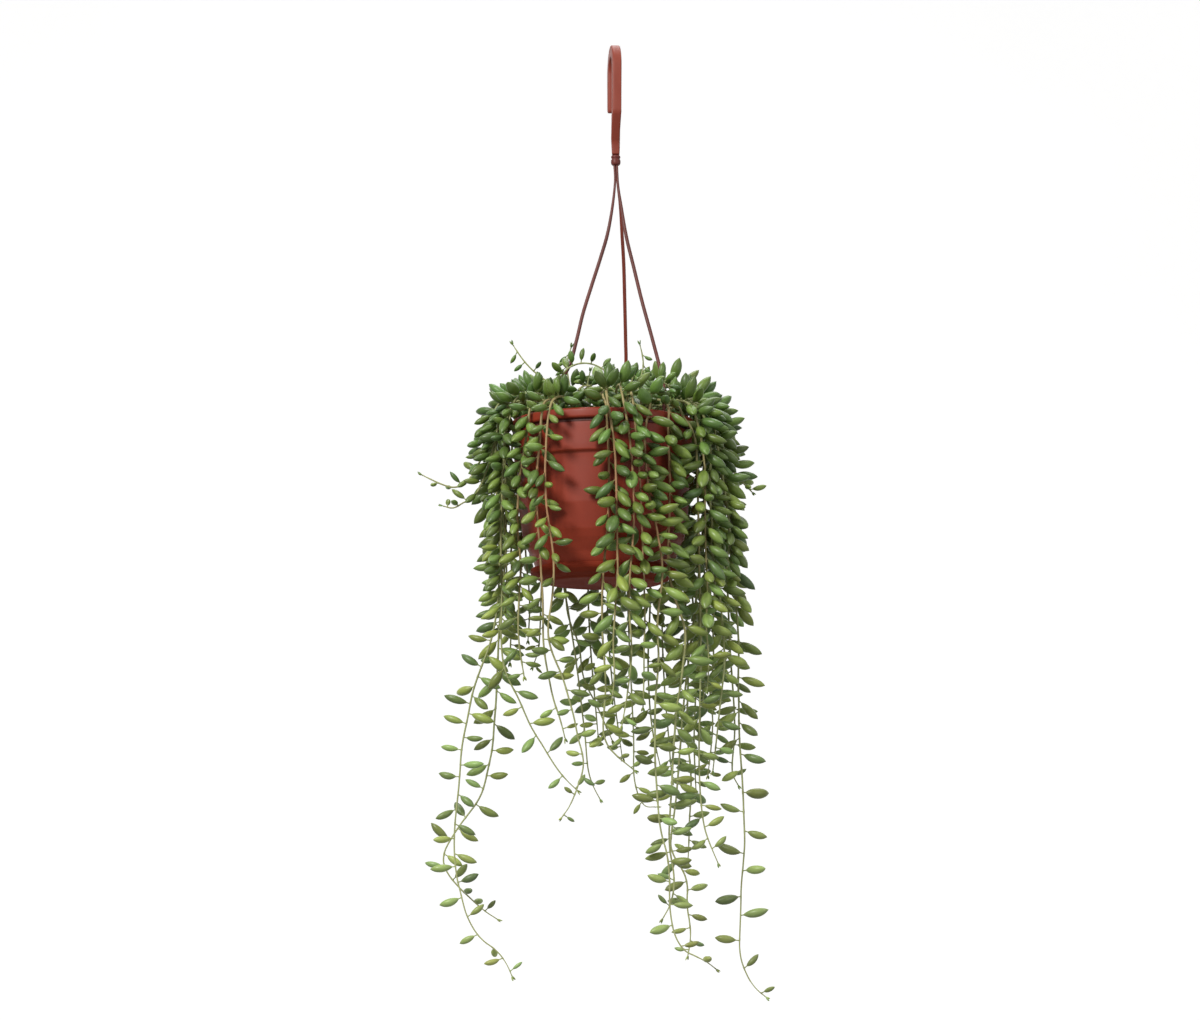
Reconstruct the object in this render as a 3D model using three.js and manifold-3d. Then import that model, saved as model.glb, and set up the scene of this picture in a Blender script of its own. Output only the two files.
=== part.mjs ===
import * as THREE from 'three';
import { mergeVertices } from 'three/addons/utils/BufferGeometryUtils.js';
import Module from 'manifold-3d';

// A trailing succulent in a round hanging pot on a three-strand hook.
// Millimetres, +Z up. The origin is the inner crown of the hook, where it
// bears on a pole; the plant hangs below it and its front faces -Y.

// ---- driving dimensions ---------------------------------------------------
const POT_X = -10;            // the pot hangs a little to the left of the hook
const RIM_Z = -306;           // top of the lip
const LIP_R = 75;             // lip radius
const WALL = 2;               // wall thickness
const BAND_R = 72.5;          // shoulder band under the lip
const BAND_FOOT_Z = -340;     // lower edge of the shoulder band
const POT_FLOOR_Z = -434.5;   // underside of the pot floor
const SOIL_Z = -320;          // top of the soil
const SAUCER_R = 59.2;        // outer radius of the clip-on saucer
const SAUCER_BASE_Z = -438;   // its flat underside
const SAUCER_BASE_R = 46;
const EAR_R = 62;             // strand slots lie on this circle
const EAR_AZ = [249, 9, 129]; // left, back and right strand, clockwise from +Y
const EAR_TOP_Z = -307.2;
const EAR_T = 2.5;
const HOOK_T = 7.4;           // thickness of the plate-like hook
const HOOK_IN = 11;           // inner radius of the hook's bend
const HOOK_W = 9;             // radial width of the hook's band at the crown
const HOOK_SKEW = 7;         // degrees the bend leans across, back end to the left
const COLLAR_R = 3.9;
const STEM_R = 0.9;           // radius of a shoot's stem
const LEAF_SEAT = 1.1;        // half height of the stem collar a leaf grows from
const GAP = 0.3;              // clearance between neighbouring pieces

const deg = THREE.MathUtils.degToRad;
const rot = (az) => [Math.sin(deg(az)), Math.cos(deg(az))];

const M = {
  hanger: new THREE.MeshStandardMaterial({ color: 0xa4503f, roughness: 0.5, metalness: 0 }),
  collar: new THREE.MeshStandardMaterial({ color: 0x8a3f33, roughness: 0.55, metalness: 0 }),
  pot: new THREE.MeshStandardMaterial({ color: 0x9b443a, roughness: 0.45, metalness: 0 }),
  soil: new THREE.MeshStandardMaterial({ color: 0x33261c, roughness: 0.95, metalness: 0 }),
  shoot: new THREE.MeshStandardMaterial({ color: 0x5a7646, roughness: 0.5, metalness: 0 }),
};

// ---- mesh helpers ---------------------------------------------------------
function meshOf(name, verts, tris, material) {
  const g = new THREE.BufferGeometry();
  g.setAttribute('position', new THREE.Float32BufferAttribute(verts.flat(), 3));
  g.setIndex(tris.flat());
  g.computeVertexNormals();
  const m = new THREE.Mesh(g, material);
  m.name = name;
  return m;
}

// Solid of revolution about Z. The profile is [radius, z] pairs that either
// start and end on the axis or close on themselves.
function revolve(profile, n, closed) {
  const verts = [], rows = [];
  for (const [r, z] of profile) {
    if (r < 1e-6) { rows.push([verts.length]); verts.push([0, 0, z]); continue; }
    const row = [];
    for (let i = 0; i < n; i++) {
      const a = (2 * Math.PI * i) / n;
      row.push(verts.length);
      verts.push([r * Math.cos(a), r * Math.sin(a), z]);
    }
    rows.push(row);
  }
  const tris = [];
  const count = closed ? rows.length : rows.length - 1;
  for (let k = 0; k < count; k++) {
    const A = rows[k], B = rows[(k + 1) % rows.length];
    for (let i = 0; i < n; i++) {
      const j = (i + 1) % n;
      if (A.length === 1 && B.length === 1) continue;
      if (A.length === 1) tris.push([A[0], B[i], B[j]]);
      else if (B.length === 1) tris.push([A[i], B[0], A[j]]);
      else { tris.push([A[i], B[i], B[j]]); tris.push([A[i], B[j], A[j]]); }
    }
  }
  return { verts, tris };
}

function volume({ verts, tris }) {
  let v = 0;
  for (const [a, b, c] of tris) {
    const [A, B, C] = [verts[a], verts[b], verts[c]];
    v += A[0] * (B[1] * C[2] - B[2] * C[1]) + A[1] * (B[2] * C[0] - B[0] * C[2]) + A[2] * (B[0] * C[1] - B[1] * C[0]);
  }
  return v / 6;
}
function outward(s) {
  if (volume(s) < 0) s.tris = s.tris.map(([a, b, c]) => [a, c, b]);
  return s;
}
const shifted = (s, x, y = 0, z = 0) => ({ verts: s.verts.map(([a, b, c]) => [a + x, b + y, c + z]), tris: s.tris });

const wasm = await Module();
wasm.setup();
function solid(s) {
  const g = new THREE.BufferGeometry();
  g.setAttribute('position', new THREE.Float32BufferAttribute(s.verts.flat(), 3));
  g.setIndex(s.tris.flat());
  const w = mergeVertices(g, 1e-4);
  return new wasm.Manifold(new wasm.Mesh({
    numProp: 3,
    vertProperties: new Float32Array(w.attributes.position.array),
    triVerts: new Uint32Array(w.index.array),
  }));
}
function fromSolid(m) {
  const k = m.getMesh();
  const verts = [], tris = [];
  for (let i = 0; i < k.vertProperties.length; i += k.numProp) verts.push([k.vertProperties[i], k.vertProperties[i + 1], k.vertProperties[i + 2]]);
  for (let i = 0; i < k.triVerts.length; i += 3) tris.push([k.triVerts[i], k.triVerts[i + 1], k.triVerts[i + 2]]);
  return { verts, tris };
}
// A three.js geometry (or one placed by a matrix) as a plain solid.
function plain(geometry, matrix) {
  const g = geometry.clone();
  if (matrix) g.applyMatrix4(matrix);
  for (const k of Object.keys(g.attributes)) if (k !== 'position') g.deleteAttribute(k);
  const w = mergeVertices(g, 1e-4);
  const p = w.attributes.position, verts = [], tris = [];
  for (let i = 0; i < p.count; i++) verts.push([p.getX(i), p.getY(i), p.getZ(i)]);
  for (let i = 0; i < w.index.count; i += 3) {
    const t = [w.index.getX(i), w.index.getX(i + 1), w.index.getX(i + 2)];
    if (t[0] !== t[1] && t[1] !== t[2] && t[0] !== t[2]) tris.push(t);
  }
  return { verts, tris };
}

const group = new THREE.Group();

// ---- hook: a flat band bent over the pole, front shank, slanted neck, stub -
{
  const ro = HOOK_IN + HOOK_W - 1, ri = HOOK_IN, cz = -HOOK_IN;
  const p = [];
  // outer side, from the tip at the back over the crown to the front shank
  p.push([ri + 0.6, -41.2], [ri + 3.2, -43.4], [ri + 6.0, -42.2], [ri + 7.2, -39]);
  for (let i = 0; i <= 14; i++) {
    const a = (Math.PI * i) / 14;
    p.push([ro * Math.cos(a), cz + (ro + 2 * Math.sin(a)) * Math.sin(a)]);
  }
  p.push([-ro, -49.5], [-ro + 1.4, -53], [-4.6, -71], [-3.6, -75], [-3.4, -82.7]);
  p.push([3.4, -82.7], [3.6, -74], [2.4, -70], [-8.6, -53.4], [-10.4, -50], [-ri, -46]);
  // inner side, back up the shank and over a small level seat at the crown
  const seat = 2.6;
  const a0 = Math.acos(seat / ri);
  for (let i = 0; i <= 5; i++) {
    const a = Math.PI - ((Math.PI - (Math.PI - a0)) * i) / 5;
    const s = i === 5 ? 0 : cz + (ri * Math.sin(a)) * (HOOK_IN / (ri * Math.sin(a0)));
    p.push([ri * Math.cos(a), i === 0 ? cz : s]);
  }
  for (let i = 0; i <= 5; i++) {
    const a = a0 - (a0 * i) / 5;
    const s = i === 0 ? 0 : cz + (ri * Math.sin(a)) * (HOOK_IN / (ri * Math.sin(a0)));
    p.push([ri * Math.cos(a), i === 5 ? cz : s]);
  }
  const shape = new THREE.Shape(p.map(([y, z]) => new THREE.Vector2(y, z)));
  const c = 0.7;
  const g = new THREE.ExtrudeGeometry(shape, { depth: HOOK_T - 2 * c, bevelEnabled: true, bevelThickness: c, bevelSize: c, bevelOffset: -c, bevelSegments: 1, curveSegments: 1 });
  // shape x -> Y, shape y -> Z, extrusion -> X
  const m = new THREE.Matrix4().set(0, 0, 1, -HOOK_T / 2 + c, 1, 0, 0, 0, 0, 1, 0, 0, 0, 0, 0, 1);
  const s = outward(plain(g, m));
  // the bend is skewed sideways; the neck brings the shank back to the centre
  s.verts = s.verts.map(([x, y, z]) => {
    const w = Math.min(1, Math.max(0, (z + 73) / 24));
    return [x * (1 - 0.14 * Math.min(1, Math.max(0, (-60 - z) / 22))) - Math.tan(deg(HOOK_SKEW)) * (y + 9) * w, y, z];
  });
  group.add(meshOf('hook', s.verts, s.tris, M.hanger));
}

// ---- collar under the hook ------------------------------------------------
{
  const t = -83, b = -91.5;
  const s = outward(revolve([[0, t], [COLLAR_R - 0.9, t], [COLLAR_R - 0.1, t - 0.9], [COLLAR_R, t - 2.2], [COLLAR_R - 0.6, t - 2.8], [COLLAR_R - 0.6, t - 3.6], [COLLAR_R, t - 4.2], [COLLAR_R, b + 1.2], [COLLAR_R - 1, b], [0, b]], 14, false));
  group.add(meshOf('hanger_collar', s.verts, s.tris, M.collar));
}

// ---- strands: smooth bowed rods that end in a barbed foot through an ear ---
const STRANDS = {
  strand_left: [[-1.18, -0.46, -91.8], [-0.62, -1.21, -105.78], [-2.78, -2.74, -127.22], [-6.82, -4.88, -150.4], [-12.8, -6.98, -171.81], [-19.89, -9.35, -194.85], [-26.79, -11.84, -218.23], [-32.11, -14.39, -241.51], [-37.82, -16.75, -262.59], [-47, -18.8, -277], [-57.4, -20.9, -290.5], [-65.2, -21.9, -298.5], [-67.88, -22.22, -303.5]],
  strand_back: [[0.2, 1.28, -91.8], [1.54, 3.65, -106.23], [3.69, 7.56, -124.68], [5.45, 14.58, -150.02], [6.72, 20.91, -171.36], [7.58, 30.23, -201.42], [8.29, 39.39, -229.96], [8.49, 46.17, -250.61], [5.6, 55.4, -279], [2, 60, -294], [-0.3, 61.24, -303.5]],
  strand_right: [[1, -0.82, -91.8], [2, -2.53, -109.49], [4.59, -4.82, -127.73], [8.62, -9, -153.89], [14.26, -13.33, -179.09], [21.29, -18.94, -210.2], [29.54, -25.1, -242.82], [36.76, -31.1, -273.51], [38.4, -37.8, -290], [38.18, -39.02, -303.5]],
};
function strand(name, pts, az) {
  const [sx, sy] = rot(az);
  const ex = POT_X + EAR_R * sx, ey = EAR_R * sy;
  const curve = new THREE.CatmullRomCurve3(pts.map(([x, y, z]) => new THREE.Vector3(x, y, z)), false, 'centripetal');
  const rings = [];
  const N = 24;
  for (let i = 0; i <= N; i++) {
    const q = curve.getPointAt(i / N), t = curve.getTangentAt(i / N);
    const r = 0.92 + 0.53 * Math.min(1, Math.max(0, (-104 - q.z) / 50));
    rings.push({ c: q, t, r });
  }
  rings[0].t = new THREE.Vector3(0, 0, -1);
  rings[N].t = new THREE.Vector3(0, 0, -1);
  const down = new THREE.Vector3(0, 0, -1);
  const foot = (dz, r) => rings.push({ c: new THREE.Vector3(ex, ey, EAR_TOP_Z + dz), t: down, r });
  // shoulder above the ear, neck through its slot, barb below it
  foot(2.9, 1.6); foot(2.2, 2.6); foot(GAP, 2.6); foot(GAP - 0.02, 1.4);
  foot(-EAR_T - GAP, 1.4); foot(-EAR_T - GAP - 0.4, 2.5); foot(-EAR_T - GAP - 3.4, 1.3);
  const n = 7, verts = [], tris = [];
  let u = new THREE.Vector3(1, 0, 0);
  for (const { c, t, r } of rings) {
    u = u.clone().addScaledVector(t, -u.dot(t)).normalize();
    const v = new THREE.Vector3().crossVectors(t, u);
    for (let j = 0; j < n; j++) {
      const a = (2 * Math.PI * j) / n;
      const q = c.clone().addScaledVector(u, r * Math.cos(a)).addScaledVector(v, r * Math.sin(a));
      verts.push([q.x, q.y, q.z]);
    }
  }
  for (let k = 0; k + 1 < rings.length; k++) for (let j = 0; j < n; j++) {
    const a = k * n + j, b = k * n + ((j + 1) % n), c = b + n, d = a + n;
    tris.push([a, b, c], [a, c, d]);
  }
  const last = (rings.length - 1) * n;
  for (let j = 1; j + 1 < n; j++) { tris.push([0, j + 1, j]); tris.push([last, last + j, last + j + 1]); }
  const s = outward({ verts, tris });
  group.add(meshOf(name, s.verts, s.tris, M.hanger));
}
Object.keys(STRANDS).forEach((k, i) => strand(k, STRANDS[k], EAR_AZ[i]));

// ---- pot: turned wall and floor, joined to three slotted ears ---------------
{
  const prof = [
    [73.4, RIM_Z], [LIP_R, RIM_Z - 1.4], [LIP_R, RIM_Z - 7], [73.9, RIM_Z - 8.2], [71.7, RIM_Z - 8.6], [71.7, RIM_Z - 10.2],
    [BAND_R, RIM_Z - 11], [BAND_R, BAND_FOOT_Z + 0.8], [70.2, BAND_FOOT_Z - 1], [68.4, -380], [65.4, -401], [63.2, -407.5],
    [60.4, -413], [57.6, -418], [56, -423], [54.4, -428], [52, -432], [48.6, POT_FLOOR_Z], [0, POT_FLOOR_Z],
    [0, POT_FLOOR_Z + 2.2], [48, POT_FLOOR_Z + 2.2], [50.4, -430.6], [52.5, -427], [58.4, -412.6], [63.3, -400.6], [68.2 - 1.8, -379.8],
    [68.2, BAND_FOOT_Z - 1.6], [BAND_R - WALL, BAND_FOOT_Z + 1.4], [BAND_R - WALL, RIM_Z - 3], [71.2, RIM_Z],
  ];
  const N = 36;
  // the ring closes over the lip: last profile point joins the first
  const wall = (() => {
    const verts = [], rows = [];
    for (const [r, z] of prof) {
      if (r < 1e-6) { rows.push([verts.length]); verts.push([0, 0, z]); continue; }
      const row = [];
      for (let i = 0; i < N; i++) { const a = (2 * Math.PI * i) / N; row.push(verts.length); verts.push([r * Math.cos(a), r * Math.sin(a), z]); }
      rows.push(row);
    }
    const tris = [];
    for (let k = 0; k < rows.length; k++) {
      const A = rows[k], B = rows[(k + 1) % rows.length];
      if (A.length === 1 && B.length === 1) continue;
      for (let i = 0; i < N; i++) {
        const j = (i + 1) % N;
        if (A.length === 1) tris.push([A[0], B[i], B[j]]);
        else if (B.length === 1) tris.push([A[i], B[0], A[j]]);
        else { tris.push([A[i], B[i], B[j]]); tris.push([A[i], B[j], A[j]]); }
      }
    }
    return outward({ verts, tris });
  })();
  let pot = solid(wall);
  for (const az of EAR_AZ) {
    const [sx, sy] = rot(az);
    // tab of the ear, radially from 56 mm out into the wall
    const tab = new THREE.Shape();
    tab.moveTo(-6, 71.6); tab.lineTo(-6, 60); tab.lineTo(-4, 57); tab.lineTo(4, 57); tab.lineTo(6, 60); tab.lineTo(6, 71.6); tab.closePath();
    const hole = new THREE.Path();
    for (let i = 0; i <= 12; i++) { const a = (2 * Math.PI * i) / 12; const x = 1.9 * Math.cos(a), y = EAR_R + 1.9 * Math.sin(a); if (i === 0) hole.moveTo(x, y); else hole.lineTo(x, y); }
    tab.holes.push(hole);
    const g = new THREE.ExtrudeGeometry(tab, { depth: EAR_T, bevelEnabled: false, curveSegments: 1 });
    // tab's local y is radial: turn it so that it points along (sx, sy)
    const m = new THREE.Matrix4().makeRotationZ(Math.atan2(sy, sx) - Math.PI / 2).setPosition(0, 0, EAR_TOP_Z - EAR_T);
    pot = pot.add(solid(outward(plain(g, m))));
  }
  const s = shifted(fromSolid(pot), POT_X);
  group.add(meshOf('pot', s.verts, s.tris, M.pot));
}

// ---- saucer clipped under the pot -----------------------------------------
{
  const s = outward(revolve([
    [0, -435], [49.6, -435], [53.6, -433.2], [56.4, -430], [57.4, -426.8], [58.6, -426.6], [SAUCER_R, -427.4], [SAUCER_R, -429.6], [58.4, -431.2],
    [54, -434.4], [48.6, -436.6], [47.4, -437.4], [SAUCER_BASE_R, SAUCER_BASE_Z], [0, SAUCER_BASE_Z],
  ], 36, false));
  const t = shifted(s, POT_X);
  group.add(meshOf('saucer', t.verts, t.tris, M.pot));
}

// ---- soil fill --------------------------------------------------------------
{
  const s = outward(revolve([
    [0, SOIL_Z], [67, SOIL_Z], [69.6, SOIL_Z - 1], [69.6, BAND_FOOT_Z + 1.2], [67.4, BAND_FOOT_Z - 2.2], [65.6, -380.2], [62.6, -400.2], [57.4, -412.4],
    [51.4, -426.6], [47.6, -431.6], [0, -431.6],
  ], 28, false));
  const t = shifted(s, POT_X);
  group.add(meshOf('soil', t.verts, t.tris, M.soil));
}

// ---- shoots -----------------------------------------------------------------
// Each shoot is one body: a three-sided stem through its joints, and a leaf
// grown out of the stem's side at some of them. A leaf is [joint, azimuth,
// elevation, stalk, length, width]; its widest section is four-cornered.
function shoot(name, flat, leaves) {
  const P = [];
  for (let i = 0; i < flat.length; i += 3) P.push(new THREE.Vector3(flat[i], flat[i + 1], flat[i + 2]));
  const at = new Map(leaves.map((l) => [l[0], l]));
  const verts = [], tris = [], put = (v) => (verts.push([v.x, v.y, v.z]), verts.length - 1);
  let a = null, prev = null, turn = 0;
  for (let k = 0; k < P.length; k++) {
    const t = P[Math.min(k + 1, P.length - 1)].clone().sub(P[Math.max(k - 1, 0)]).normalize();
    if (!a) a = Math.abs(t.z) > 0.9 ? new THREE.Vector3(1, 0, 0) : new THREE.Vector3(0, 0, 1);
    a = a.clone().addScaledVector(t, -a.dot(t)).normalize();
    const b = new THREE.Vector3().crossVectors(t, a);
    const leaf = at.get(k);
    let d = null, side = -1;
    if (leaf) {
      const [az, el] = [deg(leaf[1]), deg(leaf[2])];
      d = new THREE.Vector3(Math.cos(el) * Math.cos(az), Math.cos(el) * Math.sin(az), Math.sin(el));
      const phi = Math.atan2(d.dot(b), d.dot(a));
      // turn the section so that one of its sides faces the leaf
      const step = (2 * Math.PI) / 3;
      const n = Math.round((turn - phi) / step);
      turn = phi + n * step;
      side = ((-n % 3) + 3) % 3;
    }
    const ring = (c) => [0, 1, 2].map((j) => {
      const w = turn + Math.PI / 3 + (j * 2 * Math.PI) / 3;
      return put(c.clone().addScaledVector(a, STEM_R * Math.cos(w)).addScaledVector(b, STEM_R * Math.sin(w)));
    });
    const join = (A, B, skip) => {
      for (let j = 0; j < 3; j++) {
        if (j === skip) continue;
        const i = (j + 2) % 3;
        tris.push([A[i], A[j], B[j]], [A[i], B[j], B[i]]);
      }
    };
    const end = k === 0 || k === P.length - 1;
    const A = ring(leaf && !end ? P[k].clone().addScaledVector(t, -LEAF_SEAT) : P[k]);
    if (prev) join(prev, A, -1); else tris.push([A[0], A[2], A[1]]);
    prev = A;
    if (leaf && !end) {
      const B = ring(P[k].clone().addScaledVector(t, LEAF_SEAT));
      join(A, B, side);
      const i = (side + 2) % 3;
      const q = [A[i], A[side], B[side], B[i]];
      const T = t.clone().addScaledVector(d, -t.dot(d)).normalize();
      const S = new THREE.Vector3().crossVectors(T, d);
      const [stalk, len, w] = [leaf[3], leaf[4], leaf[5] / 2];
      const c = P[k].clone().addScaledVector(d, stalk + 0.5 * len);
      const m = [[T, -w], [S, w], [T, w], [S, -w]].map(([e, r]) => put(c.clone().addScaledVector(e, r)));
      const tip = put(P[k].clone().addScaledVector(d, stalk + len));
      for (let e = 0; e < 4; e++) {
        const f = (e + 1) % 4;
        tris.push([q[e], q[f], m[e]], [m[e], q[f], m[f]], [m[e], m[f], tip]);
      }
      prev = B;
    }
  }
  tris.push([prev[0], prev[1], prev[2]]);
  group.add(meshOf(name, verts, tris, M.shoot));
}

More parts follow.
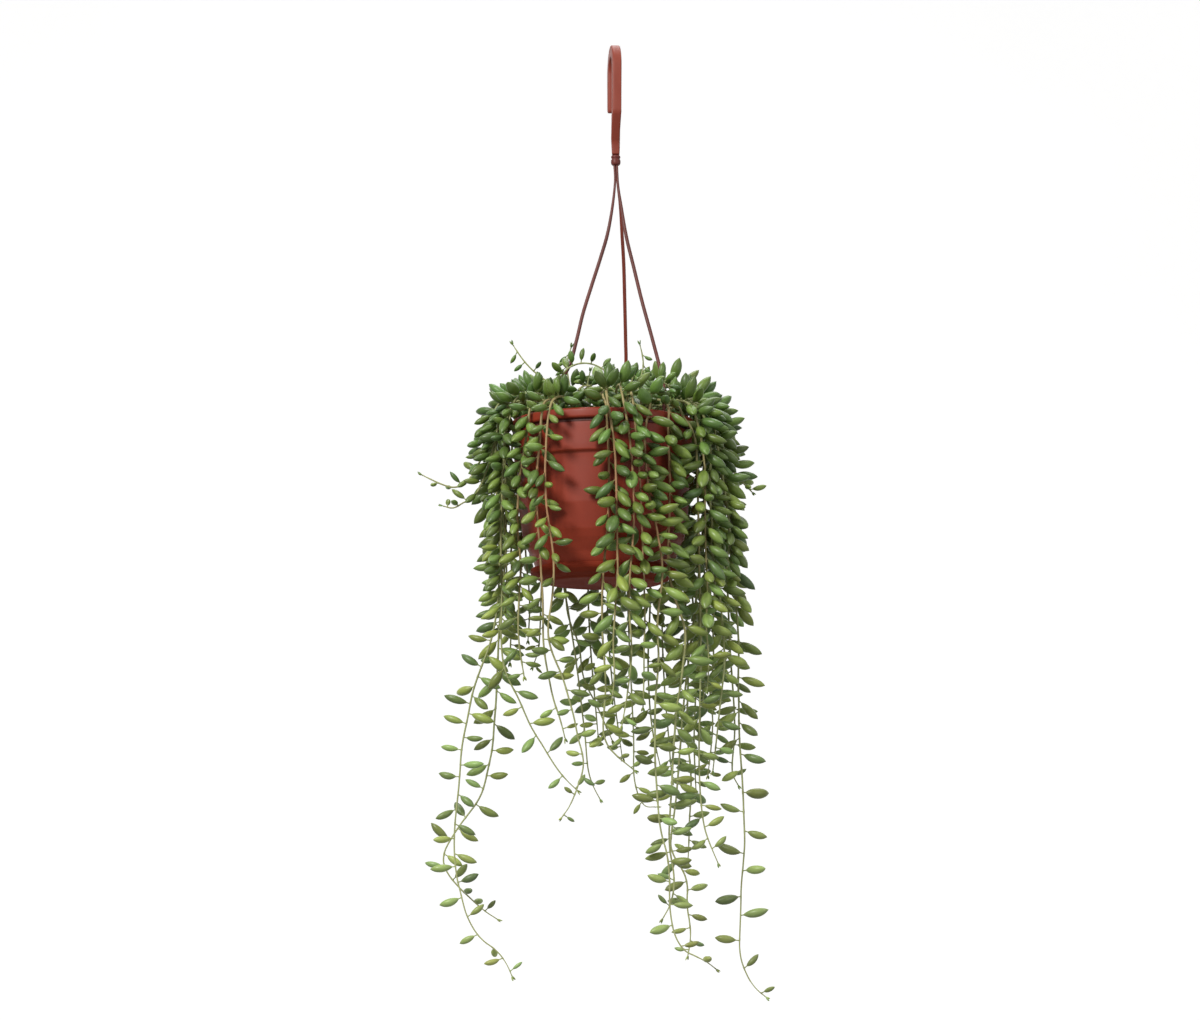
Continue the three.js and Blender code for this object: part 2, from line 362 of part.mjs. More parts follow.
const SHOOTS = [
  ['trailing_shoot_01', [-43,-3.2,-319.4,-44.4,-3.3,-314.6,-49.1,-6,-306.3,-58.8,-8.9,-296.7,-67.8,-10.5,-292.9,-80,-12.3,-292.4,-86.6,-13.2,-294.1,-91.3,-13.7,-300.5,-94.7,-13.9,-309.9,-96.4,-14,-320.3,-97.3,-14,-332.3,-97.4,-14,-350.3,-95.8,-14,-371.5,-94,-14,-394.3,-93.4,-14,-412.1,-93.5,-14,-427.3,-94.3,-14,-444.4,-97.2,-14,-471.5,-101.3,-14,-489.1,-107.7,-14,-506.5,-115.1,-14,-529.5,-119.5,-14,-552,-122.9,-14,-570.7,-124,-14,-584.9,-125.8,-14,-607.9,-128,-14,-631.4,-128.5,-14,-650.4,-127.4,-14,-665,-122.3,-14,-689.3,-117.7,-14,-704.4,-109.7,-14,-718.3,-97.4,-14,-728.8,-89.6,-14,-736.8,-82.3,-14,-750.7],
    [[5,-129,18,2.4,16.2,7.2],[7,95,-47,2.6,20.3,10],[9,-35,-46,2.3,16.4,8.2],[10,-73,-42,2.9,20,9.5],[11,113,-38,2.8,20.9,9.9],[12,-116,-4,2.5,15.8,7],[13,10,-47,2.7,19.5,9.5],[14,137,-43,3,18.2,8.1],[15,146,-51,2.7,18.2,7.8],[16,-172,-32,2.4,16.4,8],[17,3,-38,2.3,17.3,7.5],[19,160,29,3,17.3,8.2],[20,-26,-38,2.6,15.7,7.3],[21,167,20,3,17,7.6],[23,-22,1,2.5,18,7.8],[24,-23,-35,2.6,14.6,7.1],[25,0,-26,2.6,15.8,7.1],[27,-177,-6,2.4,17.6,7.9],[28,175,-22,2.5,16.1,8],[29,6,35,2.7,13.6,5.9],[31,84,-27,2.7,11.9,5.3],[32,-169,-20,2.8,12.8,5.9]]],
  ['trailing_shoot_02', [-49.9,7.6,-319.4,-52.4,8.3,-309.8,-58.6,9.7,-296.2,-64.4,11.1,-288.2,-71.4,12.7,-284,-76.3,13.7,-283.5,-81.4,14.6,-284.8,-86.6,15.5,-289.1,-89.1,15.8,-294.9,-92,16,-317.1,-91.4,16,-340.2,-90,16,-361.3,-89.6,16,-376.6,-89.7,16,-392.3,-90.1,16,-411.2,-91.2,16,-433.4,-93.2,16,-456.5,-95.1,16,-481.5,-95.9,16,-506.3,-97.4,16,-537.6,-100.1,16,-571.4,-106.9,16,-602.1,-112.9,16,-614.7,-127.2,16,-633.9,-137.5,16,-652.2,-138.6,16,-656,-137.6,16,-664,-131,16,-675.2,-114.2,16,-692,-95.4,16,-706.1],
    [[4,68,6,3.2,18,8.1],[6,-168,19,2.9,21,9.6],[8,-167,-45,2.7,18.2,8.1],[9,89,-30,2.7,18.6,8.3],[10,-142,-16,2.4,20.7,8.9],[11,-130,-43,2.5,19,8.9],[12,31,-46,2.6,20.1,9.9],[13,72,-32,2.5,17.3,8.3],[14,152,-43,2.6,17.3,7.8],[15,-172,-7,2.3,15.9,6.9],[16,-15,-43,2.9,17.5,7.8],[17,169,-47,2.8,20.3,9.5],[18,-4,-38,2.7,20,9.5],[19,-165,-40,2.6,19.1,9.5],[20,5,-1,2.9,14.6,7.3],[21,161,28,2.5,14.7,6.2],[22,11,-32,3.2,17.8,8.4],[23,-7,-36,2.4,17.1,7.7],[26,161,7,2.8,14.3,6.3],[27,-32,40,3.2,15.6,6.9],[28,65,1,2.2,12.9,5.9]]],
  ['trailing_shoot_03', [-36.7,-10.7,-319.4,-39.5,-12.6,-310,-48.3,-18.6,-296.2,-55.8,-24.9,-289.4,-64.5,-28.5,-287.4,-75.9,-34.3,-289.3,-79,-35.7,-291.4,-82,-36.8,-295.9,-85.5,-37.6,-304.2,-87.6,-37.9,-313.4,-89.3,-38,-330.3,-90.1,-38,-345.2,-90.8,-38,-361.4,-91.6,-38,-382.1,-91.8,-38,-412.5,-91.3,-38,-434.6,-90.9,-38,-459.3,-90.7,-38,-495.2,-87.5,-38,-512.8,-74.5,-38,-540.1,-66.6,-38,-557.4,-54.6,-38,-576.8,-44.6,-38,-591.8,-31.1,-38,-605.8],
    [[2,-42,25,3,15.4,7.6],[4,-77,52,2.3,17,8.4],[7,-140,14,2.8,16.7,7.7],[9,25,-28,2.3,12.2,6],[10,-89,-43,3.2,17.4,8.2],[11,-33,-52,2.8,18,7.8],[12,-71,-36,2.3,16.3,7.5],[13,-129,-42,2.5,17.4,8.2],[14,-149,-10,2.4,15.6,7],[15,-135,-35,2.3,15.9,7.6],[16,-161,-40,3.1,17.8,7.6],[17,15,-28,2.5,15.1,7.2],[19,164,-27,3.1,14,6.4],[21,29,41,2.9,16.2,7.3]]],
  ['trailing_shoot_04', [-39.3,-25,-319.4,-41.7,-28.2,-310.2,-48.8,-35.4,-299.3,-55.1,-40.6,-295.9,-64,-48,-297.4,-67.1,-50.3,-300.4,-68.6,-51.5,-303.9,-70,-52.1,-314.3,-72.1,-52,-329.9,-74.7,-52,-344.5,-77.2,-52,-364.4,-78.5,-52,-393.6,-76.6,-52,-417.1,-75.7,-52,-434,-76.5,-52,-451.8,-77.3,-52,-480.2,-72.7,-52,-517.1],
    [[4,-115,13,3,14.9,7.1],[7,-74,-34,2.9,19.3,8.6],[8,-73,-48,2.5,17.6,8.3],[9,-165,-47,2.8,18.2,8.9],[10,-71,-43,2.7,18.3,8.8],[11,-108,-47,2.3,14.6,6.7],[12,-148,-36,2.7,19.2,8.6],[13,-22,-42,3,15.5,7.4],[14,-169,-40,3.1,15.1,6.4],[15,-7,-13,2.2,16.8,7.9]]],
  ['trailing_shoot_05', [-39.7,18.4,-319.4,-42.9,20.3,-305.9,-47.9,23.5,-292.1,-52.1,26.2,-283.5,-56.7,29,-278.9,-61.1,35.1,-276.4,-64.9,38.3,-275.7,-72.1,43.6,-276.5,-75.4,45.6,-278.8,-80,47.4,-288.5,-83.8,47.9,-303.4,-86.9,48,-332.8,-87.4,48,-351.4,-87.2,48,-370.1,-86.4,48,-396,-85.7,48,-428.1,-85.5,48,-453.9,-86.4,48,-482.8,-86.8,48,-497.2],
    [[4,-125,32,2.4,14.2,6.1],[8,135,43,2.8,15,6.4],[10,157,-7,3.1,19.2,8.7],[11,33,-51,2.5,15.4,6.5],[12,-157,-46,2.5,19.7,9.1],[13,64,3,3.2,17.3,7.6],[14,173,-3,3,19.6,9.1],[15,167,-44,2.6,16.3,7.1],[16,-32,-50,2.2,18.7,8.6],[17,-19,-13,2.9,10.7,5]]],
  ['trailing_shoot_06', [-41,-37.5,-319.4,-42.5,-40.7,-310.1,-45.3,-45.9,-301.1,-48.5,-51.6,-296.8,-53.1,-59.1,-298.1,-56.4,-63.6,-300.3,-57.7,-65.3,-303.6,-59.6,-67.6,-318.8,-61.7,-68,-345.5,-62.8,-68,-367.5,-62.5,-68,-387.1,-60.4,-68,-414.9,-57.9,-68,-455.6,-57.3,-68,-489.4,-55,-68,-509.2,-47.1,-68,-543.1,-40.2,-68,-566.8],
    [[2,30,48,2.9,16.5,7],[4,-98,50,3.2,15.8,7.8],[7,-23,-45,2.6,14.6,7.3],[8,-151,-23,2.3,14,6.3],[9,-110,-44,2.6,15.8,7.8],[10,-139,-42,2.9,17,7.9],[11,-58,-45,2.4,15.8,7.9],[12,159,-38,2.5,14,6.7],[13,4,-6,3,17.6,8.7],[15,172,-32,3.1,11.8,5.7]]],
  ['trailing_shoot_07', [-35.1,25.8,-319.4,-41,33.4,-290.9,-43.7,37.2,-282.1,-47.2,41.9,-275.3,-49.9,45.5,-273.2,-53.5,50.4,-272.8,-60.2,58.8,-274.9,-63,62.2,-281,-64.4,63.9,-298.4,-64.4,64,-321.6,-63,64,-357.5,-61.8,64,-388.7,-61.2,64,-415.6,-62.2,64,-456.8,-63.8,64,-484.7,-68.3,64,-499.1],
    [[1,24,-18,2.4,13.7,6.5],[5,75,56,3.1,14.5,6.2],[7,147,-28,2.6,13.2,6.4],[8,155,-45,2.5,13.8,5.8],[9,14,-50,2.6,13.2,6.4],[10,-171,-45,2.9,15.9,7.1],[11,133,-22,3,13.7,6.8],[12,165,-48,2.6,12.6,6.2],[13,2,-50,3,12.3,5.6]]],
  ['trailing_shoot_08', [-30.9,-37.9,-319.4,-33.4,-43.3,-306.8,-36.6,-49.5,-299,-40.1,-55.8,-296,-43.9,-62.4,-296,-48.9,-70.5,-298.6,-50.6,-72.7,-301.5,-52.9,-74.8,-309.9,-54.3,-75.7,-320.3,-55.9,-76,-348.9,-55.6,-76,-375.1,-52.9,-76,-399.9,-49.8,-76,-421.8,-49.2,-76,-438.8,-50.2,-76,-455.7,-53.5,-76,-483.5,-50.8,-76,-498.9,-39.1,-76,-529.7,-26.7,-76,-579.7,-26.3,-76,-592.6,-32.6,-76,-611,-36.7,-76,-620.1,-42.3,-76,-628.3],
    [[2,-51,17,2.4,17,8.4],[4,-28,-25,2.2,16.4,8.2],[6,-46,-47,3.1,14.9,6.9],[8,180,-27,2.6,13.2,6.4],[9,-26,-29,3,16.6,7.8],[10,164,-47,2.4,13.1,5.8],[11,-42,-42,2.9,14.7,7.2],[12,-74,-34,2.8,13.9,6.1],[14,-41,-6,2.5,14.8,6.8],[16,-144,-7,2.6,16.1,7.8],[17,2,-14,3.1,16,7.2],[18,144,5,2.6,13.4,6],[20,-151,30,2.3,8.6,3.9]]],
  ['trailing_shoot_09', [-30.6,40.8,-319.4,-32.4,43.9,-296.5,-34.5,47.9,-275.2,-36.2,50.5,-269,-38.3,53.3,-268,-41,57.6,-274.1,-43,61.7,-282.5,-46.2,69.2,-301.8,-46.4,69.2,-306.9,-47.3,67.4,-327.9,-47.8,63.9,-350.2,-47.8,60.8,-380.9,-45.5,58.1,-415.7,-42.5,57.9,-436,-37.5,58,-464.5,-30.3,58,-514.2,-25.8,58,-552.4,-23.2,58,-581.3,-19.2,58,-596.6,-13,58,-608.7],
    [[1,121,-18,2.9,16.3,6.9],[2,154,-36,2.9,15.4,7.7],[6,23,-49,2.9,15.2,6.8],[8,145,-7,3.1,15.8,7.6],[9,75,-23,2.4,17.2,7.3],[10,155,-51,2.3,13.8,6.2],[11,34,-49,2.9,13.4,5.7],[12,167,-46,3.1,13.6,6.3],[13,28,-41,2.5,15.3,7],[14,-154,-31,2.4,15.1,7.1],[15,35,-13,2.8,14.5,6.7],[16,162,-44,2.8,14.3,6.4],[18,30,15,2.5,10.1,5.1]]],
  ['trailing_shoot_10', [-14.8,34,-319.4,-16.7,41.6,-292.9,-18,46.4,-280.9,-19.9,52.5,-270.7,-21.5,56.8,-266.8,-22.9,60.3,-265.6,-24.4,64,-265.9,-26.3,68.2,-268.4,-28.3,72.4,-274.8,-29.5,74.6,-283.6,-30.9,75.4,-300.9,-33.3,74.9,-328.3,-36,74.2,-355.5,-38.6,73.9,-380.3,-40.8,74,-404.5,-41.4,74,-437.4,-39.2,74,-457.2,-31.2,74,-478.9,-27.3,74,-504.6,-23,74,-516.7,-3,74,-559.5],
    [[1,86,-43,2.8,16.5,7.3],[3,138,-64,2.6,15.6,7.6],[7,102,18,2.3,14.9,6.7],[9,-169,-49,2.6,14.4,6.6],[10,25,-44,2.4,16.4,7.3],[11,93,-49,3.1,16.3,7],[12,49,-33,3,15.6,7.5],[13,137,2,3,14.4,6.6],[14,89,-49,2.4,19,8.2],[15,136,-36,2.8,18.6,8.6],[17,3,8,2.4,14.7,6.8],[19,144,-37,2.6,17.4,8.4]]],
  ['trailing_shoot_11', [-8.5,-30,-319.4,-8.3,-36.1,-306.9,-8.1,-44.8,-296.9,-7.9,-50.4,-292.9,-7.6,-55.1,-291.2,-7.9,-68.6,-291.3,-8.1,-75.3,-293.4,-7.9,-78.2,-296.1,-6.4,-81.4,-305.9,-2.2,-82,-333.5,-0.2,-82,-364.6,0.2,-82,-386.8,0.3,-82,-405.7,0.8,-82,-439,-1.2,-82,-469.8,-2.5,-82,-499.4,-1.7,-82,-518.4,-3.2,-82,-534.5,-3.7,-82,-538.2],
    [[2,-66,-27,2.7,20.5,9.7],[5,-58,40,2.6,19.5,8.5],[8,-113,-32,2.6,16.7,7.9],[9,-35,-48,2.3,19.8,9.5],[10,-179,-46,2.8,19.8,9.4],[11,-55,-35,2.8,19.5,9],[12,-151,-41,2.9,20.6,10.1],[13,-64,-50,3,19.9,8.5],[14,175,-49,2.7,20.5,9.6],[15,-41,4,2.7,14.1,6.9],[17,-159,-12,2.9,12.3,5.8]]],
  ['trailing_shoot_12', [-12.4,-43.2,-319.4,-12.3,-47.1,-304.9,-12.2,-52.4,-292,-11.9,-57.8,-288.5,-11.6,-62,-291.6,-9.6,-70.1,-300.2,-8.3,-75.3,-301.5,-7.8,-78.2,-312.1,-7.2,-77.2,-321.4,-6,-74,-350,-5.9,-72,-372.2,-7.1,-69.3,-400.4,-10.2,-66.4,-435.5,-11.3,-65.9,-460.5,-10.8,-66,-488.4,-8.6,-66,-526.6,-10.6,-66,-557.5,-9.9,-66,-564.6,-4.8,-66,-575.4,11,-66,-589.6,13.5,-66,-591.5],
    [[8,-163,-46,2.9,16.9,8.1],[9,0,-37,2.9,15.5,7.6],[10,-169,-3,2.8,17.5,8.7],[11,-23,-16,3,14.3,6.6],[12,-155,-43,2.5,14.6,6.7],[13,-24,-22,2.5,15.6,6.6],[14,-144,1,2.5,17.5,8.2],[15,-12,-38,3,13.3,6.4],[17,-136,-35,2.9,15.4,7.1],[19,-32,24,2.4,8.4,4.2]]],
  ['trailing_shoot_13', [7.1,-44.5,-319.4,8,-49.5,-304.2,9.1,-56.5,-292.1,9.7,-59.7,-289.9,10.9,-66.3,-291.2,11.7,-70,-294.5,13.2,-74.7,-302.3,15.3,-74.3,-323.9,16.8,-74,-341.5,18.8,-74,-371.2,20,-74,-404.6,21.1,-74,-434.9,21.9,-74,-460.4,21.3,-74,-512.5,20.5,-74,-543.1],
    [[2,127,69,2.6,16.9,7.6],[6,-14,-40,3.1,16.2,7.5],[7,-172,-4,3,16.1,7.4],[8,-35,-38,2.8,18.4,8.1],[9,-56,-7,3,19.2,8.9],[10,-71,-37,3.1,18.7,8.5],[11,-18,-5,3.1,16.5,7.2],[12,146,-43,3,18.8,8.6],[13,-27,10,3,12.3,5.3]]],
  ['trailing_shoot_14', [-2.2,32,-319.4,-0.9,37.8,-294.7,0.5,43,-277.8,2.6,47.7,-268.1,3.1,53,-265.4,3.9,58.4,-265.6,5.4,65.3,-272.4,6.3,71.1,-284.6,7.2,76.2,-304.9,7.4,76.1,-312.8,8,74.2,-333.5,8.5,71.7,-351,9,69.6,-371.6,9.4,66.7,-403,9.8,65.9,-434,10.5,66,-461.2,12.1,66,-498.5,14.4,66,-547.5,14.8,66,-586.4,16.4,66,-598.3,21.2,66,-610.6,25.4,66,-614.8,33,66,-614.9],
    [[1,-177,13,2.5,15.3,7.2],[2,-76,-13,3.1,16.8,7.2],[5,102,51,2.4,13.4,6.1],[7,155,-4,2.4,14.7,6.8],[9,53,-19,2.6,13.8,6.4],[10,152,-45,2.7,16.6,7.2],[11,31,-36,3.1,15.7,7.1],[12,126,-44,2.7,15.5,6.5],[13,43,-6,2.4,13.5,6.7],[14,131,-29,2.8,16.2,7.9],[15,40,-50,2.7,16.2,8],[16,-176,-46,2.9,14.4,6.8],[17,-19,-35,3.2,12.3,5.8],[18,168,-34,3.1,11.5,5.3],[20,156,-52,2.2,10.1,4.7]]],
  ['trailing_shoot_15', [16.7,-40.7,-319.4,18.5,-45.8,-305.4,21,-53.1,-294.9,23.6,-60.1,-293.1,26.3,-66.8,-296.2,26.3,-70.3,-304.4,24.5,-71.5,-314,22.6,-71.9,-328.8,22.6,-72,-344.1,24.1,-72,-363.7,26.9,-72,-382,32.4,-72,-407.3,35.9,-72,-436.8,32.6,-72,-467.9,32.4,-72,-493.7,32.6,-72,-508.7,30.1,-72,-539.7,29.9,-72,-586.4,30.9,-72,-603.4,32.8,-72,-629,36.4,-72,-647.8,39.5,-72,-662.1,40.7,-72,-677.8,40.9,-72,-696.7,42.7,-72,-711,46,-72,-721.5,49.3,-72,-727.1,55.2,-72,-732.3,66.6,-72,-737.7,76.2,-72,-744.4],
    [[2,-84,-17,3,17,7.3],[6,-23,-17,3,21,9.8],[8,-36,5,2.9,20.2,8.7],[9,3,-25,2.9,21.1,9.2],[10,-92,-19,2.3,18.9,9],[11,-38,-12,2.9,16.7,7.1],[12,-13,-17,2.2,18.6,8.2],[13,13,-1,2.3,17.7,8.2],[14,-137,-9,2.2,16.8,7.6],[16,2,-17,3.1,18.4,8.8],[17,-144,9,2.6,17.4,7.9],[18,18,-17,2.7,17.9,8.8],[19,-42,-15,2.4,16.5,7.1],[20,149,-28,2.5,15.7,6.8],[21,-21,-2,2.3,17,8.2],[22,-165,13,2.5,15.8,7.7],[24,-152,-16,2.4,18.2,8.3],[26,20,8,2.5,13,5.7],[28,-71,7,2.2,12.6,6.3]]],
  ['trailing_shoot_16', [16.9,-34.5,-319.4,20.8,-38.7,-305.6,25.5,-41.9,-298.7,29.1,-44.3,-296.5,34.8,-51.2,-296.5,39.9,-56.9,-300.9,41.6,-58.8,-305.2,41.4,-58.7,-314.7,41.3,-58.1,-332.7,42,-58,-351.4,42.2,-58,-373.2,41.3,-58,-400.2,40.9,-58,-422.9,42.5,-58,-441.4,47.1,-58,-459.5,53.2,-58,-478.5,54.1,-58,-490.2,49.9,-58,-526.6,46.3,-58,-550.8,44.3,-58,-577.6,42.7,-58,-608.2,40.9,-58,-641.2,41.6,-58,-654.5,44.6,-58,-676.4,43.8,-58,-686.5,40.7,-58,-697,35.9,-58,-705.6],
    [[7,-31,-52,2.4,16.4,7.8],[8,-17,-33,2.5,20.2,10.1],[9,27,-47,2.3,21,8.9],[10,-39,-32,3.1,16.3,7.3],[11,-159,-49,3.2,19.7,9.8],[12,-11,-45,2.3,16.7,7.4],[13,145,-50,3.1,19.2,8.8],[14,60,-25,2.7,21.1,9.3],[16,-170,-47,3.1,19.8,9.2],[17,-36,-45,2.9,15.9,7],[18,154,-20,2.3,18.7,8.7],[19,-8,5,3,14.6,6.6],[20,177,-8,2.6,17.3,8.1],[21,6,15,2.5,16.1,7.2],[22,178,-19,2.9,17.4,7.9],[23,-153,20,3,12.2,5.2],[24,16,-33,2.8,13.9,6]]],
  ['trailing_shoot_17', [23.8,41.5,-319.4,27.3,44.9,-292.6,31,48.2,-277.1,35.8,51.5,-274.8,39.9,54.4,-282.7,43.7,56.6,-303.5,47.7,55.3,-333.4,50.6,54,-359.7,52,53.8,-376.3,53.5,53.9,-394.6,55.2,54,-417.5,57.5,54,-447.2,58.9,54,-471.7,59.5,54,-491.5,59.2,54,-518.8,58.8,54,-558.1,61.3,54,-586.3,60.8,54,-615,59.7,54,-634.3,58.7,54,-658.4],
    [[1,-9,-44,3.1,17.1,8.2],[2,136,1,2.6,17.1,8.2],[4,-55,-50,3,16.5,7.9],[5,73,3,3,16.5,7.9],[6,61,3,2.8,20.7,9.4],[7,-20,-46,2.4,20.2,9.7],[8,-72,-35,2.6,18.2,7.7],[9,103,-42,2.2,18.8,9.2],[10,-18,-45,2.8,16.1,7.7],[11,140,-41,2.4,17.9,8],[12,-19,-36,2.8,20.3,10.1],[13,-163,-48,2.5,18.1,8.8],[14,-4,-25,2.3,17.2,8.4],[15,-179,-6,2.6,16.3,7.1],[16,-37,-4,2.4,17.6,8.3],[17,177,1,2.7,15.4,7.2],[18,-169,-1,2.4,13,6.4]]],
  ['trailing_shoot_18', [19,-18.7,-319.4,21.4,-21.3,-310.1,25.1,-24.8,-302.7,28,-28.5,-299,30.5,-31.3,-297.6,33.8,-33.5,-297.6,41.6,-36.4,-300.5,43.9,-39.5,-301.4,49.9,-44.7,-301.1,55.5,-45.6,-311.9,60.7,-44.6,-320.3,63.7,-44.1,-333.9,64.4,-44,-351.5,64.7,-44,-366.1,65.2,-44,-391.4,65.6,-44,-419.3,66,-44,-443.5,66.3,-44,-463,66.7,-44,-486.6,66.4,-44,-516,65.4,-44,-549,64.9,-44,-577.4,65.8,-44,-609.7,68.8,-44,-634.9,79.3,-44,-662.9],
    [[9,55,-16,3.1,18.6,8.4],[11,101,-50,2.4,20.7,9.9],[12,75,-49,2.7,12.8,5.4],[13,165,-49,3,20.3,9.4],[14,176,-27,2.9,19.5,8.5],[15,78,3,2.4,18.2,7.9],[16,152,-6,2.5,19.7,8.6],[17,83,-47,2.4,17.2,7.4],[18,142,-41,2.6,18.2,8.9],[19,19,-27,2.3,15.1,6.5],[20,140,-37,2.8,17.8,7.7],[21,18,-11,2.8,14.1,6.5],[22,166,-6,2.3,17.6,8.6],[23,1,25,3.1,14.4,6.7]]],
  ['trailing_shoot_19', [22.3,13.9,-319.4,28.5,16.9,-295.4,35.6,20.5,-277.9,42.2,23.5,-271.3,51.1,27,-271,58,29.2,-274.4,64.2,30.6,-282,68.3,30.2,-291.1,71.7,30,-307.8,74,30,-339.7,73,30,-364.9,71.8,30,-383.3,70.7,30,-396.8,68.9,30,-416.2,66.5,30,-438.3,63.1,30,-467.4,60.4,30,-488.7,57.8,30,-509.2,54.8,30,-536,52,30,-570,49.8,30,-596.9,46.9,30,-622.9,44.4,30,-641.2,44.3,30,-649.2,45.8,30,-654,53.7,30,-667.3,56.8,30,-675.7,57.2,30,-691.6,59.6,30,-723.2,57.7,30,-734.8],
    [[2,162,19,2.6,20,9.1],[4,17,34,3.1,20.2,8.9],[8,-89,-40,2.5,15,7.5],[9,129,-40,2.3,17.8,7.7],[10,138,-33,2.2,16.2,7.4],[11,156,-39,2.6,20.4,8.8],[12,-87,-33,2.6,18.1,8.9],[13,-165,-42,2.4,20.4,9.9],[14,32,-40,2.9,17.5,7.6],[15,-156,-2,2.5,16,6.9],[16,-12,-36,2.5,15.7,6.7],[17,-162,-24,3,17,8.4],[18,-29,-7,3,15.1,6.4],[19,-165,16,2.9,17.5,8],[20,2,-29,2.3,16.1,7.5],[21,178,-11,2.2,14,6.6],[22,-173,-18,2.6,15.2,6.6],[25,30,-6,2.2,14.4,6.5],[27,145,1,2.4,16.5,7.6],[28,33,-19,3.2,11.2,4.7]]],
  ['trailing_shoot_20', [6.9,49.3,-319.4,8.8,53,-293.4,11.2,57.1,-270.9,13.2,60.7,-261.4,16.8,65.7,-259.4,20.2,70.6,-263.1,21.8,73.8,-269.6,22.2,75.5,-280.4,22.2,76,-297.1,23,76,-322.4,24.2,76,-339.7,25.4,76,-357.5,27.3,76,-385.3,28.7,76,-411.2,28.9,76,-432.8,28.5,76,-452.4,27.3,76,-479.4,27.8,76,-522.2,30.4,76,-550.9,36.6,76,-580],
    [[1,-171,-39,2.4,16.1,6.9],[3,-82,16,3,19.6,9],[6,53,-26,2.9,15.8,7.1],[8,54,-6,2.5,15.2,7.2],[9,5,-31,3,16.2,7.4],[10,-37,-7,2.6,20.2,10],[11,53,-32,3.2,15.9,6.8],[12,128,-33,2.5,15.5,6.6],[13,18,2,2.6,17.6,7.4],[14,24,-30,2.4,17.6,7.5],[15,-7,-45,3,15.7,6.8],[16,-174,-33,2.5,18.9,9],[17,40,-13,2.5,18.3,8],[18,148,-32,2.8,15.1,6.4]]],
  ['trailing_shoot_21', [-2.5,-35.2,-319.4,-1.3,-42.8,-301,0,-51.2,-289.7,0.7,-55.3,-286.9,1.9,-63.1,-286.5,3.2,-71.2,-290,4.2,-75.8,-294.9,5.8,-78.7,-304.2,8,-79.7,-316.4,12.6,-80,-356.6,13.6,-80,-388.7,12.5,-80,-416.8,10.8,-80,-437.5,9.8,-80,-455.7,10.2,-80,-475.2,11.2,-80,-508.9,7,-80,-540.8,4.1,-80,-557.5],
    [[2,73,63,2.8,16.5,8.1],[6,-45,16,3,17.6,8.7],[8,-105,-47,3.1,18.9,8.9],[9,-94,-49,3,21.1,10],[10,-2,-51,3.1,16.7,8],[11,-56,-45,2.4,16.6,7],[12,119,-49,2.5,17.8,8.8],[13,-9,-31,2.5,17.6,7.8],[14,159,-45,2.7,16.1,7.5],[15,80,-43,2.8,17.3,7.6],[16,161,-25,2.3,15,7.1]]],
  ['trailing_shoot_22', [40.5,-6.5,-319.4,44.3,-6.8,-304.9,48.3,-7,-295.8,51.2,-7.2,-291.7,56.7,-7.4,-288.5,62.6,-7.6,-288.3,67.4,-7.8,-289.7,74.3,-7.9,-296.1,79.3,-8,-309.8,81.8,-8,-323.6,83.8,-8,-340.1,87.1,-8,-362.8,91.1,-8,-392,92.5,-8,-414.6,94.3,-8,-431.9,96.4,-8,-456.5,98.2,-8,-501.1,98.1,-8,-533,98.4,-8,-563,100.9,-8,-606.2,101.4,-8,-621.8,101.9,-8,-636.8,101.5,-8,-654.7,98.8,-8,-688.3,98.4,-8,-703.4,97.5,-8,-723.2,97.9,-8,-734.1,100.9,-8,-744.8,107.3,-8,-757.2,118,-8,-767.2],
    [[4,-91,66,3.1,18.9,9],[7,-32,-26,3.2,23.1,10.6],[8,139,-32,2.3,20,9.5],[9,137,-42,3,23.2,11.4],[10,170,-41,2.4,21.8,10.2],[11,65,-33,2.8,22.8,10.6],[12,-28,-47,3.1,20.2,8.5],[13,55,-19,3.1,19.9,8.6],[14,-100,-40,2.6,19.9,8.6],[15,31,-43,2.4,20.5,8.9],[16,-175,-18,2.7,17.3,8.6],[17,-13,-44,2.7,18.8,8.4],[18,169,-36,2.8,16.8,8.3],[19,27,-2,2.7,21.1,10.3],[20,177,15,3,16.6,7.1],[21,-4,-17,2.6,16,7.8],[22,163,14,3,20.5,9.2],[23,-161,-11,2.4,19.9,9],[24,-8,10,2.3,20.2,8.7],[25,-176,8,3,16.7,7.8],[27,13,39,2.6,13.5,5.7]]],
  ['trailing_shoot_23', [18.1,-11.4,-319.4,19.2,-12.2,-314.6,23.5,-14.4,-307,30.1,-17,-300,36.3,-19.7,-295.9,46.9,-24.2,-293.3,57.3,-27.3,-294,63.6,-28.9,-296.6,67.3,-29.5,-300.4,71.3,-29.9,-308.4,73.7,-30,-317.8,75.8,-30,-340.9,74.9,-30,-359.9,74.9,-30,-374.5,76.3,-30,-388.1,76.6,-30,-403.3,76.9,-30,-420.7,81.3,-30,-444.5,84.1,-30,-470.8,85.7,-30,-492.6,85.4,-30,-512.9,82.2,-30,-538.4,79.6,-30,-561.9,76.3,-30,-589.6],
    [[4,-121,20,3,19,8.3],[5,-78,45,3.1,16.5,7.7],[6,-87,-28,2.6,13.7,6.4],[8,-32,-14,3,19,9.1],[10,-27,-46,2.9,17.3,7.8],[11,-5,-48,3,16.5,7.2],[12,-67,-38,3.1,20,9.8],[13,50,-17,3.1,18.2,8],[14,-20,-26,2.7,17.3,8.2],[15,-63,-49,2.5,15.7,6.9],[16,58,-27,3.2,17.9,7.6],[17,-2,-13,3.1,19.3,8.6],[18,-36,-43,2.8,15.8,6.9],[19,-173,-50,2.8,14.8,7.1],[20,41,-27,2.2,15.6,7.2],[21,156,-1,2.4,14.7,6.6],[22,175,14,2.4,15.2,6.7]]],
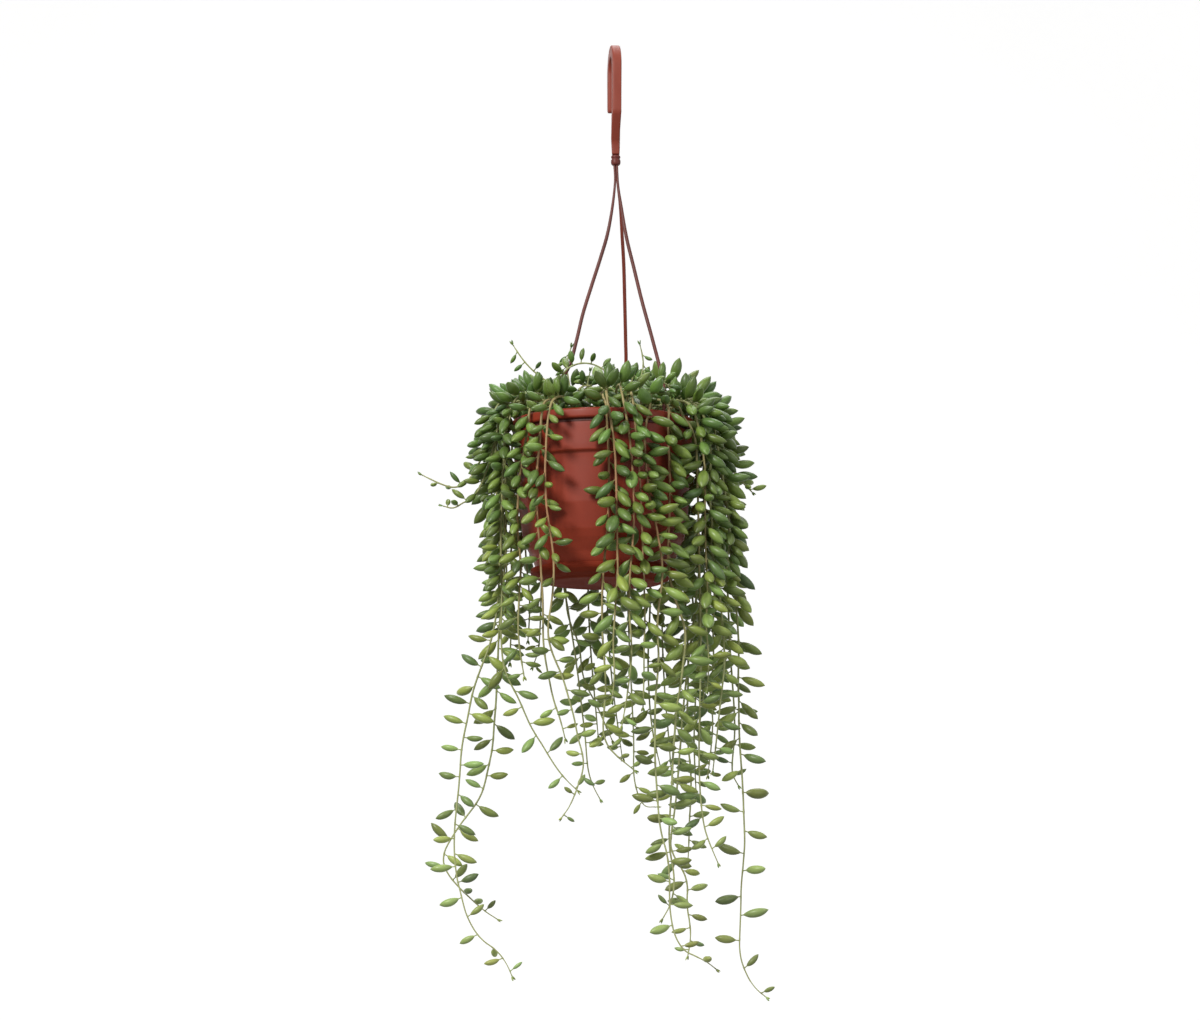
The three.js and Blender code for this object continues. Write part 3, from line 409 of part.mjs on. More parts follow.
  ['trailing_shoot_24', [28.4,10.5,-319.4,31,11.2,-309.8,36.5,11.9,-298.3,44.5,12.5,-288,51.6,12.9,-284.5,61.7,13.3,-284.3,69.2,13.7,-286.8,76,13.9,-294.3,79.5,14,-302.6,81.7,14,-312.3,83.3,14,-328.1,83.3,14,-342,82.9,14,-355.4,82.3,14,-372.9,81.9,14,-394.9,81.3,14,-416.2,80.4,14,-434.1,79.6,14,-448.4,78.8,14,-469.4,78.8,14,-502.2,75.9,14,-522,76.7,14,-533.7,77.9,14,-549.7,76.1,14,-573.2,73.9,14,-591.4],
    [[2,18,-36,2.8,17,8.1],[3,-98,20,2.5,15.8,7.1],[5,46,35,2.5,19,8.1],[7,-10,-11,2.7,17.4,7.4],[9,-6,-28,2.5,19.8,8.6],[10,46,-37,2.6,17.4,8.1],[11,140,-12,2.8,17.8,8.5],[12,-101,-44,3.1,19.1,9.4],[13,92,-47,3,16.8,8.3],[14,27,-49,3,18.2,8.7],[15,-67,-29,2.2,19.4,8.7],[16,34,-10,2.9,17.3,7.3],[17,-29,-40,2.8,18,8],[18,171,-46,2.4,17.4,7.5],[19,-22,-49,2.5,17.6,8.2],[21,-178,-42,2.8,15.5,7.7],[22,149,-40,2.4,14.2,6.8],[23,8,1,2.3,10.9,5.4]]],
  ['trailing_shoot_25', [28,15.6,-319.4,31.7,16.8,-304.9,38,18.9,-289.3,45.3,21.3,-280.3,53.2,23.5,-278.9,66.4,26.6,-282.1,71,28,-285.1,78.1,29.5,-294.5,82.3,29.9,-305.2,85.5,30,-321.5,87.6,30,-341.2,88.8,30,-365.3,89.5,30,-384.6,90,30,-399.9,90.5,30,-416.5,91.2,30,-437.2,92.2,30,-467.5,93.4,30,-496.2,95.3,30,-523.5,96.4,30,-550.4,95.7,30,-565.9,94.1,30,-584.9,95.3,30,-591.9,98.8,30,-598.6],
    [[2,135,12,2.9,15.5,7.5],[4,-29,55,2.7,16.1,7.7],[6,-25,15,3,16.1,7.4],[7,90,-25,2.2,18.2,8],[8,142,-50,3.1,17.6,7.5],[9,15,-12,2.9,19.9,9.5],[10,156,-51,2.6,16.2,7.5],[11,6,-15,2.8,16.2,7.4],[12,73,-29,3.1,16.4,6.9],[13,132,5,2.5,18.5,8.1],[14,151,-49,3,16.1,7],[15,4,-45,3,19.4,8.3],[16,162,-4,2.5,15.7,7.3],[17,-28,-29,2.5,16.7,8],[18,-170,-35,2.7,18,8.7],[20,-10,-7,2.8,15.2,7.5],[22,-21,28,2.5,10,4.3]]],
  ['trailing_shoot_26', [24.5,-12.1,-319.4,27.9,-13.5,-310.1,33,-13.7,-302.8,40.4,-14.3,-296.1,45.9,-15.2,-293.9,57.3,-21.3,-293.3,62.1,-22.7,-293.7,66.8,-23.3,-295,73.3,-23.9,-301.2,77.5,-24,-310.2,81.5,-24,-329.9,84.8,-24,-348.7,87.1,-24,-366.1,89.6,-24,-382,90.4,-24,-402.6,89,-24,-422.3,87.8,-24,-433.8],
    [[4,44,-41,2.8,17,7.9],[8,-31,-28,3,16.4,7.4],[10,8,-39,2.3,20.3,8.6],[11,178,-15,2.8,19.1,9.6],[12,21,-43,2.7,19.9,8.9],[13,152,-45,2.4,20.1,9.1],[14,23,-36,2.5,18.1,9],[15,13,-50,2.7,13.9,6.2]]],
  ['trailing_shoot_27', [29.4,26.2,-319.4,32.3,25.8,-304.7,38.5,29.2,-286.1,44,34.1,-278.1,46.8,36.5,-276.4,53,39.1,-276.3,57.6,40.9,-277.1,61.4,42.3,-280,67,43.6,-291.2,70.8,44,-309.6,71.8,44,-320.8,72.5,44,-333.6,72.9,44,-347.8,72.5,44,-370.4,72,44,-393.2,72.5,44,-414.5,73.4,44,-432.1,74.2,44,-448.1,75.3,44,-471.1,73.7,44,-508.5,70.6,44,-533.2,67,44,-557.3],
    [[5,95,-42,3,14.6,6.7],[8,-19,18,2.8,16.3,7.2],[9,98,-44,3,19.1,9.1],[10,21,-9,3,18.8,8],[11,15,-48,2.7,15.2,6.6],[12,26,-20,2.3,16.5,7.5],[13,52,-46,2.4,15.4,7.6],[14,58,-26,2.3,18.4,8.5],[15,165,1,2.7,16.7,8.2],[16,-20,-35,2.3,16.9,8.4],[17,150,-50,2.3,18.5,8.5],[18,16,-13,3.2,19.1,9.4],[19,171,-31,3,14.6,6.5],[20,21,-29,2.2,11.9,5.2]]],
  ['trailing_shoot_28', [20.6,-23.8,-319.4,23.7,-26,-310.2,32.7,-28.1,-299.7,36.3,-29.8,-296.8,40.1,-32.6,-295.2,48.2,-38.3,-294.9,55.1,-42.2,-296.3,58.2,-43.8,-298.9,64,-45.6,-311.5,67.2,-45.9,-323.7,69.4,-46,-338.5,70.6,-46,-358.7,70.5,-46,-383.3,70.6,-46,-405,71,-46,-422.3,71.9,-46,-437,72,-46,-454.6,71.1,-46,-472.6,71.8,-46,-489.6,72.7,-46,-507.5,71.9,-46,-520.7,71.3,-46,-527.6],
    [[7,-79,-31,2.4,17.9,8.9],[8,-24,-15,2.9,21.2,10],[9,-17,-17,2.3,20.5,9.2],[10,-20,-33,2.3,20.1,9.4],[11,-47,-47,2.7,16.6,7],[12,-26,-31,3,20.1,8.6],[13,-121,-25,2.5,18.9,9.3],[14,-16,-49,2.8,21,9.7],[15,-148,-38,2.9,19.3,8.8],[16,-36,-36,2.5,20.1,8.8],[18,-152,-47,2.8,17.7,7.5],[20,-2,-26,2.6,10.8,5]]],
  ['trailing_shoot_29', [35,0,-319.4,37.6,0.2,-309.8,44.2,0.5,-296.3,50.2,0.9,-289.7,55.3,1.2,-287.7,67.8,1.7,-288.6,75.4,1.9,-293.3,79.2,1.9,-297.7,83.6,2,-306.7,85.8,2,-316.2,90,2,-335.8,95.9,2,-347.1,108.5,2,-361,110.4,2,-363],
    [[4,72,-3,3,13.9,6],[5,104,-57,2.3,17.3,7.3],[7,-2,3,2.9,17.6,7.6],[9,154,-53,2.9,15.9,7.9],[11,-11,-14,2.8,16.9,8.1],[12,9,12,2.3,12.1,5.6]]],
  ['trailing_shoot_30', [-49.3,-4,-319.4,-55.6,-3.6,-301,-62.4,-4.6,-289.4,-66.6,-4.9,-285.2,-71.2,-5.1,-283.3,-78.5,-5.4,-283.3,-89.6,-5.8,-287.6,-92.9,-5.9,-289.8,-97.6,-5.9,-296.1,-103.4,-6,-314.4,-108.2,-6,-333.6,-112.9,-6,-344.7,-117.8,-6,-352.4,-125.1,-6,-359.2,-129.8,-6,-360.6,-143.9,-6,-356.7,-157,-6,-350.2],
    [[1,164,-37,2.7,15.7,6.9],[2,150,-39,2.3,18.7,8.5],[5,111,54,3.2,14.9,6.9],[8,142,-1,2.7,18.4,8.6],[9,130,-20,2.6,17,8.1],[10,-170,-11,2.6,11.4,4.9],[12,-144,-37,2.9,12.6,5.6],[15,-119,-19,2.8,8.7,4.2]]],
  ['trailing_shoot_31', [-41.9,-11.8,-319.4,-43.2,-12.6,-314.6,-48.1,-12.6,-306,-53.8,-13.2,-299.1,-59.2,-14.2,-294.9,-65.3,-16.2,-292.4,-69.8,-18.4,-291.8,-82.1,-23.4,-293.1,-86,-24.6,-295.9,-90.9,-25.4,-302.3,-95.2,-25.9,-314.7,-98.3,-26,-329.3,-104.2,-26,-350.5,-112.4,-26,-368.7,-119.2,-26,-374.4,-131.8,-26,-380.5,-138.8,-26,-378.4],
    [[4,-112,-49,2.4,12.7,6],[7,-130,10,2.6,17.7,8.4],[9,-138,-31,2.7,14.9,7.2],[10,-8,-52,2.3,16.3,7.3],[11,159,-24,3,17.8,8.2],[12,147,-24,3.1,14.8,7.3],[14,162,38,3.1,13.5,6.2]]],
  ['trailing_shoot_32', [-42,13.9,-319.4,-44.2,15.2,-309.7,-51.3,18,-291.8,-56.3,19.6,-283.3,-60.5,20.6,-279.4,-67.9,22.3,-277.2,-73.4,23.4,-278.1,-85.4,25.3,-282.7,-90.2,25.7,-287.3,-93.9,25.9,-294.4,-96.9,26,-304.7,-99.8,26,-322,-101.6,26,-339.6,-102.1,26,-353.9,-101.2,26,-366.9,-98.7,26,-383.3,-95.4,26,-403.5,-92.6,26,-427.8,-92.6,26,-450.8,-93.7,26,-469.1,-94.4,26,-477.1],
    [[2,25,10,2.3,13.5,6.1],[4,-108,24,2.3,20.2,10],[6,153,30,2.7,17.2,7.6],[8,163,-22,2.7,21.1,9.1],[10,15,-50,2.5,18.2,8],[11,-134,-48,2.4,16.4,7.2],[12,-118,-46,2.3,19.8,9.4],[13,177,-49,2.5,20,9.4],[14,-173,-52,2.7,21.2,10.6],[15,-179,-51,3.1,15.8,7.8],[16,-172,-40,2.5,20.4,8.9],[17,-163,-40,2.9,18.6,9],[18,6,-43,2.3,16.2,7.9],[19,-158,-48,2.8,11.9,6]]],
  ['trailing_shoot_33', [-48.4,-14.7,-319.4,-50.9,-16.2,-309.9,-54.3,-19.3,-302.6,-57.4,-21.9,-298.6,-59.9,-25.1,-296.6,-62.5,-28.4,-294.5,-67,-29.2,-293,-74.4,-30.1,-294.5,-79.6,-31.1,-298.6,-85.7,-31.8,-308.8,-88.4,-32,-319.7,-89.5,-32,-337.3,-88.7,-32,-352.3,-89.1,-32,-367.2,-90.1,-32,-387.6,-88.1,-32,-416.6,-87.3,-32,-439.6,-88.3,-32,-459.5,-88.5,-32,-462.8],
    [[4,-68,-43,3.2,15.1,6.6],[8,-97,-37,2.9,15.2,6.5],[10,-165,-12,2.9,19.8,9.6],[11,-9,-48,2.5,17.3,7.7],[12,69,-26,3,18.6,9],[13,-4,-40,3.1,18.9,9.1],[14,-174,-40,3,15.6,6.9],[15,-15,-43,2.5,16.6,7.4],[16,-162,-49,3,13.8,6.5],[17,-44,-43,2.5,10.3,5]]],
  ['trailing_shoot_34', [-10.8,47.2,-319.4,-11.1,52.1,-293,-11.3,57.3,-271.9,-11.6,61.5,-261.8,-12,66.2,-258.2,-12.4,70.7,-259.8,-12.8,76,-265,-13.7,79.2,-277.9,-15.1,80,-297.4,-16.4,80,-318.2,-18,80,-346.4,-19,80,-363.3,-20.1,80,-380.9,-21.3,80,-396.8,-22.6,80,-418.7,-22.7,80,-443.9,-21.9,80,-464.3,-20.9,80,-481.5,-19,80,-505.8,-17.2,80,-526.1,-14.6,80,-555],
    [[1,131,-6,3,17.5,8.2],[2,140,-17,2.7,17.5,8.2],[4,23,46,2.6,16.2,7.4],[6,47,-4,3,20,9.4],[7,112,-11,3.1,21.7,10.1],[8,26,-48,2.4,15.7,6.6],[9,83,-48,2.8,17.9,8.2],[10,165,-31,3.1,16.9,7.4],[11,124,-49,2.3,21.5,10.5],[12,133,-27,2.9,18,8.8],[13,3,-52,2.7,16.9,8.3],[14,86,-20,2.3,17.4,8.6],[15,48,1,2.5,20.3,8.6],[16,134,-16,3.2,18.4,8.4],[17,-30,-39,2.8,15.9,6.9],[18,139,-28,2.5,16.8,7.2],[19,170,-34,3.1,16.6,8.2]]],
  ['trailing_shoot_35', [4.4,23.5,-319.4,9.8,31.7,-290.7,13.3,37,-278.3,16.5,41.7,-270.8,21.2,47.9,-266.3,26.3,54.4,-266,35,65,-268.5,36.7,67.1,-271.3,38.7,69.1,-279.2,41.8,70,-304.5,43.4,70,-330.6,43.7,70,-350.3,43.1,70,-372.2,40.8,70,-403.5,39.5,70,-426.8,38.8,70,-446.3,38.7,70,-475.8,40.2,70,-513.1,42.5,70,-543.2,45,70,-575.6,46.3,70,-592.6],
    [[1,-147,16,3,16.8,7.4],[3,-63,54,2.3,16,7],[5,23,63,2.3,16.3,8],[8,132,-49,3,16.3,7.9],[9,50,-39,2.7,19,9.5],[10,38,-35,3.1,18.7,8.6],[11,-176,-17,2.5,19.3,9.1],[12,14,-20,2.9,16,8],[13,30,-25,3,18,8.8],[14,45,-28,2.2,19.4,8.7],[15,23,-42,3.1,15.8,7.8],[16,-5,-47,2.6,17.9,8.9],[17,-150,-20,2.9,15.9,7.1],[18,3,-15,2.2,17.2,8.5],[19,-176,-41,2.3,11.4,5]]],
  ['trailing_shoot_36', [9.4,22.1,-319.4,13.4,26.5,-301.4,19.9,32.8,-283.2,24.4,37.1,-275.5,30.5,42.2,-271.4,47,55.4,-272.1,49.4,57.3,-274.5,51.3,58.6,-278.9,53.8,59.8,-289.2,56.2,60,-304.4,58,60,-322.1,59.4,60,-345.1,60.6,60,-373.5,61.2,60,-398.7,62,60,-418.9,63.3,60,-438.3,65.1,60,-471.3,66,60,-509.2,65.2,60,-536,64.5,60,-571.6,65.7,60,-601.3],
    [[2,-63,-3,3.1,14.2,6.3],[5,65,30,3,19.5,9.5],[8,46,-34,3.1,17,7.2],[9,15,-4,2.9,19.6,9.2],[10,22,-36,2.9,15.9,7.1],[11,3,-49,2.3,19.6,9.2],[12,66,-34,2.7,15.1,7.3],[13,32,-32,2.7,20.3,8.8],[14,140,-43,3.1,15.4,6.7],[15,13,-32,2.9,19,8.2],[16,122,-14,2.3,18.7,9.2],[17,17,-36,2.8,18.3,7.7],[18,114,-8,3,16.1,7.6],[19,-5,-33,3.1,12.5,6]]],
  ['trailing_shoot_37', [-34.5,20.7,-319.4,-38.9,25.2,-300.5,-45.3,32.1,-282.8,-49.6,36.6,-276.3,-52.8,39.6,-274,-56.4,42.9,-273.1,-63.7,49.3,-274,-68.1,52.9,-275.7,-70.7,55,-283.5,-73.3,55.9,-299.9,-75.3,56,-327.7,-75.9,56,-359.1,-75.6,56,-380.2,-74.8,56,-399.7,-72.7,56,-426.3,-71.1,56,-443.2,-71.2,56,-460.5,-72.3,56,-478.3],
    [[2,22,10,2.9,19.9,8.6],[6,96,27,3.2,16.8,7.4],[8,142,-24,2.6,16.1,7.9],[9,-112,-45,2.8,18.8,9.4],[10,112,3,2.5,19,8.3],[11,-109,-13,2.7,20.2,9.8],[12,-14,-47,2.8,15.7,7.3],[13,136,-29,2.6,17.9,8],[14,154,-8,2.3,15.5,7.2],[16,176,-17,3,12.7,6.1]]],
  ['trailing_shoot_38', [-9.4,52.2,-319.4,-8.2,56.9,-290.1,-7.1,59.9,-274.4,-5.8,63.5,-263.9,-4,67.8,-259.1,-2.5,71.4,-259.7,-0.3,78,-263.6,0.1,80.8,-267.5,0,82.6,-273.2,-1.4,84.1,-293.5,-2.8,84.1,-315.3,-3.5,84,-332.1,-4.2,84,-353.8,-4.9,84,-375.8,-5.8,84,-400.1,-6.4,84,-425,-6.5,84,-440.6,-6.5,84,-456,-5.6,84,-478.8,-2.8,84,-510.7,0.5,84,-537.5,3.1,84,-556.6,5.3,84,-572.1],
    [[1,73,-32,2.8,15.3,6.4],[3,156,-19,2.9,17,8.4],[6,42,22,2.3,16.7,7.9],[9,136,-46,2.7,18.1,7.8],[10,150,-14,2.8,14.2,6.9],[11,-140,-39,2.9,16.9,8.2],[12,23,-46,2.9,20.2,9.3],[13,13,-40,2.2,17.1,7.6],[14,65,-52,2.6,19.9,8.8],[15,0,-42,2.9,19,8.6],[16,-149,7,3.1,17.3,8.6],[17,6,-50,2.9,21.6,10.6],[18,68,-12,2.3,17.9,8],[19,82,-21,3.1,19.9,8.4],[20,130,-40,2.6,14.8,6.9],[21,-39,-31,3.1,12.8,6.4]]],
  ['crown_shoot_01', [-44.8,-7.8,-319.4,-44.9,-8.5,-305.2,-46.6,-9.2,-293.1,-47.8,-9.4,-287.9,-52.9,-9.9,-277.2,-58.2,-9.9,-272.5,-73.9,-10,-258.1,-80.2,-10,-249.4,-83.7,-10,-243.9],
    [[1,78,8,2.9,11.8,5.2],[2,133,-23,2.4,10.7,4.8],[3,119,-2,2.8,12.8,6.1],[4,22,38,2.8,12.5,5.6],[5,136,-55,2.4,11.7,5.7],[6,164,-38,2.9,8.8,4.2],[7,157,-61,2.5,8.6,3.9]]],
  ['crown_shoot_02', [-34,6,-319.4,-34.8,6.5,-302.8,-35.3,6.9,-295.9,-36.4,7.4,-284.7,-37.4,7.7,-276.5,-39.5,7.9,-264.6,-40.1,8,-258.2,-38.5,8,-247.9,-36.7,8,-242.9],
    [[1,120,-47,2.9,10.4,5.2],[2,158,-2,2.6,11.2,4.8],[3,162,-14,2.4,9.8,4.2],[4,-168,-28,2.4,8.7,3.8],[5,-144,-28,3,9.4,4.3],[6,-176,-44,3.2,8.9,4.1],[7,151,-35,2.7,8.2,3.5]]],
  ['crown_shoot_03', [-50,-26,-319.4,-49.6,-29.2,-303.9,-49.3,-30.8,-298.4,-47.8,-34.3,-286.9,-46.7,-35.2,-281.9,-42.7,-35.8,-272.5,-39.1,-35.9,-268.6,-32.1,-36,-264.7,-28.2,-36,-264,-20.2,-36,-264.5,-11.9,-36,-268,-5.9,-36,-273.2,-0.1,-36.1,-280.9],
    [[1,-122,-41,2.9,11.1,5.4],[2,-127,-32,3.1,11.3,5.2],[3,-17,-50,2.5,12.9,5.7],[4,-144,7,2.9,13.1,5.6],[5,-126,24,2.6,13.8,6.1],[6,102,39,3.1,13.7,6],[8,36,83,2.4,10.6,5.3],[9,-74,34,2.3,10.4,4.4],[10,37,47,2.8,10.4,4.9]]],
  ['crown_shoot_04', [28.3,-8.7,-319.4,25.7,-9.2,-307.6,21.2,-11.7,-296.2,17.7,-13.3,-283.2,18.4,-13.7,-276.7,22.1,-14,-261.5,21.4,-14,-253,19.5,-14,-244.7],
    [[1,43,13,2.9,11.4,4.8],[2,-77,1,2.4,14.3,6.9],[3,-75,-39,2.7,13,5.6],[4,56,-38,2.6,11.6,5.6],[5,28,-49,2.9,8.4,4.1],[6,-35,-31,2.6,8.5,3.9]]],
  ['crown_shoot_05', [-26,-34,-319.4,-27.7,-38.1,-306.6,-28.7,-40,-302.7,-30.4,-44.6,-292.9,-29.7,-46.2,-288.4,-26.2,-47.2,-283.9,-21.1,-47.4,-284.4,-17.4,-47.3,-288.2,-14.7,-47.1,-292.8],
    [[1,110,-16,2.3,16.8,7.6],[2,14,-10,2.7,14.9,6.4],[3,-18,-48,3.1,16.4,7.3],[4,-138,2,2.3,15.7,7.1],[6,-39,24,2.2,11,5.5],[7,-18,13,2.6,10.2,4.9]]],
  ['crown_shoot_06', [30,-36,-319.4,28.9,-41.7,-306.2,28.3,-44.2,-302.6,27.4,-47.6,-297.8,27.5,-48.6,-293.5,30.3,-49.7,-284.3,37.2,-49.9,-282.2,42.2,-50,-286.9,44.5,-50,-290],
    [[1,-144,-28,2.4,15.6,6.6],[2,-54,-56,2.5,14.6,7.1],[4,129,16,2.3,13,6.1],[5,-62,-24,2.8,14.8,6.9],[6,-29,35,3.2,10.5,5],[7,-67,-27,2.8,10,4.5]]],
  ['crown_shoot_07', [-6,22,-319.4,-7,21.7,-308,-8.7,21.2,-298.4,-10.8,20.7,-287.1,-11.3,20.5,-282.9,-11.8,20.2,-275.2,-10.6,20.1,-269.1,-8.5,20,-264.8,-3.1,20,-258.9],
    [[1,-179,-24,3.2,19.3,9.4],[2,2,8,3.1,16.7,8.3],[3,121,-24,2.7,13.3,6.1],[4,-1,14,3.1,13.8,6.5],[5,49,-44,2.6,11.5,5],[6,163,20,2.9,14.2,6],[7,13,-43,3,10.6,4.7]]],
  ['crown_shoot_08', [34.5,25.9,-319.4,35,29.7,-305.8,35.2,30.7,-301.5,35.9,32.9,-290.3,36.6,33.7,-284.6,39.5,33.6,-276,43.9,33,-273.7,51.6,33.1,-276.1,57.1,33.8,-280,61.9,34.4,-284.9,64.6,34.8,-288.2],
    [[1,169,-35,3,16.5,7.9],[2,66,-50,2.4,16.8,7.3],[3,42,-41,2.8,15.1,7],[4,12,-26,3,17.8,8.7],[5,175,23,2.3,13.4,6.6],[6,55,30,2.6,13.1,6.4],[7,30,7,2.3,11.7,5.5],[8,7,-4,2.7,13.8,5.8],[9,3,-25,3,12.5,5.9]]],
  ['crown_shoot_09', [-50,24,-319.4,-50.5,25.8,-306.4,-51.5,28.2,-295,-52.6,30.7,-286,-54.7,32.9,-277.8,-60,31.8,-274.5,-66.9,31.3,-276.6,-76.5,31.8,-283.4,-81.4,32,-288.5],
    [[1,-170,-24,2.3,19.2,8.1],[2,118,-47,2.5,15.5,7.3],[3,-32,23,2.5,18.7,8.6],[4,-13,18,2.8,13.9,6.7],[5,-112,47,2.9,16.4,7.3],[6,-164,43,2.8,13.3,5.6],[7,136,-14,3.2,10.6,4.9]]],
  ['crown_shoot_10', [44,-12,-319.4,44.2,-14.5,-307.7,44.7,-17.7,-298.4,46,-19.4,-291.8,48.3,-19.5,-288.6,53.1,-19,-288.3,60.3,-18.1,-291.7,64.5,-18.4,-295.5,67.6,-19,-298.8,70.9,-19.6,-302.6],
    [[1,36,-32,2.3,15.8,7.8],[2,19,-51,2.5,14.2,6.4],[4,111,-1,3.2,13.7,6],[6,-12,-1,2.8,13.9,5.9],[7,25,-14,2.7,10.9,5.3],[8,-11,11,2.5,10.8,5.2]]],
  ['crown_shoot_11', [8,-30,-319.4,7.2,-30.3,-314.5,2.4,-31.1,-306.7,-0.9,-31.6,-303,-7.8,-32.7,-295.3,-10.7,-33.3,-290.7,-11.2,-33.7,-285.9,-7.1,-33.9,-283.6,-1.6,-34,-285.5,1.5,-34,-288.7],
    [[2,-54,25,2.3,13.7,5.8],[3,-18,63,3,14.1,6.8],[4,-48,29,2.4,12.8,5.9],[5,-120,-19,2.5,14.7,6.5],[7,94,68,3.1,11.6,5]]],
  ['crown_shoot_12', [-26,16,-319.4,-24.9,12.5,-301.6,-23.8,9.7,-291,-23.1,7.5,-281.4,-23.1,6.5,-272.9,-22.2,6.1,-266.5,-21.1,6,-263.2],
    [[1,175,1,2.4,16,7],[2,-133,-25,2.9,13.1,6],[3,42,-36,2.5,12.9,5.5],[4,123,11,2.4,10.9,4.8],[5,-153,-11,3,10.2,4.5]]],
  ['crown_shoot_13', [16,4,-319.4,15.5,1.8,-307,14.8,-0.5,-298.1,13.7,-3.4,-286.7,13,-5.5,-273.9,14.7,-6,-265.5],
    [[1,140,-39,3.2,15.3,7.1],[2,-3,-3,2.6,13,5.7],[3,157,-24,3.2,14.8,6.6],[4,56,0,3.2,13.1,6.2]]],
  ['crown_shoot_14', [12,34,-319.4,10.4,35.2,-304.2,9.4,35.8,-299.1,7.3,37.2,-288,6.4,37.8,-283.1,5.2,39,-272,5.4,39.4,-267.4,9.4,39.9,-261.9,15.2,40,-261.9],
    [[1,136,-12,3,15.1,7.1],[2,9,-14,2.3,14.8,6.9],[3,56,-5,2.2,14.5,6.4],[4,122,-34,2.7,14.1,6.9],[5,178,4,3.1,11.2,4.9],[6,39,-12,2.5,10.8,5.3],[7,-141,76,2.2,10.3,4.7]]],
];
for (const [name, path, leaves] of SHOOTS) shoot(name, path, leaves);

export default group;
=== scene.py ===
import math
import random

import bpy
import numpy as np
from mathutils import Matrix, Vector, noise


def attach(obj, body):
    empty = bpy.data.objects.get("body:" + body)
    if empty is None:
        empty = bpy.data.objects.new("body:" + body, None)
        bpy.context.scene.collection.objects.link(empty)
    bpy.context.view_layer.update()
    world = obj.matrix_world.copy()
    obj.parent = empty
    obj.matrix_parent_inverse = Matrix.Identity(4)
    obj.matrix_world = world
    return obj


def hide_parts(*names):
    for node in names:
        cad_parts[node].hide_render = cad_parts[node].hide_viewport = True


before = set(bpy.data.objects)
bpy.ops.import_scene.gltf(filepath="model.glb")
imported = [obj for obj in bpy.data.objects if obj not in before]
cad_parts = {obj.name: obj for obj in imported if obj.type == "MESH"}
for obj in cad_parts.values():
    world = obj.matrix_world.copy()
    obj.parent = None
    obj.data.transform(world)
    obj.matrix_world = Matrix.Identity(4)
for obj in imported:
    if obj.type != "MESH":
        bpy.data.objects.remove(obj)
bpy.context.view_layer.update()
RNG = random.Random(11)
MM = 0.001
POT_X = -10.0
RIM_Z = -306.0
SOIL_Z = -320.0
EAR_AZ = (249.0, 9.0, 129.0)
EAR_R = 62.0

scene = bpy.context.scene
scene.view_settings.view_transform = "Standard"
scene.view_settings.look = "None"


# ---------------------------------------------------------------- node helpers
class Nodes:
    def __init__(self, name):
        self.mat = bpy.data.materials.new(name)
        self.mat.use_nodes = True
        self.t = self.mat.node_tree
        self.t.nodes.clear()
        self.out = self.t.nodes.new("ShaderNodeOutputMaterial")
        self.b = self.t.nodes.new("ShaderNodeBsdfPrincipled")
        self.link(self.b.outputs[0], self.out.inputs[0])

    def new(self, kind, **values):
        n = self.t.nodes.new("ShaderNode" + kind)
        for k, v in values.items():
            if hasattr(n, k) and not isinstance(v, tuple) and k not in n.inputs:
                setattr(n, k, v)
            else:
                n.inputs[k].default_value = v
        return n

    def link(self, a, b):
        self.t.links.new(a, b)

    def noise(self, scale, detail=4.0, rough=0.55, dist=0.0, vec=None):
        n = self.t.nodes.new("ShaderNodeTexNoise")
        n.inputs["Scale"].default_value = scale
        n.inputs["Detail"].default_value = detail
        n.inputs["Roughness"].default_value = rough
        n.inputs["Distortion"].default_value = dist
        if vec is not None:
            self.link(vec, n.inputs["Vector"])
        return n.outputs["Fac"]

    def coords(self, scale=(1, 1, 1)):
        c = self.t.nodes.new("ShaderNodeTexCoord")
        m = self.t.nodes.new("ShaderNodeMapping")
        m.inputs["Scale"].default_value = scale
        self.link(c.outputs["Object"], m.inputs["Vector"])
        return m.outputs["Vector"]

    def ramp(self, fac, stops):
        r = self.t.nodes.new("ShaderNodeValToRGB")
        e = r.color_ramp.elements
        while len(e) < len(stops):
            e.new(0.5)
        for el, (p, c) in zip(e, stops):
            el.position = p
            el.color = (*c, 1.0) if len(c) == 3 else c
        self.link(fac, r.inputs["Fac"])
        return r.outputs["Color"]

    def range(self, fac, a, b, lo, hi):
        r = self.t.nodes.new("ShaderNodeMapRange")
        for k, v in (("From Min", a), ("From Max", b), ("To Min", lo), ("To Max", hi)):
            r.inputs[k].default_value = v
        self.link(fac, r.inputs["Value"])
        return r.outputs["Result"]

    def mix(self, fac, a, b, mode="MIX"):
        m = self.t.nodes.new("ShaderNodeMix")
        m.data_type = "RGBA"
        m.blend_type = mode
        for sock, v in ((m.inputs[0], fac), (m.inputs[6], a), (m.inputs[7], b)):
            if isinstance(v, (int, float)):
                sock.default_value = v
            elif isinstance(v, tuple):
                sock.default_value = (*v, 1.0)
            else:
                self.link(v, sock)
        return m.outputs[2]

    def bump(self, height, strength, distance):
        b = self.t.nodes.new("ShaderNodeBump")
        b.inputs["Strength"].default_value = strength
        b.inputs["Distance"].default_value = distance
        self.link(height, b.inputs["Height"])
        self.link(b.outputs[0], self.b.inputs["Normal"])
        return b


def srgb(r, g, b):
    def f(c):
        c /= 255.0
        return c / 12.92 if c <= 0.04045 else ((c + 0.055) / 1.055) ** 2.4
    return (f(r), f(g), f(b))


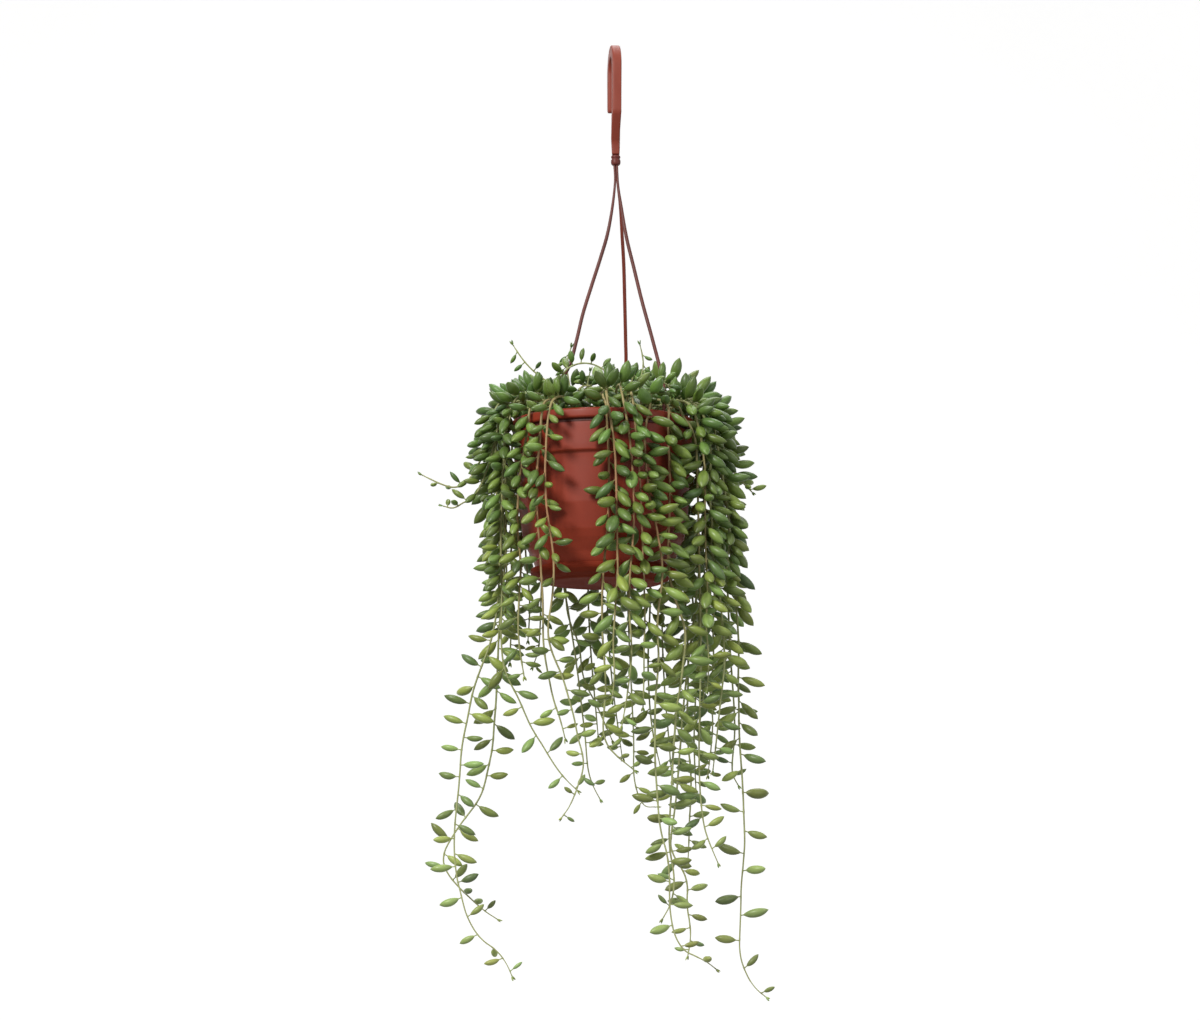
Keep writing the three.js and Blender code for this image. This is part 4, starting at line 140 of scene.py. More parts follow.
# ------------------------------------------------------------------- materials
def plastic(name, dark, mid, light, rough, painted_shade_bands=(), gloss=0.34):
    n = Nodes(name)
    v = n.coords()
    cloud = n.noise(16.0, 4.0, 0.6, 0.4, v)
    col = n.ramp(cloud, [(0.22, dark), (0.50, mid), (0.80, light)])
    # faint upright flow marks from moulding
    flow = n.noise(60.0, 3.0, 0.5, 0.0, n.coords((1.0, 1.0, 0.08)))
    col = n.mix(n.range(flow, 0.35, 0.7, 0.0, 0.16), col, light)
    fine = n.noise(900.0, 3.0, 0.6, 0.0, v)
    col = n.mix(n.range(fine, 0.62, 0.78, 0.0, 0.10), col, (0.36, 0.24, 0.20))
    # painted shade: dark bands at the given heights stand in for the shade that falls in grooves, steps and joins
    if painted_shade_bands:
        sep = n.t.nodes.new("ShaderNodeSeparateXYZ")
        tc = n.t.nodes.new("ShaderNodeTexCoord")
        n.link(tc.outputs["Object"], sep.inputs[0])
        for z0, half, amount in painted_shade_bands:
            d = n.t.nodes.new("ShaderNodeMath")
            d.operation = "SUBTRACT"
            n.link(sep.outputs[2], d.inputs[0])
            d.inputs[1].default_value = z0
            e = n.t.nodes.new("ShaderNodeMath")
            e.operation = "ABSOLUTE"
            n.link(d.outputs[0], e.inputs[0])
            band = n.range(e.outputs[0], half * 0.45, half, amount, 0.0)
            col = n.mix(band, col, srgb(46, 20, 14))
    n.link(col, n.b.inputs["Base Color"])
    n.link(n.range(n.noise(34.0, 4.0, 0.6, 0.2, v), 0.3, 0.7, rough - 0.06, rough + 0.10), n.b.inputs["Roughness"])
    n.b.inputs["IOR"].default_value = 1.48
    n.b.inputs["Specular IOR Level"].default_value = gloss
    n.b.inputs["Subsurface Weight"].default_value = 0.04
    n.b.inputs["Subsurface Radius"].default_value = (0.002, 0.0008, 0.0006)
    n.bump(n.noise(1500.0, 3.0, 0.5, 0.0, v), 0.10, 0.00018)
    return n.mat


# the pot's three painted shade bands: the groove under the lip, the wall step, and the foot where it meets the saucer
MAT_POT = plastic("pot_plastic", srgb(122, 40, 22), srgb(136, 48, 28), srgb(148, 58, 38), 0.44, ((-0.3156, 0.0020, 0.85), (-0.3412, 0.0012, 0.35), (-0.4275, 0.0016, 0.5)))
MAT_SAUCER = plastic("saucer_plastic", srgb(112, 36, 20), srgb(126, 44, 26), srgb(138, 54, 35), 0.72, (), 0.10)
MAT_HANGER = plastic("hanger_plastic", srgb(112, 48, 34), srgb(128, 55, 40), srgb(142, 66, 50), 0.44)
# painted shade: a darker copy of the hanger plastic, used for the left and right strands
MAT_STRAND_PAINTED_SHADE = plastic("strand_plastic_painted_shade", srgb(84, 44, 38), srgb(98, 52, 46), srgb(114, 62, 54), 0.46)
MAT_COLLAR = plastic("collar_plastic", srgb(84, 36, 31), srgb(98, 42, 36), srgb(112, 52, 45), 0.48)


def soil_material():
    n = Nodes("potting_soil")
    v = n.coords()
    a = n.noise(230.0, 6.0, 0.7, 0.3, v)
    col = n.ramp(a, [(0.30, srgb(26, 18, 13)), (0.5, srgb(52, 38, 27)), (0.66, srgb(78, 58, 42)), (0.82, srgb(110, 88, 66))])
    b = n.noise(900.0, 3.0, 0.6, 0.0, v)
    col = n.mix(n.range(b, 0.6, 0.75, 0.0, 0.35), col, srgb(120, 100, 80))
    n.link(col, n.b.inputs["Base Color"])
    n.b.inputs["Roughness"].default_value = 0.95
    n.b.inputs["Specular IOR Level"].default_value = 0.25
    n.bump(a, 0.7, 0.0012)
    return n.mat


MAT_SOIL = soil_material()


def crumb_material():
    n = Nodes("mineral_crumb")
    v = n.coords()
    a = n.noise(500.0, 4.0, 0.6, 0.0, v)
    col = n.ramp(a, [(0.35, srgb(120, 104, 86)), (0.7, srgb(196, 186, 170))])
    n.link(col, n.b.inputs["Base Color"])
    n.b.inputs["Roughness"].default_value = 0.9
    n.bump(a, 0.5, 0.0005)
    return n.mat


MAT_CRUMB = crumb_material()


def leaf_material():
    n = Nodes("succulent_leaf")
    att = n.t.nodes.new("ShaderNodeAttribute")
    att.attribute_name = "tone"
    v = n.coords()
    # soft mottling and a waxy bloom over each leaf's own tone
    mott = n.noise(160.0, 4.0, 0.6, 0.3, v)
    col = n.mix(n.range(mott, 0.35, 0.7, 0.0, 0.24), att.outputs["Color"], (0.58, 0.62, 0.46), "MULTIPLY")
    bloom = n.noise(420.0, 3.0, 0.6, 0.0, v)
    col = n.mix(n.range(bloom, 0.52, 0.8, 0.0, 0.13), col, srgb(158, 172, 112))
    n.link(col, n.b.inputs["Base Color"])
    n.link(n.range(bloom, 0.3, 0.7, 0.34, 0.50), n.b.inputs["Roughness"])
    n.b.inputs["IOR"].default_value = 1.45
    n.b.inputs["Subsurface Weight"].default_value = 0.12
    n.b.inputs["Subsurface Radius"].default_value = (0.0022, 0.0030, 0.0010)
    n.b.inputs["Coat Weight"].default_value = 0.18
    n.b.inputs["Coat Roughness"].default_value = 0.30
    n.bump(n.noise(700.0, 3.0, 0.5, 0.0, v), 0.12, 0.00025)
    return n.mat


MAT_LEAF = leaf_material()


def stem_material():
    n = Nodes("succulent_stem")
    att = n.t.nodes.new("ShaderNodeAttribute")
    att.attribute_name = "tone"
    v = n.coords((1.0, 1.0, 0.35))
    a = n.noise(420.0, 4.0, 0.6, 0.2, v)
    col = n.mix(n.range(a, 0.4, 0.72, 0.0, 0.35), att.outputs["Color"], (0.46, 0.34, 0.22), "MULTIPLY")
    n.link(col, n.b.inputs["Base Color"])
    n.b.inputs["Roughness"].default_value = 0.52
    n.b.inputs["IOR"].default_value = 1.45
    n.b.inputs["Subsurface Weight"].default_value = 0.08
    n.b.inputs["Subsurface Radius"].default_value = (0.0015, 0.0015, 0.0006)
    n.bump(a, 0.25, 0.0003)
    return n.mat


MAT_STEM = stem_material()


# ---------------------------------------------------------------- mesh helpers
def obj_from(name, verts, faces, mats, smooth=True, face_mat=None, tone=None, auto=None):
    """verts in mm; faces lists of indices."""
    me = bpy.data.meshes.new(name)
    me.from_pydata([tuple(float(c) * MM for c in v) for v in verts], [], [tuple(int(i) for i in f) for f in faces])
    for m in mats:
        me.materials.append(m)
    if smooth:
        me.polygons.foreach_set("use_smooth", [True] * len(me.polygons))
    if face_mat is not None:
        me.polygons.foreach_set("material_index", face_mat)
    if tone is not None:
        ca = me.color_attributes.new("tone", "FLOAT_COLOR", "POINT")
        flat = np.ones((len(verts), 4), dtype=np.float32)
        flat[:, :3] = np.asarray(tone, dtype=np.float32)
        ca.data.foreach_set("color", flat.ravel())
    me.update()
    me.validate()
    ob = bpy.data.objects.new(name, me)
    scene.collection.objects.link(ob)
    if auto is not None:
        mod = ob.modifiers.new("edges", "EDGE_SPLIT")
        mod.split_angle = math.radians(auto)
    return ob


def fillet(points, radius, steps=4, closed=True):
    """Round the corners of a polyline of (r, z) points."""
    n = len(points)
    out = []
    for i, p in enumerate(points):
        if not closed and i in (0, n - 1) or p[0] < 1e-6:
            out.append(tuple(p))
            continue
        a, b, c = (Vector((*points[i - 1], 0)), Vector((*p, 0)), Vector((*points[(i + 1) % n], 0)))
        u, v = a - b, c - b
        r = min(radius, 0.42 * u.length, 0.42 * v.length)
        if u.length < 1e-6 or v.length < 1e-6 or u.angle(v) > math.radians(176):
            out.append(tuple(p))
            continue
        s, e = b + u.normalized() * r, b + v.normalized() * r
        for k in range(steps + 1):
            t = k / steps
            q = s * (1 - t) ** 2 + b * 2 * t * (1 - t) + e * t * t
            out.append((q.x, q.y))
    return out


def lathe(profile, n, cx=0.0, cy=0.0, closed=True, wobble=None):
    verts, rows, faces = [], [], []
    for r, z in profile:
        if r < 1e-6:
            rows.append([len(verts)])
            verts.append((cx, cy, z))
            continue
        row = []
        for i in range(n):
            a = 2 * math.pi * i / n
            rr = r + (wobble(a, r, z) if wobble else 0.0)
            row.append(len(verts))
            verts.append((cx + rr * math.cos(a), cy + rr * math.sin(a), z))
        rows.append(row)
    m = len(rows)
    for k in range(m if closed else m - 1):
        A, B = rows[k], rows[(k + 1) % m]
        for i in range(n):
            j = (i + 1) % n
            if len(A) == 1 and len(B) == 1:
                continue
            if len(A) == 1:
                faces.append((A[0], B[j], B[i]))
            elif len(B) == 1:
                faces.append((A[i], A[j], B[0]))
            else:
                faces.append((A[i], A[j], B[j], B[i]))
    return verts, faces


def recalc(ob, inside=False):
    import bmesh
    bm = bmesh.new()
    bm.from_mesh(ob.data)
    bmesh.ops.recalc_face_normals(bm, faces=bm.faces)
    bm.to_mesh(ob.data)
    bm.free()


def stand_for(ob, node):
    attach(ob, "root")
    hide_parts(node)


def catmull(P, per):
    P = [np.asarray(p, float) for p in P]
    Q = [2 * P[0] - P[1]] + P + [2 * P[-1] - P[-2]]
    out = []
    for i in range(1, len(Q) - 2):
        p0, p1, p2, p3 = Q[i - 1:i + 3]
        for k in range(per):
            t = k / per
            out.append(0.5 * (2 * p1 + (-p0 + p2) * t + (2 * p0 - 5 * p1 + 4 * p2 - p3) * t * t + (-p0 + 3 * p1 - 3 * p2 + p3) * t ** 3))
    out.append(P[-1])
    return out


def tube(path, radii, n, cap=True):
    """Round tube along a path, parallel-transported section."""
    verts, faces = [], []
    path = [np.asarray(p, float) for p in path]
    u = None
    for k, p in enumerate(path):
        t = path[min(k + 1, len(path) - 1)] - path[max(k - 1, 0)]
        t = t / max(np.linalg.norm(t), 1e-9)
        if u is None:
            u = np.array([1.0, 0, 0]) if abs(t[2]) > 0.9 else np.array([0, 0, 1.0])
        u = u - t * u.dot(t)
        u /= np.linalg.norm(u)
        v = np.cross(t, u)
        for j in range(n):
            a = 2 * math.pi * j / n
            verts.append(p + radii[k] * (u * math.cos(a) + v * math.sin(a)))
    for k in range(len(path) - 1):
        for j in range(n):
            a, b = k * n + j, k * n + (j + 1) % n
            faces.append((a, b, b + n, a + n))
    if cap:
        faces.append(tuple(range(n - 1, -1, -1)))
        faces.append(tuple((len(path) - 1) * n + j for j in range(n)))
    return verts, faces


# ------------------------------------------------------------------------- pot
def make_pot():
    Z = RIM_Z
    outer = [(71.2, Z), (73.4, Z), (75.0, Z - 1.4), (75.0, Z - 7.0), (73.9, Z - 8.2), (71.7, Z - 8.6), (71.7, Z - 10.2),
             (72.5, Z - 11.0), (72.5, -339.2), (70.2, -341.0), (68.4, -380.0), (65.4, -401.0), (63.2, -407.5),
             (60.4, -413.0), (57.6, -418.0), (56.0, -423.0), (54.4, -428.0), (52.0, -432.0), (48.6, -434.5), (0.0, -434.5),
             (0.0, -432.3), (48.0, -432.3), (50.4, -430.6), (52.5, -427.0), (58.4, -412.6), (63.3, -400.6), (66.4, -379.8),
             (68.2, -341.6), (70.5, -338.6), (70.5, Z - 3.0)]
    prof = fillet(outer, 0.9, 4)
    # extra rows on the long plain stretches keep the wall's slight moulding wave
    dense = []
    for i, p in enumerate(prof):
        q = prof[(i + 1) % len(prof)]
        dense.append(p)
        d = math.hypot(q[0] - p[0], q[1] - p[1])
        if d > 8 and p[0] > 1 and q[0] > 1:
            m = int(d // 5)
            for k in range(1, m):
                dense.append((p[0] + (q[0] - p[0]) * k / m, p[1] + (q[1] - p[1]) * k / m))

    def wave(a, r, z):
        if r < 60 or z > RIM_Z - 12:
            return 0.0
        return 0.10 * noise.noise(Vector((math.cos(a) * 1.6, math.sin(a) * 1.6, z * 0.02)))

    verts, faces = lathe(dense, 160, POT_X, 0.0, True, wave)
    ob = obj_from("pot_body", verts, faces, [MAT_POT])
    recalc(ob)
    ob.data.polygons.foreach_set("use_smooth", [True] * len(ob.data.polygons))
    stand_for(ob, "pot")
    # the three slotted ears that take the strands
    for k, az in enumerate(EAR_AZ):
        s, c = math.sin(math.radians(az)), math.cos(math.radians(az))
        pts = [(-6, 71.0), (-6, 60.6)]
        for i in range(7):
            a = math.pi + (math.pi / 2) * i / 6
            pts.append((-3.4 + 2.6 * math.cos(a), 59.6 + 2.6 * math.sin(a)))
        for i in range(7):
            a = 1.5 * math.pi + (math.pi / 2) * i / 6
            pts.append((3.4 + 2.6 * math.cos(a), 59.6 + 2.6 * math.sin(a)))
        pts += [(6, 60.6), (6, 71.0)]
        hole = [(1.9 * math.cos(-2 * math.pi * i / 24), EAR_R + 1.9 * math.sin(-2 * math.pi * i / 24)) for i in range(24)]
        # slab with a round slot: curve with two splines, turned to mesh
        cu = bpy.data.curves.new("ear", "CURVE")
        cu.dimensions = "2D"
        cu.fill_mode = "BOTH"
        for loop in (pts, hole):
            sp = cu.splines.new("POLY")
            sp.points.add(len(loop) - 1)
            for q, (x, y) in zip(sp.points, loop):
                q.co = (x * MM, y * MM, 0, 1)
            sp.use_cyclic_u = True
        cu.extrude = 0.95 * MM
        cu.bevel_depth = 0.3 * MM
        cu.offset = -0.3 * MM
        cu.bevel_resolution = 2
        tmp = bpy.data.objects.new("ear", cu)
        scene.collection.objects.link(tmp)
        dg = bpy.context.evaluated_depsgraph_get()
        me = bpy.data.meshes.new_from_object(tmp.evaluated_get(dg))
        bpy.data.objects.remove(tmp)
        ear = bpy.data.objects.new("pot_ear_%d" % (k + 1), me)
        scene.collection.objects.link(ear)
        ang = math.atan2(c, s) - math.pi / 2
        me.transform(Matrix.Translation((POT_X * MM, 0, -308.45 * MM)) @ Matrix.Rotation(ang, 4, "Z"))
        me.materials.clear()
        me.materials.append(MAT_POT)
        recalc(ear)
        stand_for(ear, "pot")


def make_saucer():
    prof = [(0, -435.0), (49.6, -435.0), (53.6, -433.2), (56.4, -430.0), (57.5, -426.8), (58.7, -426.6), (59.2, -427.4), (59.2, -429.6),
            (58.4, -431.2), (54.0, -434.4), (48.6, -436.4), (47.6, -437.3), (46.0, -438.0), (0, -438.0)]
    verts, faces = lathe(fillet(prof, 0.7, 4, closed=False), 144, POT_X, 0.0, False)
    ob = obj_from("saucer_dish", verts, faces, [MAT_SAUCER])
    recalc(ob)
    stand_for(ob, "saucer")


def make_soil():
    prof = [(0, SOIL_Z)] + [(2.4 * i, SOIL_Z) for i in range(1, 29)] + [(69.4, SOIL_Z - 1.0), (69.6, SOIL_Z - 4), (69.6, -338.8), (67.4, -342.2),
            (65.6, -380.2), (62.6, -400.2), (57.4, -412.4), (51.4, -426.6), (47.6, -431.6), (0, -431.6)]
    verts, faces = lathe(prof, 120, POT_X, 0.0, False)
    out = []
    for x, y, z in verts:
        r = math.hypot(x - POT_X, y)
        if z > SOIL_Z - 0.5:
            h = 1.1 * noise.fractal(Vector((x * 0.16, y * 0.16, 3.1)), 0.9, 2.1, 5) + 0.5 * noise.noise(Vector((x * 0.9, y * 0.9, 7.0)))
            z = SOIL_Z - 0.3 + max(-1.8, min(0.9, h))
            if r < 2.0:
                z = SOIL_Z - 0.3
        out.append((x, y, z))
    ob = obj_from("soil_fill", out, faces, [MAT_SOIL])
    recalc(ob)
    stand_for(ob, "soil")
    # crumbs of bark and mineral grit lying on it
    rng = random.Random(5)
    V, F, FM = [], [], []
    phi = (1 + 5 ** 0.5) / 2
    ico = [(-1, phi, 0), (1, phi, 0), (-1, -phi, 0), (1, -phi, 0), (0, -1, phi), (0, 1, phi), (0, -1, -phi), (0, 1, -phi), (phi, 0, -1), (phi, 0, 1), (-phi, 0, -1), (-phi, 0, 1)]
    icf = [(0, 11, 5), (0, 5, 1), (0, 1, 7), (0, 7, 10), (0, 10, 11), (1, 5, 9), (5, 11, 4), (11, 10, 2), (10, 7, 6), (7, 1, 8), (3, 9, 4), (3, 4, 2), (3, 2, 6), (3, 6, 8), (3, 8, 9), (4, 9, 5), (2, 4, 11), (6, 2, 10), (8, 6, 7), (9, 8, 1)]
    for _ in range(520):
        r = 66 * math.sqrt(rng.random())
        a = rng.uniform(0, 2 * math.pi)
        s = rng.uniform(0.35, 1.15)
        base = len(V)
        sc = (s * rng.uniform(0.7, 1.3), s * rng.uniform(0.7, 1.3), s * rng.uniform(0.5, 0.9))
        rot = Matrix.Rotation(rng.uniform(0, 6.28), 3, "Z") @ Matrix.Rotation(rng.uniform(-0.5, 0.5), 3, "X")
        for q in ico:
            w = rot @ Vector((q[0] * sc[0] * 0.53 * rng.uniform(0.8, 1.2), q[1] * sc[1] * 0.53 * rng.uniform(0.8, 1.2), q[2] * sc[2] * 0.53))
            V.append((POT_X + r * math.cos(a) + w.x, r * math.sin(a) + w.y, SOIL_Z + 0.1 + w.z))
        m = 1 if rng.random() < 0.22 else 0
        for f in icf:
            F.append(tuple(base + i for i in f))
            FM.append(m)
    cr = obj_from("soil_crumbs", V, F, [MAT_SOIL, MAT_CRUMB], smooth=False, face_mat=FM)
    stand_for(cr, "soil")


# ---------------------------------------------------------------------- hanger
def make_hook():
    T, ri, W = 7.4, 11.0, 9.0
    ro, cz = ri + W - 1, -ri
    p = [(ri + 0.6, -41.2), (ri + 1.8, -42.9), (ri + 3.4, -43.4), (ri + 5.6, -42.7), (ri + 6.9, -41.2), (ri + 7.2, -39)]
    for i in range(41):
        a = math.pi * i / 40
        p.append((ro * math.cos(a), cz + (ro + 2 * math.sin(a)) * math.sin(a)))
    p += [(-ro, -48.6), (-ro + 0.4, -51.0), (-ro + 1.5, -53.0), (-5.0, -70.6), (-4.0, -73.0), (-3.6, -75.6), (-3.4, -82.7)]
    p += [(3.4, -82.7), (3.6, -75.0), (3.3, -72.0), (2.2, -69.4), (-8.4, -53.6), (-9.8, -51.2), (-10.6, -49.0), (-ri, -46)]
    seat = 2.6
    a0 = math.acos(seat / ri)
    k = ri / (ri * math.sin(a0))
    for i in range(15):
        a = math.pi - a0 * i / 14
        p.append((ri * math.cos(a), 0.0 if i == 14 else (cz if i == 0 else cz + ri * math.sin(a) * k)))
    for i in range(15):
        a = a0 - a0 * i / 14
        p.append((ri * math.cos(a), 0.0 if i == 0 else (cz if i == 14 else cz + ri * math.sin(a) * k)))
    n = len(p)
    verts = [(-T / 2, y, z) for y, z in p] + [(T / 2, y, z) for y, z in p]
    faces = [tuple(range(n)), tuple(range(2 * n - 1, n - 1, -1))] + [(i, i + n, (i + 1) % n + n, (i + 1) % n) for i in range(n)]
    skew = math.tan(math.radians(7))
    verts = [(x * (1 - 0.14 * min(1.0, max(0.0, (-60 - z) / 22))) - skew * (y + 9) * min(1.0, max(0.0, (z + 73) / 24)), y, z) for x, y, z in verts]
    ob = obj_from("hook_body", verts, faces, [MAT_HANGER])
    recalc(ob)
    b = ob.modifiers.new("round", "BEVEL")
    b.width = 1.15 * MM
    b.segments = 4
    b.limit_method = "ANGLE"
    b.angle_limit = math.radians(50)
    b.harden_normals = False
    w = ob.modifiers.new("weigh", "WEIGHTED_NORMAL")
    w.keep_sharp = False
    stand_for(ob, "hook")


def make_collar():
    t, b = -83.0, -91.5
    prof = [(0, t), (3.0, t), (3.75, t - 0.8), (3.9, t - 2.0), (3.3, t - 2.7), (3.3, t - 3.5), (3.9, t - 4.1), (3.95, t - 5.5), (3.9, b + 1.4), (3.0, b), (0, b)]
    verts, faces = lathe(fillet(prof, 0.5, 4, closed=False), 64, 0.0, 0.0, False)
    ob = obj_from("collar_body", verts, faces, [MAT_COLLAR])
    recalc(ob)
    stand_for(ob, "hanger_collar")


STRANDS = {
    "strand_left": ((-1.18, -0.46, -90.6), (-0.62, -1.21, -105.78), (-2.78, -2.74, -127.22), (-6.82, -4.88, -150.4), (-12.8, -6.98, -171.81), (-19.89, -9.35, -194.85), (-26.79, -11.84, -218.23), (-32.11, -14.39, -241.51), (-37.82, -16.75, -262.59), (-47, -18.8, -277), (-57.4, -20.9, -290.5), (-65.2, -21.9, -298.5), (-67.88, -22.22, -303.5)),
    "strand_back": ((0.2, 1.28, -90.6), (1.54, 3.65, -106.23), (3.69, 7.56, -124.68), (5.45, 14.58, -150.02), (6.72, 20.91, -171.36), (7.58, 30.23, -201.42), (8.29, 39.39, -229.96), (8.49, 46.17, -250.61), (5.6, 55.4, -279), (2, 60, -294), (-0.3, 61.24, -303.5)),
    "strand_right": ((1, -0.82, -90.6), (2, -2.53, -109.49), (4.59, -4.82, -127.73), (8.62, -9, -153.89), (14.26, -13.33, -179.09), (21.29, -18.94, -210.2), (29.54, -25.1, -242.82), (36.76, -31.1, -273.51), (38.4, -37.8, -290), (38.18, -39.02, -303.5)),
}


def make_strands():
    for (name, pts), az in zip(STRANDS.items(), EAR_AZ):
        s, c = math.sin(math.radians(az)), math.cos(math.radians(az))
        ex, ey = POT_X + EAR_R * s, EAR_R * c
        path = catmull(pts, 10)
        radii = []
        for q in path:
            z = q[2]
            radii.append(0.92 + 0.56 * min(1.0, max(0.0, (-104 - z) / 50.0)))
        top = -307.2
        for dz, r in ((3.1, 1.35), (2.7, 1.9), (2.2, 2.5), (1.6, 2.65), (0.8, 2.65), (0.35, 2.5), (0.3, 1.5), (0.0, 1.35), (-2.8, 1.35), (-2.85, 2.3), (-3.2, 2.5), (-4.2, 2.2), (-5.4, 1.6), (-6.1, 0.9)):
            path.append(np.array((ex, ey, top + dz)))
            radii.append(r)
        verts, faces = tube(path, radii, 16)
        # the left and right strands take the darker painted shade copy; the back strand keeps the hanger plastic
        ob = obj_from(name.replace("strand", "hanger_strand"), verts, faces, [MAT_HANGER if name == "strand_back" else MAT_STRAND_PAINTED_SHADE])
        recalc(ob)
        stand_for(ob, name)


# ---------------------------------------------------------------------- shoots
LEAF_PROFILE = ((0.0, 0.13), (0.035, 0.24), (0.09, 0.43), (0.17, 0.65), (0.27, 0.84), (0.38, 0.955), (0.50, 1.0), (0.62, 0.965),
                (0.73, 0.86), (0.82, 0.70), (0.89, 0.51), (0.945, 0.31), (0.985, 0.13))
LEAF_SIDES = 12


def tone_for(z, rng, crown):
    """Leaf colour by height: deep green in the crown, yellower lower down."""
    t = max(0.0, min(1.0, (-300.0 - z) / 440.0))
    top, mid, low = np.array(srgb(92, 119, 52)), np.array(srgb(132, 152, 76)), np.array(srgb(151, 167, 98))
    c = top + (mid - top) * min(1.0, t * 2.4) if t < 0.42 else mid + (low - mid) * ((t - 0.42) / 0.58)
    k = rng.uniform(0.60, 1.36)
    w = rng.uniform(-1.0, 1.0)
    c = c * k * np.array([1 + 0.14 * w, 1.0, 1 - 0.16 * w])
    if rng.random() < 0.10:
        c = c * 0.6 + 0.4 * np.array(srgb(56, 80, 58))
    if rng.random() < 0.08:
        c = c * 0.7 + 0.3 * np.array(srgb(150, 160, 84))
    return np.clip(c, 0.005, 0.9)


def leaf_mesh(V, F, TN, p, d, stalk, length, width, col, rng, stem_col):
    d = d / np.linalg.norm(d)
    up = np.array([0, 0, 1.0])
    side = np.cross(d, up)
    if np.linalg.norm(side) < 0.2:
        side = np.cross(d, np.array([1.0, 0, 0]))
    side /= np.linalg.norm(side)
    n = np.cross(side, d)
    bend = rng.uniform(-0.05, 0.13)
    flat = rng.uniform(0.82, 0.94)
    n0 = len(V)
    rows = []
    # stalk: from inside the stem to the foot of the blade
    st = 0.5
    for s, r in ((-0.2, 0.62), (stalk * 0.5, 0.48), (stalk * 0.92, 0.52)):
        rows.append((p + d * s, r, r, stem_col * 0.55 + col * 0.45))
    hw = width / 2.0
    for f, k in LEAF_PROFILE:
        c = p + d * (stalk + f * length) + n * (bend * length * (f * f - 0.15 * f))
        shade = 0.90 + 0.16 * math.sin(math.pi * f)
        cc = col * shade
        if f < 0.16:
            cc = cc * (f / 0.16) + (stem_col * 0.4 + col * 0.6) * (1 - f / 0.16)
        rows.append((c, hw * k, hw * k * flat, cc))
    for c, rs, rn, cc in rows:
        for j in range(LEAF_SIDES):
            a = 2 * math.pi * j / LEAF_SIDES
            cs, sn = math.cos(a), math.sin(a)
            q = c + side * rs * cs + n * rn * (sn if sn < 0 else sn * 0.9)
            # a shallow window groove along the top, its colour darkened as painted shade
            if sn > 0.9 and rn > 0.4 * hw:
                q = q - n * 0.10 * rn
                TN.append(cc * 0.84)
            else:
                # painted light and shade: the upper side 10% lighter, the underside 10% darker
                TN.append(cc * (1.0 + 0.10 * sn))
            V.append(q)
    tip = p + d * (stalk + length * 1.02) + n * (bend * length * 0.87)
    V.append(tip)
    TN.append(col * np.array([1.06, 0.86, 0.80]))
    R = len(rows)
    for k in range(R - 1):
        for j in range(LEAF_SIDES):
            a, b = n0 + k * LEAF_SIDES + j, n0 + k * LEAF_SIDES + (j + 1) % LEAF_SIDES
            F.append((a, a + LEAF_SIDES, b + LEAF_SIDES, b))
    last = n0 + (R - 1) * LEAF_SIDES
    for j in range(LEAF_SIDES):
        F.append((last + j, len(V) - 1, last + (j + 1) % LEAF_SIDES))
    F.append(tuple(n0 + j for j in range(LEAF_SIDES)))


def make_shoot(name, flat, leaves, rng):
    P = [np.array(flat[i:i + 3], float) for i in range(0, len(flat), 3)]
    per = 4
    path = catmull(P, per)
    crown = name.startswith("crown")
    total = (len(P) - 1)
    ends = [l[0] for l in leaves]

    def at(x):
        x = min(max(x * per, 0.0), len(path) - 1.001)
        i = int(x)
        return path[i] + (path[i + 1] - path[i]) * (x - i)

    r0 = rng.uniform(0.92, 1.08) if not crown else 0.85
    radii, tones = [], []
    L = len(path)
    for k, q in enumerate(path):
        f = k / (L - 1)
        swell = max((0.20 * max(0.0, 1 - abs(x * per - k) / 0.55) for x in ends), default=0.0)
        radii.append((r0 * (1 - 0.42 * f ** 1.6) + swell) * (1.0 if f < 0.97 else 0.8))
        z = q[2]
        near = math.exp(-(((z + 380.0) / 85.0) ** 2)) * min(1.0, max(0.12, (-q[1] - 34.0) / 26.0))
        tan, pale, green = np.array(srgb(176, 130, 92)), np.array(srgb(176, 182, 126)), np.array(srgb(128, 142, 84))
        t = max(0.0, min(1.0, (-470.0 - z) / 250.0))
        c = tan * near + (pale * (0.55 + 0.45 * t) + green * (0.45 - 0.45 * t)) * (1 - near)
        c = c * (0.94 + 0.12 * noise.noise(Vector(q * 0.05)))
        tones.append(np.clip(c, 0.01, 0.9))
    verts, faces = tube(path, radii, 8)
    tn = np.repeat(np.array(tones), 8, axis=0)
    stem = obj_from(name + "_stem", verts, faces, [MAT_STEM], tone=tn)
    stand_for(stem, name)
    V, F, TN = [], [], []
    for x, az, el, stalk, length, width in leaves:
        p = at(x)
        a, e = math.radians(az), math.radians(el)
        d = np.array([math.cos(e) * math.cos(a), math.cos(e) * math.sin(a), math.sin(e)])
        sc = tones[min(L - 1, int(x * per))]
        leaf_mesh(V, F, TN, p, d, stalk, length, width, tone_for(p[2], rng, crown), rng, sc)
    # growing tip: two folded young leaves
    t = path[-1] - path[-3]
    t /= max(np.linalg.norm(t), 1e-6)
    for s in (-1, 1):
        d = t + s * 0.35 * np.array([0.6, 0.5, 0.2])
        leaf_mesh(V, F, TN, path[-1] - t * 0.8, d, 0.8, rng.uniform(3.6, 5.2), rng.uniform(1.3, 1.9), tone_for(path[-1][2], rng, crown) * 1.1, rng, tones[-1])
    lv = obj_from(name + "_leaves", V, F, [MAT_LEAF], tone=np.array(TN))
    stand_for(lv, name)


